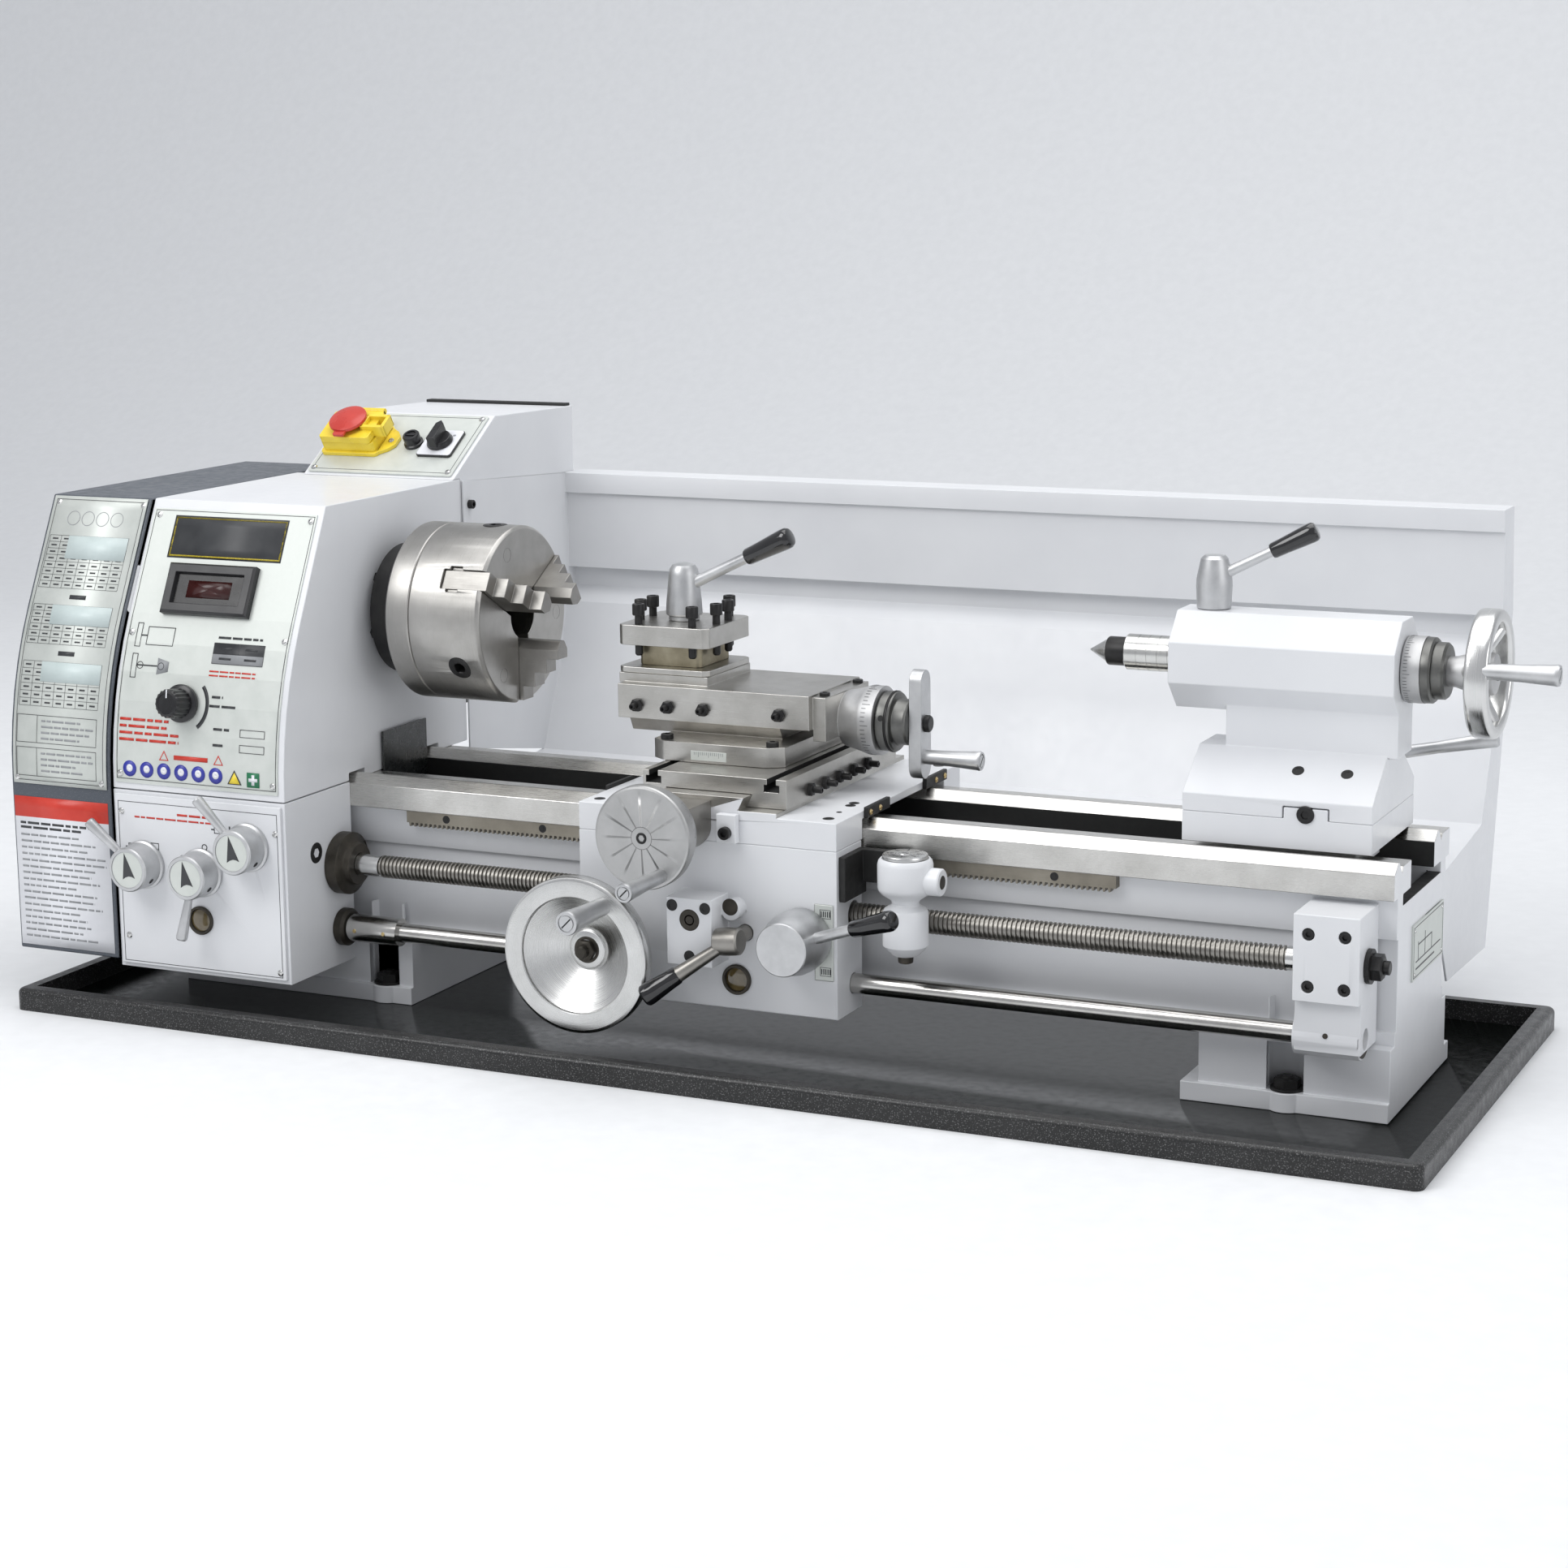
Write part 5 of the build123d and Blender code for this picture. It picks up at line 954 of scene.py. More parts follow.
@dataclass
class Headstock:
    """The headstock, gearbox, gear cover and the plates on their fronts."""

    skin: FrontSkin
    plate_lift: float = 1.2
    lower_lift: float = 3.0
    cover_lift: float = 4.0
    print_gap: float = 0.12
    layer: float = 0.1
    display_x: float = -98.5
    display_s: float = 182.5

    def castings(self) -> None:
        """The painted castings and sheets."""
        softened("headstock", "headstock_casting", [Finish.WHITE], None, 1.0)
        softened("feed_gearbox", "gearbox_casting", [Finish.WHITE, Finish.LABEL],
                 self.gearbox_zones, 0.7)
        softened("gear_cover", "gear_cover_shell", [Finish.SLATE], None, 1.4)
        softened("control_cabinet", "cabinet_shell", [Finish.WHITE], None, 1.2)
        dress("gear_case_back", Finish.SLATE)
        dress("motor", Finish.CASTING)
        dress("spindle_bearings", Finish.GROUND)
        dress("label_plates", Finish.LABEL)
        dress("drive_belt", Finish.RUBBER)
        for node in ("motor_pulley", "first_change_gear", "second_change_gear", "input_gear"):
            dress(node, Finish.CASTING)

    def gearbox_zones(self, centre: Array, normal: Array, low: Array, high: Array) -> Array:
        """The cover plate is label metal, and the glass ring is left out."""
        depth = high[:, 1] - low[:, 1]
        width = high[:, 0] - low[:, 0]
        return np.where(depth > 20, 0, np.where(width > 100, 1, -1))

    def glass(self) -> None:
        """The gearbox's oil glass in its turned ring, and the plug on the right face."""
        front = (-91.0, -198.0, -119.0)
        Shape().turned(
            [(10, -1), (10, 1.6), (10.8, 2.6), (12.2, 2.6), (13, 1.8), (13, 0)], front, FRONT
        ).build("oil_glass_ring", "frame", "bronze", [Finish.CASTING])
        Shape().turned(
            [(0, 1.4), (4, 1.3), (8, 0.7), (10.4, 0.2), (10.4, -0.6), (0, -0.6)], front, FRONT
        ).build("oil_glass", "frame", "bronze", [Finish.OIL])
        Shape().turned(
            [(0, -0.4), (4.0, -0.4, HEX), (4.0, 0.4, HEX), (8.6, 0.5), (9.4, 0.0), (9.4, -0.5), (0, -0.5)],
            (0.0, -148.1, -60.3), RIGHT
        ).build("side_plug", "frame", "black_oxide", [Finish.OXIDE])

    def screws(self) -> None:
        """The plates' dome-head screws, on the headstock and on the cover."""
        shape = Shape()
        for x, s in ((-172, 252), (-11, 252), (-11, 141), (-173, 141), (-11, 14), (-173, 14)):
            at = self.skin.at(np.array(float(x)), np.array(float(s)), self.plate_lift)
            dome_screw(shape, at, self.skin.normal(s), 3.0)
        for x, s in ((-172, -20), (-9, -28), (-170, -134), (-9, -153)):
            at = self.skin.at(np.array(float(x)), np.array(float(s)), self.lower_lift)
            dome_screw(shape, at, FRONT, 3.0)
        shape.build("plate_screws", "frame", "turned_steel", [Finish.CHROME])
        cover = Shape()
        for x, s in ((-282, 258), (-189, 258), (-284, 3), (-191, 3)):
            at = self.skin.at(np.array(float(x)), np.array(float(s)), self.cover_lift + 0.7)
            dome_screw(cover, at, self.skin.normal(s), 3.0)
        cover.build("cover_screws", "gear_cover", "turned_steel", [Finish.CHROME])

    def upper_print(self) -> None:
        """Plain marks on the upper plate: a border, a badge, the drive sketch, tables and signs."""
        shape = Shape()
        ink = Printing(self.skin, self.plate_lift + self.print_gap, shape)
        ink.outline(-176.5, -7.5, 9.5, 256.5, 0.5)
        ink.patch(-154, -33, 212, 252)
        ink.outline(-152.5, -34.5, 213.5, 250.5, 1.4, 4)
        ink.outline(-156, -127, 130, 147, 0.6)
        ink.outline(-168, -162, 128, 150, 0.6)
        ink.patch(-162, -156, 138, 139.2, 0)
        ink.outline(-168, -162, 100, 122, 0.6)
        ink.patch(-162, -140, 111, 112.2, 0)
        ink.polygon([(-140, 104), (-140, 119), (-128, 116), (-128, 107)], 1)
        for x in (-158.5, -136.0):
            ink.disc(x, 111.6, 3.4, 2.8)
        ink.patch(-83, -30, 126, 136, 0)
        ink.patch(-83, -30, 117.5, 126, 1)
        ink.table(-83, -30, 117.5, 136, 2, 2, 0.5)
        ink.ruled(-80, -30, 141, 1, 3, 2.0, 0, 5)
        for s in (110.5, 106.8):
            ink.ruled(-84, -26, s, 1, 3, 1.4, 2, 7)
        ink.disc(-108, 80, 27.5, 24.0, 0, -50.0, 40.0)
        ink.ruled(-78, -62, 88, 1, 3, 2.2, 0, 2)
        ink.ruled(-80, -52, 80, 1, 3, 2.2, 0, 4)
        ink.ruled(-174, -96, 63, 4, 6.0, 2.4, 2, 11)
        ink.ruled(-74, -54, 60, 1, 3, 2.2, 0, 6)
        ink.outline(-46, -20, 54.5, 61.5, 0.5)
        ink.ruled(-74, -60, 46, 1, 3, 2.2, 0, 8)
        ink.outline(-46, -20, 41.0, 48.0, 0.5)
        for x in (-125.6, -67.7):
            ink.disc(x, 31.5, 6.0, 4.4, 2, 90.0, 450.0, 3)
        ink.patch(-115, -79, 30, 34, 2)
        for step in range(6):
            ink.disc(-162.5 + 18.4 * step, 19.0, 7.2, 0.01, 3)
        ink.disc(-50.7, 17.0, 8.6, 0.01, 0, 90.0, 450.0, 3)
        ink.lift += self.layer
        ink.disc(-50.7, 16.8, 6.6, 0.01, 4, 90.0, 450.0, 3)
        ink.patch(-37.6, -24.6, 11.5, 24.5, 5)
        for step in range(6):
            ink.disc(-162.5 + 18.4 * step, 19.4, 3.4, 0.01, 6)
        ink.lift += self.layer
        ink.patch(-32.6, -29.6, 13.4, 22.6, 6)
        ink.patch(-35.7, -26.5, 16.5, 19.5, 6)
        shape.build("upper_print", "frame", "label_plate", PRINT, 0.0, (), 0.06)

    def lower_print(self) -> None:
        """Plain marks on the gearbox plate: a border and small position signs."""
        shape = Shape()
        ink = Printing(self.skin, self.lower_lift + self.print_gap, shape)
        ink.outline(-175.5, -6.5, -157.5, -10.5, 0.5)
        ink.ruled(-112, -76, -19, 1, 3, 2.0, 1, 21)
        ink.ruled(-158, -36, -24, 1, 3, 1.6, 1, 22)
        for x, s in ((-166, -52), (-142, -50), (-73, -29), (-44, -27)):
            ink.outline(x, x + 9, s - 3.5, s + 3.5, 0.7)
            ink.patch(x - 3, x, s - 0.6, s + 0.6)
        for x, s in ((-150.5, -50), (-56.5, -28)):
            ink.patch(x - 0.7, x + 0.7, s - 3.2, s + 3.2)
        ink.patch(-166, -157, -59, -58.2)
        ink.patch(-142, -133, -57, -56.2)
        ink.disc(-108, -58, 3.0, 2.1)
        ink.disc(-84, -46, 3.0, 2.1)
        shape.build("lower_print", "frame", "label_plate", [Finish.INK, Finish.RED_INK], 0.0, (), 0.06)

    def cover_print(self) -> None:
        """The cover's front plate with its tables, the red band and the white sheet."""
        plate = Shape()
        base = Printing(self.skin, self.cover_lift + 0.7, plate)
        base.patch(-288.0, -185.5, -2.0, 264.0, 0)
        plate.build("cover_plate", "gear_cover", "label_plate", [Finish.LABEL], 0.0, (), 0.7)
        shape = Shape()
        ink = Printing(self.skin, self.cover_lift + 1.4 + self.print_gap, shape)
        ink.outline(-285.0, -188.5, 1.0, 261.0, 0.45)
        for low, head, high, rows in ((176, 204, 226, 8), (124, 142, 160, 6), (68, 90, 108, 6)):
            ink.table(-283, -196, low, high, rows, 7, 0.3)
            ink.lift += self.layer
            ink.patch(-262, -196.3, head, high, 7)
            ink.lift -= self.layer
        for s in (168.0, 116.0):
            ink.patch(-246, -228, s - 2.0, s + 2.0)
        for x in (-262, -246, -230, -214):
            ink.disc(x, 243, 7.0, 6.4, 1)
        ink.outline(-284, -196, 35, 60, 0.45)
        ink.outline(-284, -196, 5, 31, 0.45)
        for low, high in ((35, 60), (5, 31)):
            ink.patch(-262, -261.6, low, high)
            ink.ruled(-257, -199, high - 5, 4, 5.2, 1.7, 1, int(high))
        shape.build("cover_tables", "gear_cover", "label_plate", [*PRINT, Finish.TABLE], 0.0, (), 0.06)
        sticker = Shape()
        low = Printing(self.skin, self.cover_lift + 0.2, sticker)
        low.patch(-289.5, -186.0, -33.5, -14.5, 0)
        low.patch(-289.5, -186.0, -153.0, -33.5, 1)
        low.lift += self.layer
        low.ruled(-284, -192, -39.0, 2, 4.2, 2.2, 2, 31)
        low.ruled(-284, -190, -50.0, 17, 5.9, 1.8, 3, 32)
        sticker.build("cover_stickers", "gear_cover", "label_plate",
                      [Finish.RED_INK, Finish.SHEET, Finish.INK, Finish.GREY_INK], 0.0, (), 0.1)

    def display(self) -> None:
        """The speed display: a black bezel with sloped sides and a smoked window."""
        centre = self.skin.at(np.array(self.display_x), np.array(self.display_s), self.plate_lift)
        n = self.skin.normal(self.display_s)
        up = np.cross(n, (-1.0, 0.0, 0.0))
        up = up if up[2] > 0 else -up
        shape = Shape()
        half = np.array([(-1, -1), (1, -1), (1, 1), (-1, 1)], float)

        def ring(width: float, height: float, lift: float) -> Array:
            """Four corners of a rectangle at a height above the plate."""
            across = half[:, 0:1] * width / 2 * np.array([1.0, 0, 0])
            return centre + across + half[:, 1:2] * height / 2 * up + lift * n

        rows = [
            ring(92, 47, 0), ring(92, 47, 5.5), ring(88, 43, 8), ring(73, 29, 8), ring(70, 26, 3),
            ring(70, 26, 1), ring(0.01, 0.01, 1)]
        shape.grid(np.stack(rows), True, 0)
        shape.build("display_bezel", "frame", "black_plastic", [Finish.BLACK_PLASTIC], 0.4)
        glass = Shape()
        glass.grid(np.stack([ring(0.01, 0.01, 2.0), ring(71, 27, 2.0), ring(71, 27, 4.0),
                             ring(0.01, 0.01, 4.0)]), True, 0)
        glass.build("display_window", "frame", "black_plastic", [Finish.GLASS])
        red = Shape()
        red.grid(np.stack([ring(46, 16, 4.2), ring(0.01, 0.01, 4.2)]), True, 0)
        red.build("display_tube", "frame", "black_plastic", [Finish.RED_GLASS], 0.0, (), 0.08)

    def build(self) -> None:
        """Build the headstock's pieces."""
        self.castings()
        self.glass()
        self.screws()
        self.upper_print()
        self.lower_print()
        self.cover_print()
        self.display()


@dataclass
class FrontKnobs:
    """The three gearbox levers and the speed knob."""

    lever_x: tuple[float, float, float] = (-150.0, -88.0, -38.0)
    lever_z: tuple[float, float, float] = (-73.0, -75.0, -48.0)
    lean: tuple[float, float, float] = (135.0, 262.0, 128.0)
    front: float = -198.0
    radius: float = 20.0
    length: float = 58.0
    dial_seat: tuple[float, float, float] = (-108.0, -187.43, 74.0)
    dial_lean: float = 9.0
    hole_angle: float = -35.0
    arrow_angle: float = 100.0

    def lever(self, name: str, x: float, z: float, lean: float) -> None:
        """A turned knob with a set screw, an arrow disc and a slim tapered lever."""
        at = np.array([x, self.front, z])
        shape = Shape()
        r = self.radius
        shape.turned([(0, 0.4), (r + 2, 0.4), (r + 2, 3), (r + 0.2, 4), (r, 5), (r, 24.6), (r - 1.0, 26),
                      (r - 3.4, 26), (r - 3.6, 25.2), (0, 25.2)], at, FRONT, 0, 60)
        angle = math.radians(lean)
        out = np.array([math.cos(angle), 0, math.sin(angle)])
        shape.capsule(at + out * 8 + (0, -15, 0), at + out * self.length + (0, -24, 0),
                      [(3.2, 0), (3.6, 0.3), (5.2, 0.93), (5.0, 0.97), (3.9, 0.995), (0, 1)], 0, 30)
        # The set screw is a near-black disc: its own dark colour together with painted shade of its hole.
        turn = math.radians(self.hole_angle)
        hole = np.array([math.cos(turn), 0, math.sin(turn)])
        shape.turned(
            [(0, 0.15), (2.6, 0.15), (2.6, -1), (0, -1)], at + hole * r * 0.999 + (0, -13, 0), hole, 1, 18)
        shape.build(name + "_knob", name, "cast_aluminium", [Finish.ALUMINIUM, Finish.DARK_AND_PAINTED_SHADE], 0.0, [name])
        face = Shape()
        face.turned([(0, 25.35), (r - 4.0, 25.35), (r - 4.0, 25.1), (0, 25.1)], at, FRONT, 0, 48)
        turn = math.radians(self.arrow_angle)
        tip = np.array([math.cos(turn), 0, math.sin(turn)])
        side = np.array([tip[2], 0, -tip[0]])
        corners = [(0, r - 4.6), (-6.5, -8.0), (-3.2, -6.4), (0.4, -5.8), (3.6, -6.6), (6.6, -8.4)]
        points = [at + side * p + tip * q + (0, -25.5, 0) for p, q in corners]
        face.add(np.array(points), [list(range(len(points)))], 1)
        face.add(np.array(points) + (0, 0.12, 0), [list(range(len(points)))[::-1]], 1)
        face.build(name + "_face", name, "label_plate", [Finish.LABEL, Finish.INK])

    def speed(self) -> None:
        """The knurled speed knob on its skirt: radius rises and falls 18 times round its grip."""
        lean = math.radians(self.dial_lean)
        a, b, n = triad((0.0, -math.cos(lean), math.sin(lean)))
        at = np.asarray(self.dial_seat) + 0.4 * n
        t = np.linspace(0, 2 * np.pi, 144, endpoint=False)
        knurl = 1.0 + 0.035 * np.sign(np.sin(18 * t)) * np.abs(np.sin(18 * t)) ** 0.5
        ring = np.cos(t)[:, None] * a + np.sin(t)[:, None] * b
        table = [
            (0, 0.6, 0), (17, 0.6, 0), (17, 3.4, 0), (15.5, 4.6, 0), (12.6, 5.2, 0), (13, 6, 1),
            (12.4, 22.5, 1), (11.2, 24.2, 0), (9.4, 24.6, 0), (9.0, 23.8, 0), (0, 23.8, 0)]
        rows = [
            at + h * n + (r * (knurl if k else 1.0) * np.ones_like(t))[:, None] * ring for r, h, k in table]
        shape = Shape()
        shape.grid(np.stack(rows))
        shape.build(
            "speed_knob_grip", "speed_knob", "black_plastic", [Finish.BLACK_PLASTIC], 0.0, ["speed_knob"])
        Shape().prism(
            [(-0.6, 5.0), (0.6, 5.0), (0.6, 12.4), (-0.6, 12.4)], at + 24.4 * n, a, b, 0.35
        ).build("speed_knob_mark", "speed_knob", "label_plate", [Finish.SHEET])

    def build(self) -> None:
        """Build the knobs."""
        names = ("feed_direction_lever", "feed_range_lever", "feed_select_lever")
        for name, x, z, lean in zip(names, self.lever_x, self.lever_z, self.lean):
            self.lever(name, x, z, lean)
        self.speed()


@dataclass
class ControlPanel:
    """The sloped panel on the cabinet: plate, stop switch, fuse holder and selector."""

    origin: tuple[float, float, float] = (-83.5, 146.0, 272.0)
    lean: float = math.atan2(54.0, 82.0)
    half_x: float = 79.5
    half_y: float = 45.1
    switch_x: float = -42.0
    selector_x: float = 48.0

    @property
    def axes(self) -> tuple[Array, Array, Array]:
        """Along the lathe, up the slope, and out of the panel."""
        c, s = math.cos(self.lean), math.sin(self.lean)
        return np.array([1.0, 0, 0]), np.array([0, c, s]), np.array([0, -s, c])

    def at(self, x: float, y: float, z: float) -> Array:
        """A point in the panel's frame, in the bed frame."""
        a, b, n = self.axes
        return np.asarray(self.origin) + x * a + y * b + z * n

    def slab(self, shape: Shape, outline: Sequence[Point], z0: float, z1: float, look: int = 0) -> None:
        """An outline pushed out of the panel from one height to another."""
        a, b, n = self.axes
        shape.prism(outline, self.at(0, 0, z0), a, b, z1 - z0, look)

    @staticmethod
    def rounded(x0: float, x1: float, y0: float, y1: float, r: float) -> list[tuple[float, float]]:
        """A rectangle's outline with rounded corners: quarter circles of radius r."""
        t = np.radians(np.linspace(0, 90, 6))
        corners = []
        for cx, cy, turn in (
                (x1 - r, y1 - r, 0), (x0 + r, y1 - r, 90), (x0 + r, y0 + r, 180), (x1 - r, y0 + r, 270)):
            angle = t + math.radians(turn)
            corners += list(zip(cx + r * np.cos(angle), cy + r * np.sin(angle)))
        return corners

    def plate(self) -> None:
        """The brushed plate with a ruled border and four screws."""
        shape = Shape()
        self.slab(shape, self.rounded(-self.half_x, self.half_x, -self.half_y, self.half_y, 2), 0.2, 2.0)
        shape.build("panel_plate", "frame", "label_plate", [Finish.LABEL], 0.3, ["panel_fittings"])
        lines = Shape()
        x, y, w = self.half_x - 3.5, self.half_y - 3.5, 0.5
        for x0, x1, y0, y1 in ((-x, x, y - w, y), (-x, x, -y, w - y), (-x, w - x, -y, y), (x - w, x, -y, y)):
            self.slab(lines, [(x0, y0), (x1, y0), (x1, y1), (x0, y1)], 1.9, 2.12)
        lines.build("panel_border", "frame", "label_plate", [Finish.INK])
        screws = Shape()
        for sx in (-74.5, 74.5):
            for sy in (-40.0, 40.0):
                dome_screw(screws, self.at(sx, sy, 2.0), self.axes[2], 3.2)
        screws.build("panel_screws", "frame", "turned_steel", [Finish.CHROME])
        Shape().block(
            -163, -2, 329, 339.5, 296.2, 299.0
        ).build("cabinet_lid_seal", "frame", "black_plastic", [Finish.RUBBER], 0.6)

    def switch(self) -> None:
        """The yellow switch box on the panel, its hinged flap and the red button."""
        x = self.switch_x
        base = Shape()
        self.slab(base, self.rounded(x - 34, x + 30, -22, 22, 5), 2.0, 6.0)
        self.slab(base, self.rounded(x - 31, x + 27, -19, 19, 3), 6.0, 16.0)
        self.slab(base, [(x + 27, -20), (x + 38, -13), (x + 43, -6), (x + 43, 6), (x + 38, 13), (x + 27, 20)],
                  2.0, 6.0)
        base.build("switch_box", "frame", "yellow_plastic", [Finish.YELLOW], 0.7)
        screw = Shape()
        dome_screw(screw, self.at(x + 36, -1, 6.0), self.axes[2], 3.0)
        screw.build("switch_box_screw", "frame", "turned_steel", [Finish.CHROME])
        flap = Shape()
        low = 16.3
        self.slab(flap, self.rounded(x - 30, x + 25, -20, 19.5, 3), low, low + 7.5)
        self.slab(flap, self.rounded(x + 12, x + 38, 7.5, 11.0, 1.5), low, low + 12)
        self.slab(flap, self.rounded(x + 12, x + 38, -8.5, -5.0, 1.5), low, low + 12)
        self.slab(flap, self.rounded(x + 34.5, x + 38, -8.5, 11.0, 1.2), low, low + 12)
        self.slab(flap, self.rounded(x + 12, x + 15.5, -8.5, 11.0, 1.2), low + 3, low + 12)
        a, b, n = self.axes
        flap.turned([(0, -22), (3.2, -22), (3.2, 22), (0, 22)], self.at(x, 25, low + 4), a, 0, 18)
        self.slab(flap, [(x - 22, 19), (x + 22, 19), (x + 22, 25), (x - 22, 25)], low + 1.5, low + 6)
        flap.build(
            "switch_flap_cover", "switch_flap", "yellow_plastic", [Finish.YELLOW], 0.6, ["switch_flap"])
        button = Shape()
        button.turned([(0, 0), (9, 0), (9, 11.5), (15.5, 12.2), (18.0, 13.4), (19.0, 15.0), (18.6, 17.0),
                       (15, 18.4), (8, 19.2), (0, 19.4)], self.at(x - 4, 0, low - 2.0), n, 0, 60)
        tab = self.rounded(x - 10, x + 2, -24, -12, 2)
        self.slab(button, tab, low + 11.2, low + 13.6)
        button.build("stop_button_cap", "stop_button", "red_plastic", [Finish.RED], 0.0, ["stop_button"])

    def fuse_and_selector(self) -> None:
        """The fuse holder, and the selector's plate with its black bar knob."""
        n = self.axes[2]
        Shape().turned(
            [(0, 0), (9.5, 0), (9.5, 2.5), (8.6, 3.2), (8.2, 3.4), (8.4, 10.5), (7.6, 11.6), (5.4, 11.8),
             (5.2, 10.6), (0, 10.6)], self.at(18, 0, 2.0), n, 0, 36
        ).prism(
            [(-4.6, -0.9), (4.6, -0.9), (4.6, 0.9), (-4.6, 0.9)], self.at(18, 0, 12.4), *self.axes[:2], 1.2
        ).build("fuse_holder", "frame", "black_plastic", [Finish.BLACK_PLASTIC])
        x = self.selector_x
        plate = Shape()
        self.slab(plate, self.rounded(x - 19, x + 19, -19, 19, 3), 2.0, 4.6, 1)
        self.slab(plate, self.rounded(x - 18.4, x + 18.4, -18.4, 18.4, 2.6), 4.5, 5.2, 0)
        plate.build("selector_plate", "frame", "label_plate", [Finish.SHEET, Finish.BLACK_PLASTIC], 0.3)
        marks = Shape()
        for angle in (-45, 0, 45):
            t = math.radians(90 + angle)
            cx, cy = x + 15.2 * math.cos(t), 15.2 * math.sin(t)
            self.slab(marks, self.rounded(cx - 1.5, cx + 1.5, cy - 1.2, cy + 1.2, 0.4), 5.1, 5.32)
        marks.build("selector_marks", "frame", "label_plate", [Finish.GREY_INK])
        knob = Shape()
        knob.turned(
            [(0, 0), (13.0, 0), (13.0, 1.5), (12.2, 3.0), (11.4, 6.0), (0, 6.0)], self.at(x, 0, 5.4), n, 0,
            48)
        self.slab(
            knob, [(x - 4.2, -13.5), (x + 4.2, -13.5), (x + 4.2, 10), (x, 14.5), (x - 4.2, 10)], 9.0, 21.0)
        knob.build("selector_knob_bar", "selector_knob", "black_plastic", [Finish.BLACK_PLASTIC], 0.7,
                   ["selector_knob"])

    def build(self) -> None:
        """Build the panel's pieces."""
        self.plate()
        self.switch()
        self.fuse_and_selector()


@dataclass
class Chuck:
    """The spindle and the three-jaw chuck."""

    height: float = 140.0
    face: float = 132.0
    radius: float = 80.0
    pinion_angles: tuple[float, float, float] = (90.0, 210.0, 330.0)
    pinion_x: float = 106.0
    screw_circle: float = 62.0
    stud_circle: float = 48.0

    def build(self) -> None:
        """Dress the spindle, and build the softened chuck body, back plate and jaws."""
        centre = (0.0, 0.0, self.height)
        turned = Turned("chuck_steel", Axis.X, centre, (0.36, 0.35, 0.33), (0.48, 0.47, 0.45), (0.26, 0.38))
        jaw = Ground("jaw_steel", (0.26, 0.25, 0.235), (0.38, 0.37, 0.35), (0.34, 0.46))
        dress("spindle", Finish.OXIDE)
        dress("spindle_drive", Finish.CASTING)
        softened("chuck_body", "chuck_shell", [turned], None, 0.7)
        softened("chuck_back_plate", "chuck_adaptor", [turned], None, 0.5)
        dress("scroll_plate", Finish.GROUND)
        for number in (1, 2, 3):
            softened(f"chuck_jaw_{number}", f"jaw_{number}_steps", [jaw], None, 0.5)
        self.pinions()
        self.face_screws()
        self.nose_studs()

    def radial(self, angle: float) -> Array:
        """The outward direction at an angle from +y towards +z."""
        return np.array([0.0, math.cos(math.radians(angle)), math.sin(math.radians(angle))])

    def pinions(self) -> None:
        """Three pinions with square key sockets, in dark countersinks."""
        shape = Shape()
        for angle in self.pinion_angles:
            n = self.radial(angle)
            a = np.array([1.0, 0, 0])
            b = np.cross(n, a)
            at = np.array([self.pinion_x, 0, self.height]) + n * (self.radius - 1.4)
            t = np.linspace(0, 2 * np.pi, 48, endpoint=False)
            square = 1 / np.maximum(np.abs(np.cos(t)), np.abs(np.sin(t)))
            ring = np.cos(t)[:, None] * a + np.sin(t)[:, None] * b

            def row(r: float, h: float, boxed: bool) -> Array:
                """A round or square ring of points at a height."""
                size = np.minimum(square * r, r * 1.25) if boxed else np.full_like(t, r)
                return at + n * h + size[:, None] * ring

            rows = [row(11.6, -3, False), row(11.6, 0.9, False), row(10.4, 1.6, False), row(5.6, 1.6, False),
                    row(4.8, 0.8, True), row(4.8, -9.0, True), row(0.001, -9.0, True)]
            shape.grid(np.stack(rows), True, 0)
            shape.grid(np.stack([row(0.001, -12, False), row(9.0, -12, False), row(9.0, -3, False),
                                 row(11.6, -3, False)]), True, 0)
        shape.build("pinion_heads", "spindle", "black_oxide", [Finish.OXIDE], 0.0, ["chuck_pinions"])

    def face_screws(self) -> None:
        """Three socket screws sunk in the chuck's face."""
        shape = Shape()
        for angle in self.pinion_angles:
            at = np.array([self.face - 0.2, 0, self.height]) + self.radial(angle + 24) * self.screw_circle
            shape.turned([(0, -3.4), (3.4, -3.4, HEX), (3.4, -0.2, HEX), (6.0, 0.0), (6.4, 0.3), (6.4, -0.4)],
                         at, RIGHT, 0, 36)
        shape.build("chuck_face_screws", "spindle", "black_oxide", [Finish.OXIDE])

    def nose_studs(self) -> None:
        """Studs and nuts between the spindle's flange and the chuck."""
        shape = Shape()
        for step in range(6):
            at = np.array([8.0, 0, self.height]) + self.radial(60 * step + 20) * self.stud_circle
            hex_nut(shape, at, (-1, 0, 0), 5.6, 6.0)
        shape.build("nose_nuts", "spindle", "black_oxide", [Finish.OXIDE])


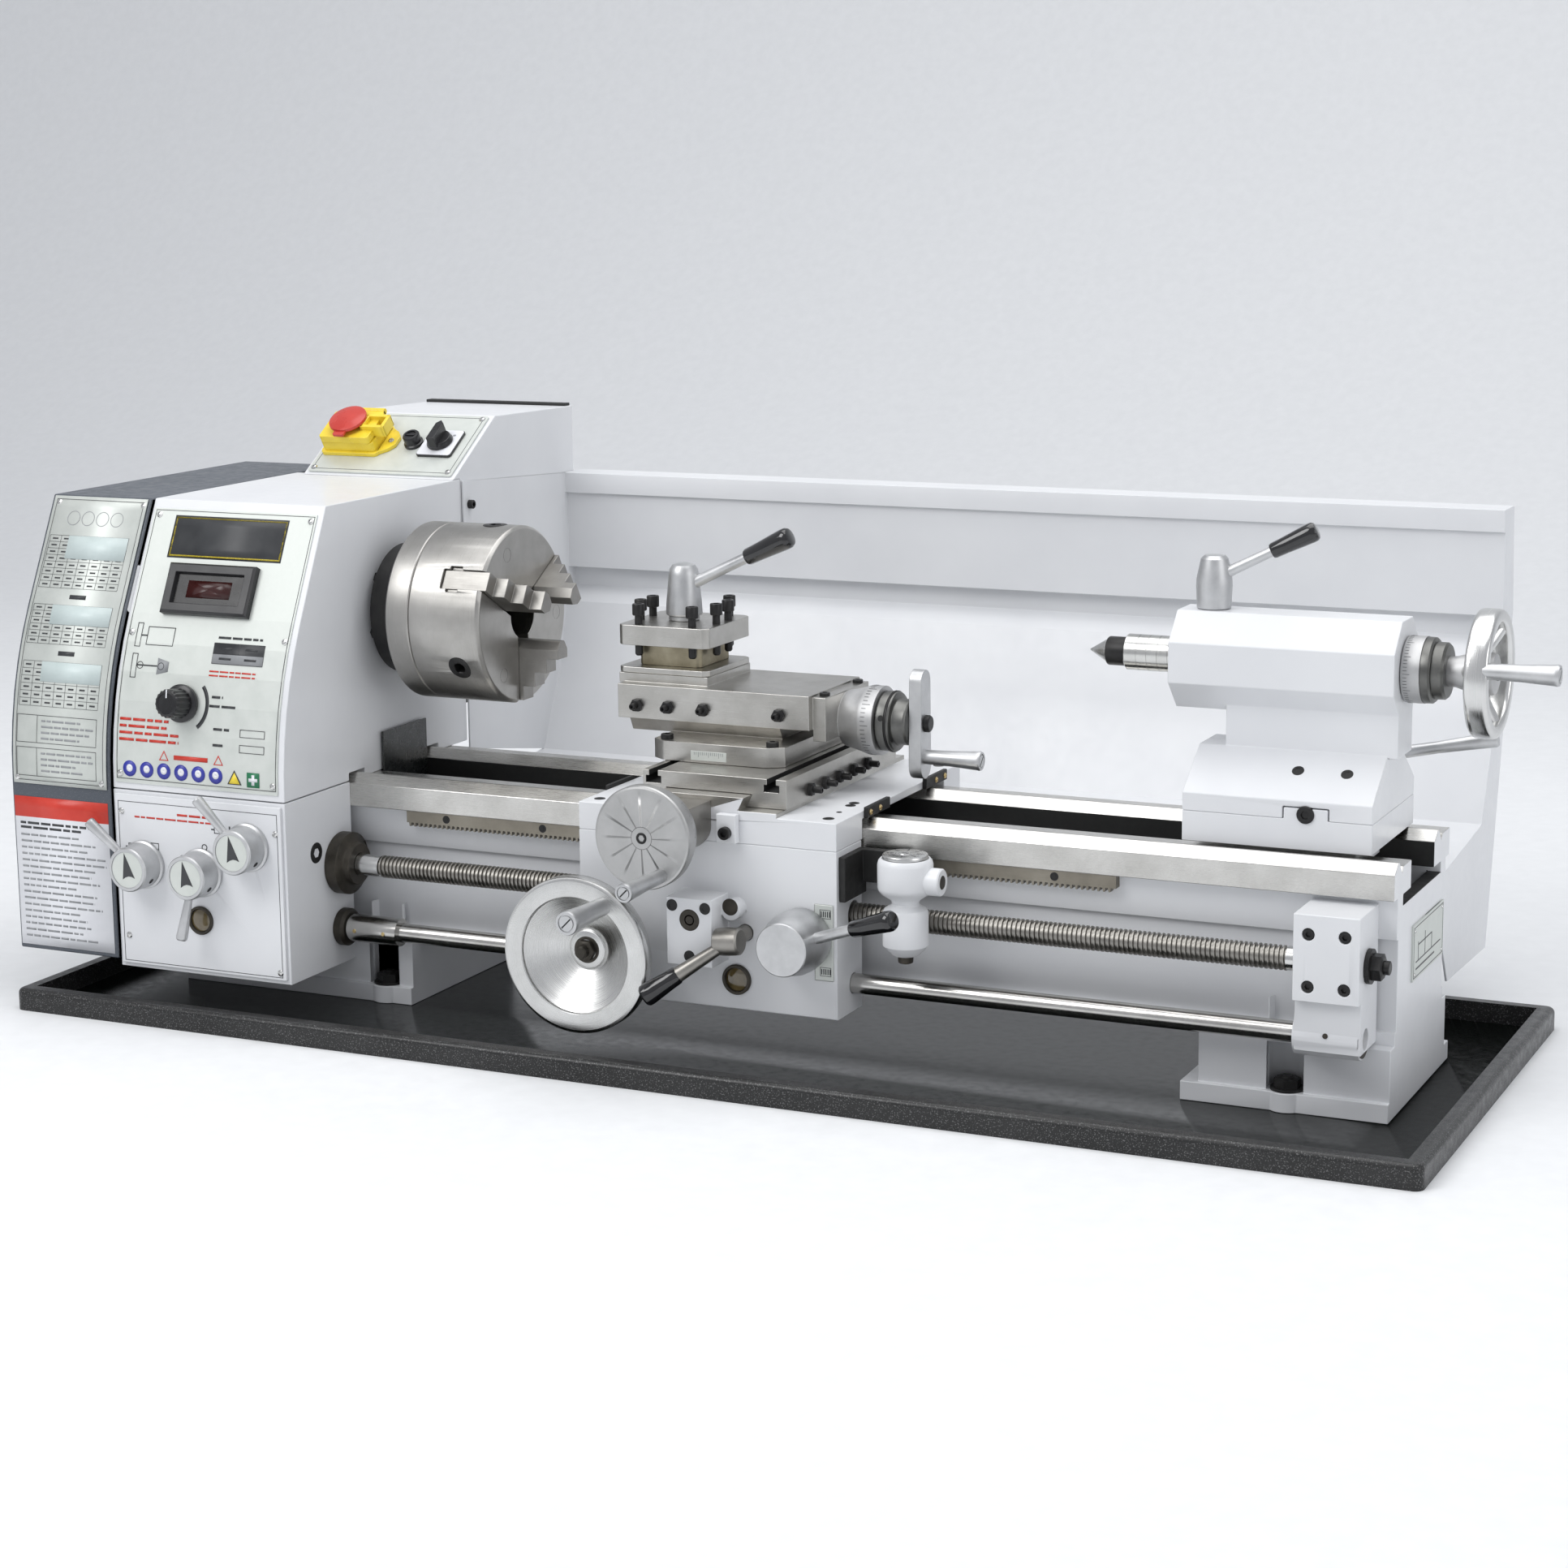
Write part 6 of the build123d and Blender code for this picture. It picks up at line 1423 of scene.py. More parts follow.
@dataclass
class FeedScrews:
    """The leadscrew, the feed rod and the fittings at their ends."""

    screw_y: float = -109.0
    screw_z: float = -77.0
    rod_y: float = -110.0
    rod_z: float = -136.0
    pitch: float = 4.0
    crest: float = 10.0
    root: float = 8.2
    thread_left: float = 44.0
    thread_right: float = 878.0
    bracket_right: float = 938.2

    def thread(self) -> None:
        """The leadscrew's trapezoidal thread.

        A profile of four points a pitch is carried round the axis while it moves one pitch a turn:
        P(i, t) = (x_i + pitch t / 2 pi, r_i cos t, r_i sin t), closed because a row at a full turn
        is the row one pitch further on.
        """
        turns = int((self.thread_right - self.thread_left) / self.pitch)
        profile = [(0.0, self.crest), (0.30, self.crest), (0.42, self.root), (0.86, self.root)]
        share = np.array([p[0] for p in profile])
        reach = np.array([p[1] for p in profile])
        rows = len(profile)
        x = (self.thread_left + self.pitch * (np.arange(turns)[:, None] + share[None, :])).ravel()
        r = np.tile(reach, turns)
        segments = 40
        t = np.linspace(0, 2 * np.pi, segments, endpoint=False)
        surface = np.stack([x[:, None] + self.pitch * t[None, :] / (2 * np.pi),
                            self.screw_y + r[:, None] * np.cos(t)[None, :],
                            self.screw_z + r[:, None] * np.sin(t)[None, :]], -1)
        count = len(x)
        i, j = np.meshgrid(np.arange(count - 1), np.arange(segments), indexing="ij")
        last = j == segments - 1
        k = np.where(last, 0, j + 1)
        shift = np.where(last, rows, 0)
        quads = np.stack([i * segments + j, (i + 1) * segments + j, (i + 1 + shift) * segments + k,
                          (i + shift) * segments + k], -1).reshape(-1, 4)
        quads = quads[quads.max(1) < count * segments]
        shape = Shape()
        shape.add(surface, quads.tolist(), 0)
        axis = (0, self.screw_y, self.screw_z)
        shape.turned(
            [(self.root - 0.4, 20), (self.crest - 0.8, 20), (self.crest - 0.3, 20.4),
             (self.crest - 0.3, 43.6), (self.root - 0.4, 44.6)], axis, RIGHT, 1)
        shape.turned([(0, 20), (self.root + 0.05, 20), (self.root + 0.05, 900), (0, 900)], axis, RIGHT, 0)
        shape.turned([(self.root, 876), (self.crest - 0.3, 876.6), (self.crest - 0.3, 887), (self.root, 887)],
                     axis, RIGHT, 1)
        shape.build("leadscrew_thread", "leadscrew", "turned_steel", [Finish.STEEL, Finish.CHROME], 0.0,
                    ["leadscrew"], 0.0, 25.0)
        end = Shape()
        end.turned([(0, 940.4), (14, 940.4), (14, 944), (9, 944.4), (0, 944.4)], axis, RIGHT)
        hex_nut(end, (944.2, self.screw_y, self.screw_z), RIGHT, 9.5, 9.0)
        end.turned([(0, 953), (5.6, 953), (5.6, 957.5), (4.8, 958), (0, 958)], axis, RIGHT)
        end.build("leadscrew_nut", "leadscrew", "black_oxide", [Finish.OXIDE])

    def supports(self) -> None:
        """The right bracket, its screws, and the dark flange and collar on the left."""
        softened("feed_supports", "feed_bracket", [Finish.WHITE],
                 lambda c, n, lo, hi: np.where(hi[:, 0] > 800, 0, -1), 0.8)
        flange = Shape()
        flange.turned(
            [(10.05, 0), (27.4, 0), (28, 0.6), (28, 11.4), (27.4, 12), (21, 13.5), (19.4, 15), (18.8, 19.4),
             (18.2, 20), (10.05, 20)], (0.05, self.screw_y, self.screw_z), RIGHT, 0, 72)
        for step in range(3):
            t = math.radians(35 + 120 * step)
            at = (12.3, self.screw_y + 23.6 * math.cos(t), self.screw_z + 23.6 * math.sin(t))
            flange.turned([(0, 0.1), (1.8, 0.1, HEX), (1.8, 0.3, HEX), (3.0, 0.4), (3.2, 0), (0, -0.5)], at,
                          RIGHT, 0, 24)
        flange.turned([(8.6, 0), (16.4, 0), (17, 0.8), (17, 7.4), (15.4, 9.4), (14.6, 10), (8.6, 10)],
                      (0.05, self.rod_y, self.rod_z), RIGHT, 0, 60)
        flange.build("feed_flanges", "frame", "black_oxide", [Finish.CASTING])
        screws = Shape()
        for x in (899.0, 928.0):
            for z in (-50.0, -92.0):
                screws.turned(
                    [(0, -3.0), (2.2, -3.0, HEX), (2.2, -1.0, HEX), (4.4, -1.0), (4.6, -1.4), (4.6, -4)],
                    (x, -134.0, z), FRONT, 0, 24)
        screws.build("bracket_screws", "frame", "black_oxide", [Finish.OXIDE])
        cap = Shape()
        end = (self.bracket_right, self.rod_y, self.rod_z)
        cap.turned([(9.6, 0), (15.2, 0), (15.2, 0.5), (9.6, 0.5)], end, RIGHT)
        cap.turned([(0, -5), (8.2, -5), (8.2, -4.5), (0, -4.5)], end, RIGHT)
        cap.turned([(0, 1.0), (2.0, 0.8), (2.2, 0), (0, -0.2)], (912.0, self.rod_y - 16.6, self.rod_z + 4),
                   (0, -1, 0.2), 0, 18)
        cap.build("rod_end_cap", "frame", "turned_steel", [Finish.CASTING])

    def build(self) -> None:
        """Build the screw, rod and fittings."""
        self.thread()
        self.supports()
        rod = Turned("feed_rod_steel", Axis.X, (0.0, self.rod_y, self.rod_z), (0.42, 0.41, 0.39),
                     (0.60, 0.59, 0.57), (0.14, 0.24), 0.8, 0.006, 0.3)
        dress("feed_rod", rod)
        pins = Shape()
        for x in (20.0, 50.0):
            pins.turned(
                [(0, 0.5), (1.6, 0.5), (2.0, 0), (0, -0.3)], (x, self.rod_y - 12.4, self.rod_z), FRONT, 0,
                18)
        pins.build("sleeve_pins", "feed_rod", "turned_steel", [Finish.BRASS])


@dataclass
class Carriage:
    """The saddle, the apron, their wheels and levers, and the thread dial."""

    front: float = -144.0
    wheel_x: float = 287.0
    wheel_z: float = -113.0
    wheel_front: float = -200.0
    wheel_radius: float = 67.5
    cross_x: float = 362.0
    cross_z: float = -2.0
    cross_front: float = -217.0
    cross_radius: float = 43.7
    dial_x: float = 562.0
    dial_y: float = -136.0
    half_nut_x: float = 474.0
    half_nut_z: float = -92.0
    feed_x: float = 420.0
    feed_z: float = -93.0
    wheel_grip_angle: float = 58.0
    cross_grip_angle: float = -60.0

    def castings(self) -> None:
        """The saddle with its ground cross way, and the apron."""

        def saddle_zones(c: Array, n: Array, lo: Array, hi: Array) -> Array:
            """White casting, ground dovetail above its top, dark wipers; the round housing is left out."""
            whole = (hi[:, 0] - lo[:, 0]) > 200
            housing = (lo[:, 1] < -180)
            return np.where(whole, np.where(c[:, 2] > 7.2, 1, 0), np.where(housing, -1, 2))

        softened("saddle", "saddle_casting", [Finish.WHITE, Finish.GROUND, Finish.RUBBER],
                 saddle_zones, 0.8)

        def apron_zones(c: Array, n: Array, lo: Array, hi: Array) -> Array:
            """White casting, label plate, dark bracket; the dial's body and the glass ring are left out."""
            size = hi - lo
            whole = size[:, 0] > 200
            dial = (lo[:, 2] < -90) & (lo[:, 0] > 520)
            plate = (size[:, 1] < 2) & (lo[:, 0] > 470) & (lo[:, 0] < 500)
            bracket = lo[:, 0] > 500
            return np.select([whole, dial, plate, bracket], [0, -1, 1, 2], -1)

        softened("apron", "apron_casting", [Finish.WHITE, Finish.LABEL, Finish.DARK_AND_PAINTED_SHADE],
                 apron_zones, 0.9)
        housing = Shape()
        t = np.linspace(math.pi, 2 * math.pi, 25)
        half = 28.0
        outline = [(half, 20.0), (-half, 20.0)] + [(half * math.cos(a), -2 + 22 * math.sin(a)) for a in t]
        housing.prism(outline, (self.cross_x, self.front, self.cross_z), RIGHT, UP, 46.0)
        housing.build("cross_screw_housing", "carriage", "cast_aluminium", [Finish.STEEL], 0.8)

    def saddle_details(self) -> None:
        """Plugs and oil ports on the saddle, wiper screws, and a clamp block by the cross screw."""
        shape = Shape()
        for x, y, r in ((490.0, -128.0, 5.0), (486.0, -74.0, 4.6), (485.0, -64.0, 4.6), (488.0, -102.0, 2.4),
                        (276.0, -128.0, 5.0), (280.0, -74.0, 4.6), (490.0, 112.0, 5.0), (276.0, 112.0, 5.0)):
            shape.turned(
                [(0, 0.05), (r * 0.5, 0.05, HEX), (r * 0.5, 0.3, HEX), (r * 0.95, 0.3), (r, 0.1), (r, -0.3),
                 (0, -0.3)], (x, y, 7.0), UP, 0, 24)
        shape.build("saddle_plugs", "carriage", "black_oxide", [Finish.OXIDE])
        screws = Shape()
        for x, side in ((259.9, -1), (508.1, 1)):
            for y in (-82.0, -62.0, 62.0, 82.0):
                dome_screw(screws, (x, y, 5.0), (side, 0, 0), 2.6)
        screws.build("wiper_screws", "carriage", "bronze", [Finish.BRASS])
        Shape().block(
            398, 416, -152, -144.2, -16, 8.5, 0
        ).build("cross_clamp_block", "carriage", "white_paint", [Finish.WHITE], 0.8)
        clamp = Shape()
        cap_screw(clamp, (407.0, -152.0, -7.0), FRONT, 5.4, 5.0)
        clamp.build("cross_clamp_screw", "carriage", "black_oxide", [Finish.OXIDE])

    def apron_details(self) -> None:
        """The worm block's end and screws, the oil glass, the boss and the small signs."""
        dark = Shape()
        for x, z in ((367.5, -67.0), (398.0, -67.5), (383.0, -109.5)):
            dark.turned(
                [(0, 0.1), (2.4, 0.1, HEX), (2.4, 0.5, HEX), (4.8, 0.55), (5.0, 0.3), (5.0, -0.4),
                 (0, -0.4)], (x, -175.0, z), FRONT, 0, 24)
        dark.build("worm_block_screws", "carriage", "black_oxide", [Finish.OXIDE])
        glass = (412, -144, -134)
        brass = Shape()
        brass.turned(
            [(0, 0.3), (3.4, 0.3), (3.6, -0.1), (4.4, -0.1), (4.6, 0.4), (8.6, 0.4), (9.2, 0), (9.2, -0.4),
             (0, -0.4)], (383.5, -175.1, -78.5), FRONT)
        brass.turned([(0, 0.3), (6.4, 0.3), (7.2, -0.1), (0, -0.4)], (412.0, -156.1, -69.0), FRONT)
        brass.turned([(10, -0.5), (10, 2.2), (10.6, 3.0), (12.4, 3.0), (13, 2.4), (13, 0)], glass, FRONT)
        brass.build("apron_glass_ring", "carriage", "bronze", [Finish.CASTING])
        Shape().turned(
            [(0, 1.6), (4, 1.5), (8, 0.9), (10.4, 0.3), (10.4, -0.4), (0, -0.4)], glass, FRONT
        ).build("apron_oil_glass", "carriage", "bronze", [Finish.OIL])
        signs = Shape()
        for z in (-70.0, -119.0):
            for x0, x1, z0, z1 in ((489, 499, 3.4, 3.8), (489, 499, -3.8, -3.4), (489, 489.4, -3.8, 3.8),
                                   (498.6, 499, -3.8, 3.8)):
                signs.block(x0, x1, -145.4, -145.1, z + z0, z + z1)
            for step in range(5):
                signs.block(490 + 1.9 * step, 490.9 + 1.9 * step, -145.4, -145.1, z - 2.4, z + 2.4)
        signs.build("half_nut_signs", "carriage", "label_plate", [Finish.INK])

    def carriage_wheel(self) -> None:
        """The dished handwheel: a broad polished rim, a cone inside it, a hub nut and a grip."""
        x, z, y, r = self.wheel_x, self.wheel_z, self.wheel_front, self.wheel_radius
        centre = (x, y, z)
        steel = Turned("handwheel_rim", Axis.Y, centre, (0.56, 0.56, 0.55), (0.70, 0.70, 0.69), (0.20, 0.34),
                       0.6, 0.010, 0.75)
        Shape().turned(
            [(0, -42), (17, -42), (20, -30), (r - 12, -15), (r - 3, -15), (r - 1, -14), (r, -12), (r, -3),
             (r - 0.6, -1), (r - 2.4, -0.2), (r - 3.4, 0), (r - 16.4, 0), (r - 17.2, -0.8),
             (r - 17.6, -3.2), (19, -24.4), (17.6, -25), (16.6, -23.6), (15.8, -23.2), (0, -23.2)], centre,
            FRONT, 0, 96
        ).turned(
            [(8, -42), (8, -66), (0, -66)], centre, FRONT, 0
        ).build(
            "carriage_wheel", "carriage_handwheel", "cast_aluminium", [steel], 0.0, ["carriage_handwheel"]
        )
        nut = Shape()
        hex_nut(nut, (x, y + 23.4, z), FRONT, 8.0, 6.5)
        nut.turned([(0, 13.0), (4.4, 13.0), (5.4, 12.0), (5.4, 5), (0, 5)], (x, y + 23.4, z), FRONT, 0)
        nut.turned([(9, -0.2), (11.5, -0.2), (11.5, 1.2), (9, 1.2)], (x, y + 23.4, z), FRONT, 0)
        nut.build("carriage_wheel_nut", "carriage_handwheel", "turned_steel", [Finish.CASTING])
        angle = math.radians(self.wheel_grip_angle)
        hx, hz = x + (r - 14) * math.cos(angle), z + (r - 14) * math.sin(angle)
        grip = Shape()
        crank_handle(grip, (hx, y + 1, hz), (hx, y - 63, hz), 10.4, 0, 1)
        grip.build(
            "carriage_wheel_grip", "carriage_handwheel", "cast_aluminium",
            [Finish.ALUMINIUM, Finish.DARK_AND_PAINTED_SHADE])

    def cross_wheel(self) -> None:
        """The cross-slide wheel: a solid disc with a screw at its centre, its ring dial and a grip."""
        x, z, y, r = self.cross_x, self.cross_z, self.cross_front, self.cross_radius
        centre = (x, y, z)
        aluminium = Cast("wheel_aluminium", (0.42, 0.42, 0.415), (0.52, 0.52, 0.515), (0.38, 0.50), 1.0, 0.02)
        Shape().turned(
            [(9.6, 0.0), (r - 2.4, 0), (r - 0.8, -0.6), (r, -2.2), (r, -10.4), (r - 1.2, -12), (30, -12.4),
             (30, -15), (0, -15)], centre, FRONT, 0, 84
        ).turned(
            [(0, 0.02), (9.2, 0.02), (9.4, -0.5), (9.6, 0.0)], centre, FRONT, 0
        ).build(
            "cross_wheel_disc", "cross_handwheel", "cast_aluminium", [aluminium], 0.0, ["cross_handwheel"],
            0.0, 12.0
        )
        dial = Shape()
        dial.turned(
            [(0, -15.2), (r - 5.5, -15.2), (r - 4.5, -16), (r - 4.5, -23), (r - 6, -25.8), (20, -26),
             (0, -26)], centre, FRONT, 0, 72)
        marks = Shape()
        ring_marks(marks, (x, y + 16.4, z), REAR, r - 4.5, 40, 2.6, 4.4, 0.35)
        dial.build("cross_wheel_dial", "cross_handwheel", "cast_aluminium", [Finish.ROUGH_ALUMINIUM])
        marks.build("cross_dial_marks", "cross_handwheel", "black_oxide", [Finish.INK])
        Shape().turned(
            [(0, -1.2), (2.6, -1.2, HEX), (2.6, 0.6, HEX), (4.2, 0.7), (4.8, 0.2), (4.8, -0.2)], (x, y, z),
            FRONT, 0, 36
        ).build("cross_wheel_screw", "cross_handwheel", "black_oxide", [Finish.OXIDE])
        angle = math.radians(self.cross_grip_angle)
        hx, hz = x + (r - 9) * math.cos(angle), z + (r - 9) * math.sin(angle)
        grip = Shape()
        crank_handle(grip, (hx, y + 1, hz), (hx, y - 66, hz), 8.0, 0, 1)
        grip.build("cross_wheel_grip", "cross_handwheel", "cast_aluminium", [Finish.ALUMINIUM, Finish.DARK_AND_PAINTED_SHADE])

    def levers(self) -> None:
        """The half-nut lever with its round hub, and the power-feed lever with its cross hub."""
        x, z, y = self.half_nut_x, self.half_nut_z, self.front
        hub = Shape()
        hub.turned(
            [(0, 1.5), (25.4, 1.5), (26, 2.4), (27.2, 16), (26.8, 24), (23.0, 40), (22.6, 45.2), (21.8, 46),
             (0, 46)], (x, y, z), FRONT, 0, 72)
        mid = np.array([x + 62, y - 36, z + 22])
        hub.capsule((x + 16, y - 25.5, z + 5.4), mid, [(4.4, 0), (5.0, 0.3), (4.6, 1), (0, 1)], 0)
        hub.build(
            "half_nut_hub", "half_nut_lever", "cast_aluminium", [Finish.ALUMINIUM], 0.0, ["half_nut_lever"])
        grip = Shape()
        line = np.array([38.0, -9.0, 13.0])
        grip.capsule(mid - line * 0.06, mid + line, grip_rows(8.8))
        grip.build("half_nut_grip", "half_nut_lever", "black_plastic", [Finish.GRIP])
        x, z = self.feed_x, self.feed_z
        feed = Shape()
        feed.turned([(0, 0), (7, 0), (7, 30), (0, 30)], (x, y, z), FRONT)
        feed.turned(
            [(0, -11.4), (9.6, -11.4), (11.2, -10), (11.6, -6), (11.8, 0), (11.6, 6), (11.2, 10),
             (9.6, 11.4), (0, 11.4)], (x, y - 32, z), (1, 0, 0.1))
        mid = np.array([x - 40, y - 52, z - 29])
        feed.capsule((x - 2, y - 35, z - 2), mid, [(4.8, 0), (6.8, 1), (0, 1)])
        feed.build("feed_lever_hub", "feed_lever", "turned_steel", [Finish.STEEL], 0.0, ["feed_lever"])
        grip = Shape()
        line = np.array([-25.0, -10.0, -18.0])
        grip.capsule(mid - line * 0.1, mid + line, grip_rows(9.6))
        grip.build("feed_lever_grip", "feed_lever", "black_plastic", [Finish.GRIP])

    def thread_dial(self) -> None:
        """The thread indicator: a round head, a waist and a drum, with its dial on top."""
        at = (self.dial_x, self.dial_y, 0.0)
        Shape().turned(
            [(4.2, -100), (9, -100), (12, -98.6), (16.4, -93.6), (18.9, -91), (18.9, -63.6), (17.4, -60.6),
             (12.0, -57.4), (11.2, -55.6), (12.4, -52.6), (19.6, -48), (22.4, -44.6), (23, -42),
             (23, -23.4), (22.2, -20), (20.6, -18.2), (19.4, -18), (19.2, -20), (4.2, -20)], at, UP, 0, 72
        ).turned(
            [(0, 0), (11.4, 0), (11.4, 12.6), (10.4, 13.6), (0, 13.6)],
            (self.dial_x + 19, self.dial_y, -36), RIGHT
        ).build("thread_dial_body", "carriage", "white_paint", [Finish.WHITE])
        Shape().turned(
            [(0, 0.3), (5.2, 0.3), (5.8, -0.2), (0, -0.4)], (self.dial_x + 32.8, self.dial_y, -36), RIGHT
        ).turned(
            [(0, 0), (6.6, 0), (6.2, -5.6), (5.0, -6.4), (0, -6.4)], (self.dial_x, self.dial_y, -100.1), UP
        ).build("thread_dial_stem_end", "carriage", "turned_steel", [Finish.CASTING])
        face = Turned(
            "thread_dial_steel", Axis.Z, at, (0.60, 0.60, 0.59), (0.72, 0.72, 0.71), (0.22, 0.32), 0.5,
            0.006, 0.4)
        dial = Shape()
        dial.turned(
            [(0, -13.9), (6.0, -13.9), (6.2, -14.2), (16.5, -14.2), (18.4, -14.8), (19, -15.8), (19, -17.6),
             (0, -17.6)], at, UP, 0, 60)
        dial.turned([(0, -99), (4, -99), (4, -16), (0, -16)], at, UP)
        dial.turned([(0, -84), (16.2, -84), (16.2, -70), (0, -70)], at, UP)
        dial.build("thread_dial_disc", "thread_dial", "turned_steel", [face], 0.0, ["thread_dial"])
        marks = Shape()
        for step in range(8):
            t = math.radians(45 * step + 10)
            out = np.array([math.cos(t), math.sin(t), 0])
            side = np.array([-out[1], out[0], 0])
            marks.prism(
                [(9.5, -0.4), (16.0, -0.4), (16.0, 0.4), (9.5, 0.4)], np.array(at) + (0, 0, -14.25), out,
                side, 0.14)
        marks.prism(
            [(-2.6, -0.5), (2.6, -0.5), (2.6, 0.5), (-2.6, 0.5)], np.array(at) + (0, 0, -13.95), RIGHT,
            REAR, 0.14)
        marks.build("thread_dial_marks", "thread_dial", "black_oxide", [Finish.INK])

    def build(self) -> None:
        """Build the carriage's pieces."""
        self.castings()
        self.saddle_details()
        self.apron_details()
        self.carriage_wheel()
        self.cross_wheel()
        self.levers()
        self.thread_dial()
        dress("upper_half_nut", Finish.BRASS)
        dress("lower_half_nut", Finish.BRASS)


@dataclass
class Compound:
    """The cross slide, the swivel base, the top slide with its crank, and the tool post."""

    cross_right: float = 452.0
    post_x: float = 295.0
    post_half: float = 44.0
    post_low: float = 102.0
    post_high: float = 144.0
    crank_x: float = 486.3
    crank_z: float = 67.0

    def slides(self) -> None:
        """The ground slides on their cast bodies."""

        def cross_zones(c: Array, n: Array, lo: Array, hi: Array) -> Array:
            """Ground steel with near-black painted shade on the slots' inner walls; the loose screws are
            built anew.
            """
            whole = (hi[:, 0] - lo[:, 0]) > 60
            slot = np.minimum(np.abs(c[:, 0] - 328), np.abs(c[:, 0] - 438)) < 7.4
            # The slots' inner walls take near-black painted shade.
            slot_shade = slot & (c[:, 2] < 35.6) & (c[:, 2] > 15) & (np.abs(n[:, 1]) < 0.5)
            return np.where(whole, np.where(slot_shade, 1, 0), -1)

        softened(
            "cross_slide", "cross_slide_body", [Finish.GROUND, Finish.DARK_AND_PAINTED_SHADE], cross_zones,
            0.5)

        def swivel_zones(c: Array, n: Array, lo: Array, hi: Array) -> Array:
            """A ground flange and dovetail with a darker neck between them."""
            neck = (c[:, 2] > 53.4) & (c[:, 2] < 63.9) & (np.abs(n[:, 2]) < 0.5)
            return np.where(neck, 1, 0)

        softened("swivel_base", "swivel_casting", [Finish.GROUND, Finish.STEEL],
                 swivel_zones, 0.6)

        def top_zones(c: Array, n: Array, lo: Array, hi: Array) -> Array:
            """A ground slide and end block with a cast boss; the stud and screws are built anew."""
            whole = (hi[:, 0] - lo[:, 0]) > 100
            return np.where(whole, np.where(c[:, 0] > 452.2, 1, 0), -1)

        softened("top_slide", "top_slide_body", [Finish.GROUND, Finish.ROUGH_ALUMINIUM],
                 top_zones, 0.6)

    def screws(self) -> None:
        """Gib screws with their lock nuts, and the swivel's clamp screws."""
        shape = Shape()
        for y in (-82.0, -52.0, -22.0, 8.0, 38.0):
            at = (self.cross_right - 0.1, y, 20.0)
            hex_nut(shape, at, RIGHT, 5.0, 4.2)
            shape.turned(
                [(0, 0), (2.9, 0), (2.9, 11.4), (2.3, 12), (1.4, 12, HEX), (1.4, 10, HEX), (0, 10)], at,
                RIGHT, 0, 24)
        shape.build("cross_gib_screws", "cross_slide", "black_oxide", [Finish.OXIDE])
        top = Shape()
        for x in (276.0, 306.0, 340.0, 412.0):
            at = (x, -55.9, 76.0)
            hex_nut(top, at, FRONT, 5.0, 4.2)
            top.turned([(0, 0), (2.9, 0), (2.9, 10.4), (2.3, 11), (1.4, 11, HEX), (1.4, 9, HEX), (0, 9)], at,
                       FRONT, 0, 24)
        cap_screw(top, (446.0, 34.0, 91.9), UP, 4.6, 3.0)
        cap_screw(top, (446.0, -36.0, 91.9), UP, 4.6, 3.0)
        top.build("top_gib_screws", "top_slide", "black_oxide", [Finish.OXIDE])
        swivel = Shape()
        for x in (316.0, 416.0):
            cap_screw(swivel, (x, -78.0, 53.1), UP, 5.4, 4.4)
        swivel.build("swivel_clamp_screws", "swivel_base", "black_oxide", [Finish.OXIDE])
        Shape().turned(
            [(0, 98), (7.9, 98), (7.9, 158), (0, 158)], (self.post_x, 0, 0), UP
        ).build("top_slide_stud", "top_slide", "turned_steel", [Finish.OXIDE])
        marks = Shape()
        ring_marks(marks, (475.5, 0, self.crank_z), RIGHT, 30.1, 50, 4.0, 7.0, 0.4)
        marks.build("top_boss_marks", "top_slide", "black_oxide", [Finish.INK])

    def scale(self) -> None:
        """The swivel's graduated plate, let into the front of its flange."""
        Shape().block(
            343.5, 377.5, -88.5, -87.9, 38.4, 46.6
        ).build("swivel_plate", "swivel_base", "label_plate", [Finish.LABEL], 0.3)
        shape = Shape()
        for step in range(15):
            x = 347.0 + 1.93 * step
            height = 4.6 if step % 5 == 2 else 2.8
            shape.block(x - 0.16, x + 0.16, -88.7, -88.48, 46.0 - height, 46.0)
        shape.build("swivel_scale", "swivel_base", "label_plate", [Finish.GREY_INK])

    def crank(self) -> None:
        """The top slide's crank: a graduated dial, a black ring, and a flat bar with a grip."""
        x, z = self.crank_x, self.crank_z
        axis = (x, 0.0, z)
        dial = Shape()
        dial.turned(
            [(0, 0.3), (23, 0.3), (25.4, 0.8), (26, 1.6), (26, 11.4), (25.2, 13.0), (20.4, 13.8),
             (20, 14.6), (19.8, 24.4), (18.6, 26), (9, 27), (0, 27)], axis, RIGHT, 0, 72)
        dial.turned([(26.15, 8.6), (26.25, 8.7), (26.25, 11.0), (26.15, 11.1)], axis, RIGHT, 1, 72)
        outline = []
        for sign, centre, radius in ((1, 36.0, 10.6), (-1, -36.0, 12.0)):
            for t in np.linspace(0, math.pi, 13):
                outline.append((radius * math.cos(t) * sign, centre + radius * math.sin(t) * sign))
        dial.prism(outline, (x + 26.5, 0, z), REAR, UP, 11.5, 2)
        dial.turned([(0, 37), (7.4, 37), (7.4, 41), (6.4, 42.6), (0, 42.6)], axis, RIGHT, 1, 36)
        dial.build("crank_dial", "top_slide_crank", "cast_aluminium",
                   [Finish.DIAL, Finish.OXIDE, Finish.ALUMINIUM], 0.7, ["top_slide_crank"])
        # The set screw is a near-black disc: its own dark colour together with painted shade of its hole.
        Shape().turned(
            [(0, 0.12), (2.6, 0.12), (2.6, -1), (0, -1)], (x + 6.4, -25.1, z + 6.6), (0, -0.966, 0.26), 0,
            18
        ).build("crank_set_screw", "top_slide_crank", "black_oxide", [Finish.DARK_AND_PAINTED_SHADE])
        grip = Shape()
        crank_handle(grip, (x + 36, 0, z - 29), (x + 89, 0, z - 29), 8.4, 0, 1)
        grip.build("crank_grip", "top_slide_crank", "cast_aluminium", [Finish.ALUMINIUM, Finish.DARK_AND_PAINTED_SHADE])

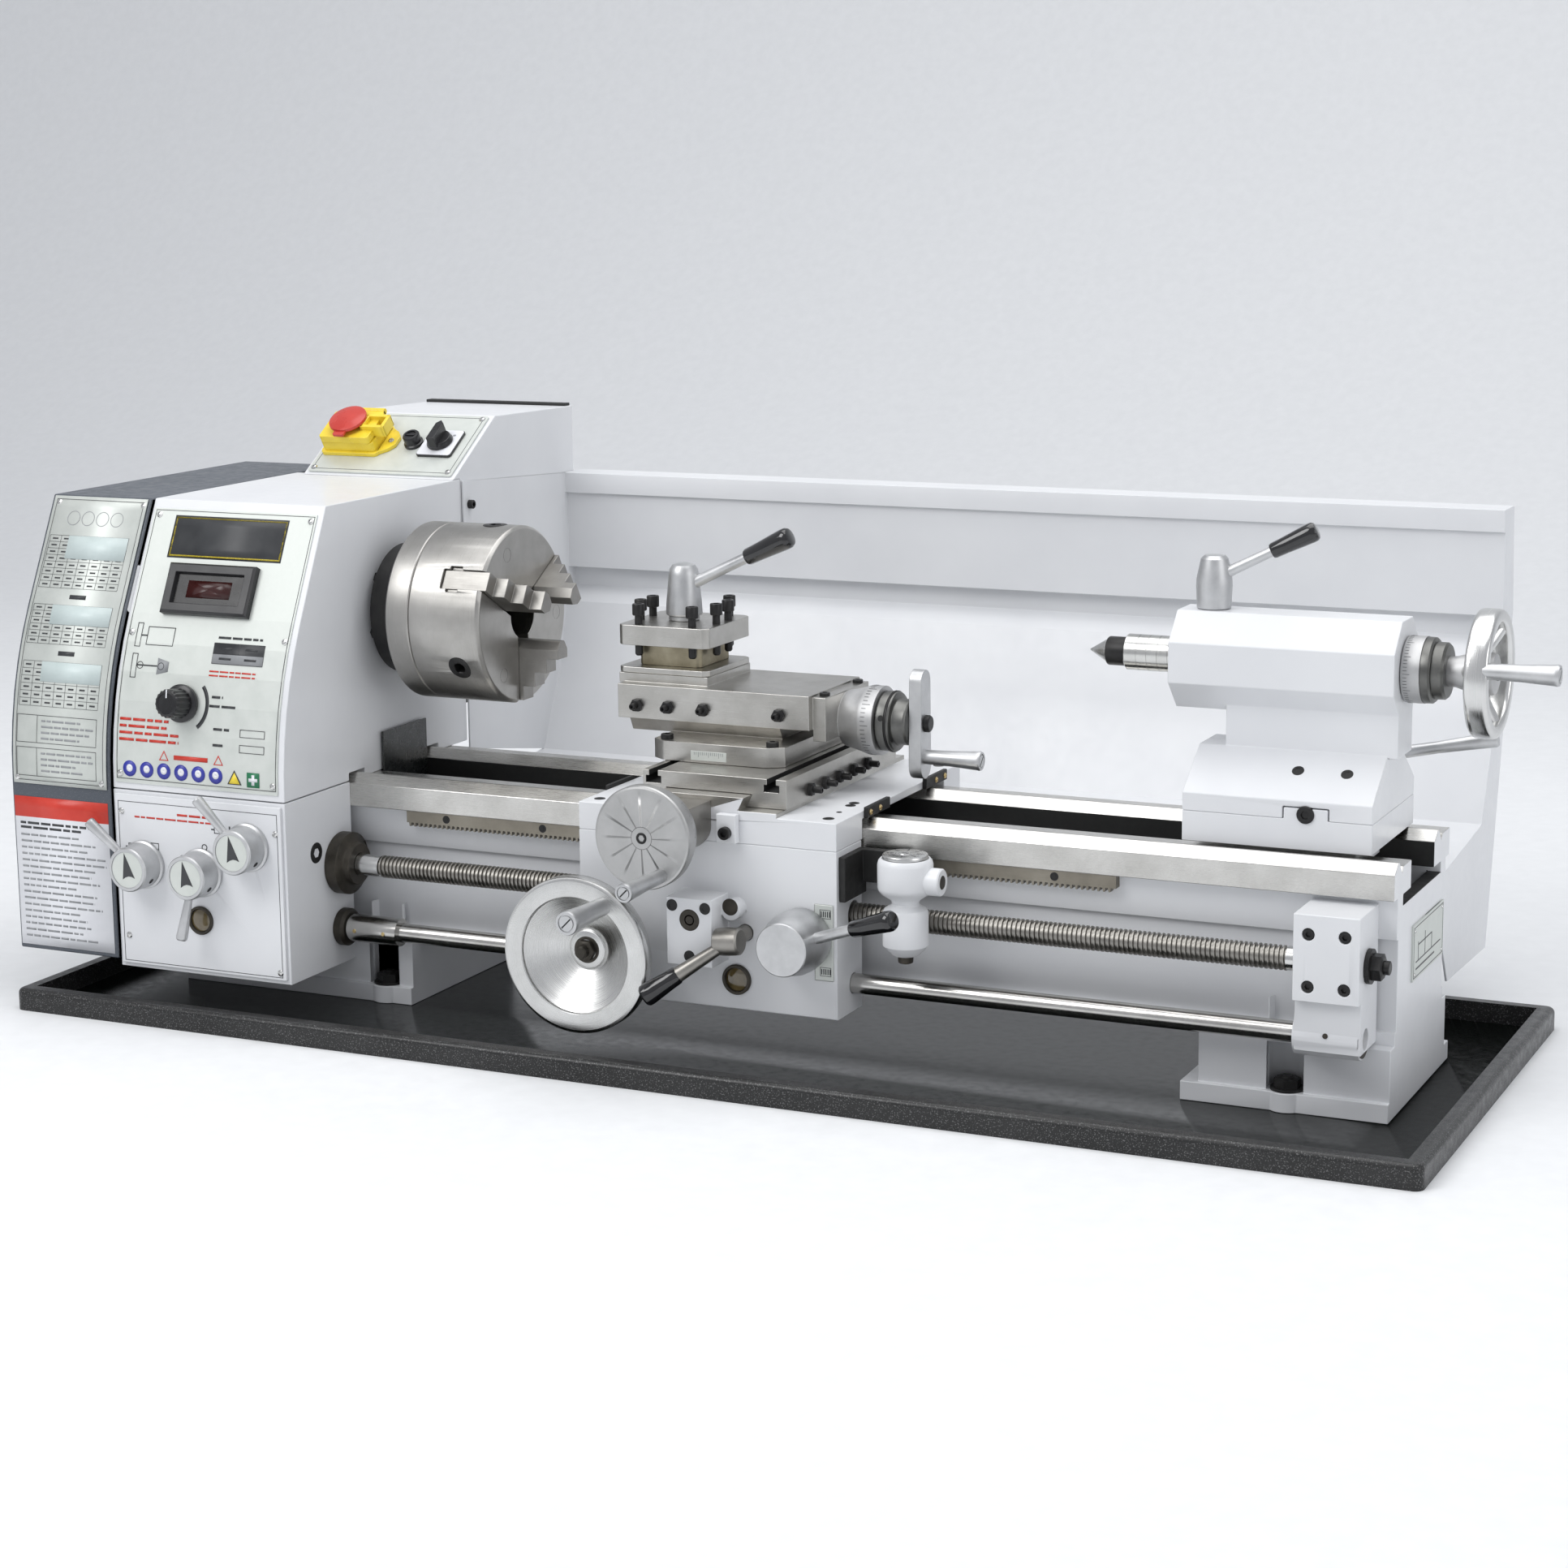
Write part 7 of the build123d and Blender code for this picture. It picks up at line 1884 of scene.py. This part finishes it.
    def post(self) -> None:
        """The four-way post: plates, core, pressing bolts and the lever."""
        x, h = self.post_x, self.post_half
        body = Shape()
        for low, high, half, look in (
                (self.post_low, 107.2, h, 0), (107.2, 126.2, 30.0, 1), (126.2, self.post_high, h, 0)):
            square_plate(body, (x, 0.0), half, 8.2, low, high, look)
        body.build(
            "tool_post_body", "tool_post", "ground_steel", [Finish.GROUND, Finish.CORE], 0.8, ["tool_post"])
        bolts = Shape()
        for side in (-1, 1):
            for dx, dy in (
                    (26.0, 37.0 * side), (-26.0, 37.0 * side), (37.0 * side, 11.7), (37.0 * side, -11.7)):
                at = (x + dx, dy, 0.0)
                bolts.turned(
                    [(0, 116.5), (2.4, 116.5), (3.5, 118), (3.5, 144), (3.4, 151.6), (5.0, 152),
                     (5.5, 152.6), (5.5, 161.2), (5.0, 162), (3.0, 162, HEX), (2.7, 161.4, HEX),
                     (2.7, 157, HEX), (0, 157)], at, UP, 0, 36)
        bolts.build("tool_post_bolts", "tool_post", "black_oxide", [Finish.OXIDE])
        lever = Shape()
        lever.turned(
            [(8.05, 0), (13.2, 0), (13.6, 0.6), (13.6, 3.4), (13.0, 4.0), (15.4, 4.6), (16.2, 6.0),
             (15.6, 16), (13.4, 40), (12.4, 45), (10.0, 48.4), (5, 50.0), (0, 50.2), (0, 14), (8.05, 14)],
            (x, 0, self.post_high + 0.3), UP, 0, 60)
        start, tip = np.array([x + 6, 0, 175.3]), np.array([x + 104, 0, 222.3])
        joint = start + (tip - start) * 0.60
        lever.capsule(start, joint, [(5.6, 0), (5.0, 0.3), (4.8, 1), (0, 1)])
        lever.build("tool_post_lever_hub", "tool_post_lever", "cast_aluminium", [Finish.ALUMINIUM], 0.0,
                    ["tool_post_lever"])
        Shape().capsule(
            start + (tip - start) * 0.57, tip, grip_rows(9.4)
        ).build("tool_post_grip", "tool_post_lever", "black_plastic", [Finish.GRIP])

    def build(self) -> None:
        """Build the compound's pieces."""
        self.slides()
        self.screws()
        self.scale()
        self.crank()
        self.post()


def square_plate(
        shape: Shape, centre: Point, half: float, hole: float, low: float, high: float, look: int) -> None:
    """Add a square plate with a round hole, as a closed surface of four rings.

    The outer ring follows radius = half / max(|cos t|, |sin t|), its corners eased by a smaller
    limit; the inner ring is round.

    Args:
        shape: where it goes.
        centre: the middle's x and y.
        half: half of its width.
        hole: the hole's radius.
        low: its underside.
        high: its top.
        look: the number of the finish.
    """
    t = np.linspace(0, 2 * np.pi, 96, endpoint=False)
    reach = np.minimum(half / np.maximum(np.abs(np.cos(t)), np.abs(np.sin(t))), half * 1.345)
    ring = np.stack([np.cos(t), np.sin(t)], -1)
    rows = []
    for size, z in ((reach, low), (reach, high), (np.full_like(t, hole), high), (np.full_like(t, hole), low),
                    (reach, low)):
        flat = np.asarray(centre) + size[:, None] * ring
        rows.append(np.concatenate([flat, np.full((len(t), 1), z)], 1))
    shape.grid(np.stack(rows), True, look)


@dataclass
class Tailstock:
    """The tailstock: its base and body, quill, centre, wheel and levers."""

    height: float = 140.0
    quill_left: float = 705.0
    quill_right: float = 901.0
    quill_radius: float = 15.0
    rim_radius: float = 46.0
    spoke_angle: float = 168.0

    def castings(self) -> None:
        """The base and the body with its octagonal barrel."""

        def body_zones(c: Array, n: Array, lo: Array, hi: Array) -> Array:
            """White casting with a machined left face."""
            whole = (hi[:, 2] - lo[:, 2]) > 60
            machined = (n[:, 0] < -0.95) & (c[:, 2] > 100)
            return np.where(whole, np.where(machined, 1, 0), -1)

        casting = softened(
            "tailstock_body", "tailstock_casting", [Finish.WHITE, Finish.CASTING],
            body_zones, 1.0)

        def base_zones(c: Array, n: Array, lo: Array, hi: Array) -> Array:
            """White casting with bare metal underneath."""
            whole = (hi[:, 0] - lo[:, 0]) > 60
            return np.where(whole, np.where(n[:, 2] < -0.5, 1, 0), -1)

        softened(
            "tailstock_base", "tailstock_foot", [Finish.WHITE, Finish.CASTING], base_zones,
            0.8)
        Shape().turned(
            [(0, 0.2), (3.2, 0.2, HEX), (3.2, 1.6, HEX), (6.6, 1.8), (7.2, 1.0), (7.2, -2), (0, -2)],
            (876.0, -65.9, 29.2), FRONT, 0, 36
        ).build("tailstock_offset_screw", "tailstock", "black_oxide", [Finish.OXIDE])
        plugs = Shape()
        for x, y in ((862.0, -40.0), (902.0, -40.0)):
            hit, place, normal, _ = casting.ray_cast(Vector(to_row((x, y, 90.0))), Vector((0, 0, -1)))
            at = to_bed(place) if hit else np.array([x, y, 46.0])
            plugs.turned(
                [(0, 0.05), (2.6, 0.05, HEX), (2.6, 0.3, HEX), (4.8, 0.3), (5, 0.1), (5, -0.3), (0, -0.5)],
                at, normal if hit else UP, 0, 24)
        plugs.build("tailstock_plugs", "tailstock", "black_oxide", [Finish.OXIDE])

    def spindle(self) -> None:
        """The graduated quill and its live centre."""
        r = self.quill_radius
        axis = (0.0, 0.0, self.height)
        steel = Turned("quill_steel", Axis.X, axis, (0.52, 0.52, 0.50), (0.66, 0.66, 0.64), (0.16, 0.26), 0.8,
                       0.006, 0.3)
        bright = Turned("centre_steel", Axis.X, axis, (0.50, 0.50, 0.49), (0.64, 0.64, 0.62), (0.18, 0.30),
                        1.2, 0.008, 0.4)
        quill = Shape()
        rows = [(r - 4.4, self.quill_left), (r - 0.8, self.quill_left), (r, self.quill_left + 0.8)]
        for step in range(5):
            x = 716 + 9.0 * step
            rows += [(r, x), (r - 0.35, x + 0.1), (r - 0.35, x + 0.6), (r, x + 0.7)]
        rows += [(r, self.quill_right), (r - 4.4, self.quill_right)]
        quill.turned(rows, axis, RIGHT, 0, 60)
        quill.build("quill_barrel", "quill", "ground_steel", [steel], 0.0, ["quill"])
        Shape().turned(
            [(0, 672), (0.6, 672.3), (10.6, 688.6), (0, 688.7)], axis, RIGHT, 0, 48
        ).turned(
            [(0, 688.2), (11.4, 688.4), (12.0, 689.4), (12.0, 704.2), (11, 705.2), (10.4, 716), (0, 716)],
            axis, RIGHT, 1, 48
        ).build(
            "live_centre", "quill", "turned_steel", [bright, Finish.OXIDE], 0.0, ["tailstock_centre"]
        )

    def wheel(self) -> None:
        """The dial, the spoked wheel and its grip."""
        axis = (0.0, 0.0, self.height)
        shape = Shape()
        shape.turned(
            [(0, 938.4), (24.6, 938.4), (26.4, 939.2), (27, 940.4), (27, 954.0), (0, 954.0)], axis, RIGHT,
            0, 72)
        shape.turned(
            [(0, 953.9), (26.2, 953.9), (26.6, 954.8), (26.4, 960.4), (25, 962.0), (23, 962.3), (22.8, 970),
             (21, 972.0), (0, 972.2)], axis, RIGHT, 1, 72)
        shape.turned(
            [(0, 972), (12.0, 972), (12.4, 978), (16.6, 992), (17.0, 1006), (16.0, 1009), (13, 1010),
             (0, 1010.2)], axis, RIGHT, 0, 72)
        shape.build(
            "tailstock_dial", "tailstock_wheel", "cast_aluminium", [Finish.ROUGH_ALUMINIUM, Finish.DIAL],
            0.0, ["tailstock_wheel"])
        rim = Shape()
        t = np.linspace(0, 2 * np.pi, 33)[:-1]
        radii = self.rim_radius + 5.6 * np.sign(np.cos(t)) * np.abs(np.cos(t)) ** 0.45
        places = 1003.5 + 9.5 * np.sign(np.sin(t)) * np.abs(np.sin(t)) ** 0.45
        rim.turned(list(zip(radii, places)), axis, RIGHT, 0, 96)
        for step in range(3):
            angle = math.radians(self.spoke_angle + 120 * step)
            out = np.array([0, math.cos(angle), math.sin(angle)])
            start = np.array([991.0, 0, self.height]) + 10 * out
            rim.capsule(
                start, np.array([1004.0, 0, self.height]) + 44 * out,
                [(7.6, 0), (6.4, 0.4), (6.6, 1), (0, 1)])
        polish = Turned("rim_polish", Axis.X, axis, (0.60, 0.60, 0.59), (0.74, 0.74, 0.73), (0.16, 0.28), 0.5,
                        0.008, 0.6)
        rim.build("tailstock_rim", "tailstock_wheel", "cast_aluminium", [polish])
        marks = Shape()
        ring_marks(marks, (941.0, 0, self.height), RIGHT, 27.0, 60, 3.2, 5.6, 0.35)
        marks.build("tailstock_dial_marks", "tailstock_wheel", "black_oxide", [Finish.INK])
        Shape().turned(
            [(0, -2.6), (2.6, -2.6, HEX), (2.6, 1.4, HEX), (4.6, 1.6), (5.2, 1.0), (5.2, -0.6), (0, -0.6)],
            (1010.2, 0, self.height), RIGHT, 0, 36
        ).build("tailstock_wheel_screw", "tailstock_wheel", "black_oxide", [Finish.OXIDE])
        angle = math.radians(self.spoke_angle)
        grip = Shape()
        y, z = 45.5 * math.cos(angle), self.height + 45.5 * math.sin(angle)
        crank_handle(grip, (1009.0, y, z), (1068.0, y, z), 8.6, 0, 1)
        grip.build(
            "tailstock_wheel_grip", "tailstock_wheel", "cast_aluminium", [Finish.ALUMINIUM, Finish.DARK_AND_PAINTED_SHADE])

    def levers(self) -> None:
        """The quill lock and the clamp lever."""
        lock = Shape()
        lock.turned(
            [(0, 0), (13.2, 0), (14, 0.8), (14.8, 18), (14.6, 24), (12.0, 37), (11.2, 40.6), (8.4, 43.4),
             (0, 44.2)], (778.0, 0, 180.3), UP, 0, 48)
        start, tip = np.array([784.0, 0, 207.6]), np.array([860.0, 10.0, 246.3])
        lock.capsule(start, start + (tip - start) * 0.56, [(5.0, 0), (4.4, 0.3), (4.2, 1), (0, 1)])
        lock.build(
            "quill_lock_hub", "quill_lock_lever", "cast_aluminium", [Finish.ALUMINIUM], 0.0,
            ["quill_lock_lever"])
        Shape().capsule(
            start + (tip - start) * 0.53, tip, grip_rows(8.2)
        ).build("quill_lock_grip", "quill_lock_lever", "black_plastic", [Finish.GRIP])
        Shape().turned(
            [(0, 67), (13.2, 67), (14, 68), (14, 84.6), (13, 86), (0, 86.2)], (896.0, 0, 52.0), REAR
        ).capsule(
            (896, 78, 52), (994, 84, 72), [(5.5, 0), (5.0, 0.5), (6.6, 0.98), (5.6, 1), (0, 1)]
        ).build(
            "tailstock_clamp_hub", "tailstock_clamp_lever", "turned_steel", [Finish.ALUMINIUM], 0.0,
            ["tailstock_clamp_lever"]
        )

    def build(self) -> None:
        """Build the tailstock's pieces."""
        self.castings()
        self.spindle()
        self.wheel()
        self.levers()


@dataclass
class SplashGuard:
    """The sheet guard behind the bed and the dark chip plate on the headstock."""

    def build(self) -> None:
        """Dress the guard's sheets."""
        softened("chip_guards", "rear_splash_guard", [Finish.WHITE, Finish.BLACK],
                 lambda c, n, lo, hi: np.where((hi[:, 0] - lo[:, 0]) > 200, 0, 1), 0.5)


@dataclass(frozen=True)
class Studio:
    """A pale floor, three soft lamps, and a camera on the lathe's front and right."""

    azimuth: float = 25.10
    elevation: float = 10.60
    roll: float = -0.64
    lens: float = 73.42
    eye: tuple[float, float, float] = (1.1781, -2.4799, 0.7807)
    shift_y: float = -0.0389

    def lamp(self, name: str, at: Point, aim: Point, size: float, power: float) -> bpy.types.Object:
        """Add one square soft lamp.

        Args:
            name: its name.
            at: where it hangs, in metres.
            aim: the point it faces.
            size: its side in metres.
            power: its power in watts.

        Returns:
            The lamp.
        """
        data = bpy.data.lights.new(name, "AREA")
        data.shape = "SQUARE"
        data.size = size
        data.energy = power
        lamp = bpy.data.objects.new(name, data)
        lamp.location = at
        lamp.rotation_euler = (Vector(aim) - Vector(at)).to_track_quat("-Z", "Y").to_euler()
        bpy.context.scene.collection.objects.link(lamp)
        return lamp

    def floor(self) -> bpy.types.Object:
        """A plain pale floor that rises behind: z follows a quarter circle past the rear."""
        x = np.linspace(-6.0, 6.0, 25)
        flat = np.linspace(-4.0, 2.0, 13)
        t = np.linspace(0, np.pi / 2, 25)[1:]
        y = np.concatenate([flat, 2.0 + 1.6 * np.sin(t), [3.6, 3.6]])
        z = np.concatenate([np.zeros(13), 1.6 * (1 - np.cos(t)), [3.2, 5.0]])
        surface = np.stack(np.broadcast_arrays(x[None, :], y[:, None], z[:, None]), -1)
        rows, columns = surface.shape[:2]
        i, j = np.meshgrid(np.arange(rows - 1), np.arange(columns - 1), indexing="ij")
        quads = np.stack(
            [i * columns + j, i * columns + j + 1, (i + 1) * columns + j + 1, (i + 1) * columns + j], -1)
        mesh = bpy.data.meshes.new("studio_floor")
        mesh.from_pydata(surface.reshape(-1, 3).tolist(), [], quads.reshape(-1, 4).tolist())
        mesh.polygons.foreach_set("use_smooth", np.ones(len(mesh.polygons), bool))
        mesh.materials.append(Finish.BACKDROP.material())
        floor = bpy.data.objects.new("studio_floor", mesh)
        bpy.context.scene.collection.objects.link(floor)
        return floor

    def camera(self) -> bpy.types.Object:
        """The camera, turned by its azimuth, elevation and roll."""
        a, e, r = (math.radians(v) for v in (self.azimuth, self.elevation, self.roll))
        back = Vector((math.sin(a) * math.cos(e), -math.cos(a) * math.cos(e), math.sin(e)))
        right = Vector((math.cos(a), math.sin(a), 0))
        up = back.cross(right)
        side = math.cos(r) * right + math.sin(r) * up
        top = math.cos(r) * up - math.sin(r) * right
        data = bpy.data.cameras.new("main_camera")
        data.lens = self.lens
        data.sensor_width = 36
        data.shift_y = self.shift_y
        camera = bpy.data.objects.new("main_camera", data)
        camera.matrix_world = Matrix.Translation(self.eye) @ Matrix((side, top, back)).transposed().to_4x4()
        bpy.context.scene.collection.objects.link(camera)
        bpy.context.scene.camera = camera
        return camera

    def build(self) -> None:
        """Set the floor, lamps, surroundings and camera."""
        lamps = [
            self.lamp("key_lamp", (-1.4, -2.2, 2.6), (0.1, 0.0, 0.2), 1.8, 50.0),
            self.lamp("top_lamp", (0.2, 0.2, 2.9), (0.0, 0.0, 0.2), 2.6, 46.0),
            self.lamp("side_lamp", (2.8, -0.8, 1.3), (0.1, 0.0, 0.2), 1.6, 12.0),
        ]
        world = bpy.data.worlds.new("studio")
        world.use_nodes = True
        backdrop = world.node_tree.nodes["Background"]
        backdrop.inputs["Color"].default_value = (0.93, 0.95, 1.0, 1.0)
        backdrop.inputs["Strength"].default_value = 0.58
        bpy.context.scene.world = world
        bpy.context.scene.view_settings.view_transform = "Standard"
        self.floor()
        self.camera()


def main() -> None:
    """Dress the whole lathe, piece by piece, and set the studio."""
    logging.basicConfig(level=logging.INFO, format="%(message)s")
    skin = FrontSkin()
    assemblies = (ChipTray(), Bed(), Headstock(skin), FrontKnobs(), ControlPanel(), Chuck(), FeedScrews(),
                  Carriage(), Compound(), Tailstock(), SplashGuard(), Studio())
    for assembly in assemblies:
        assembly.build()
        LOG.info("built %s", type(assembly).__name__)


if __name__ == "__main__":
    main()
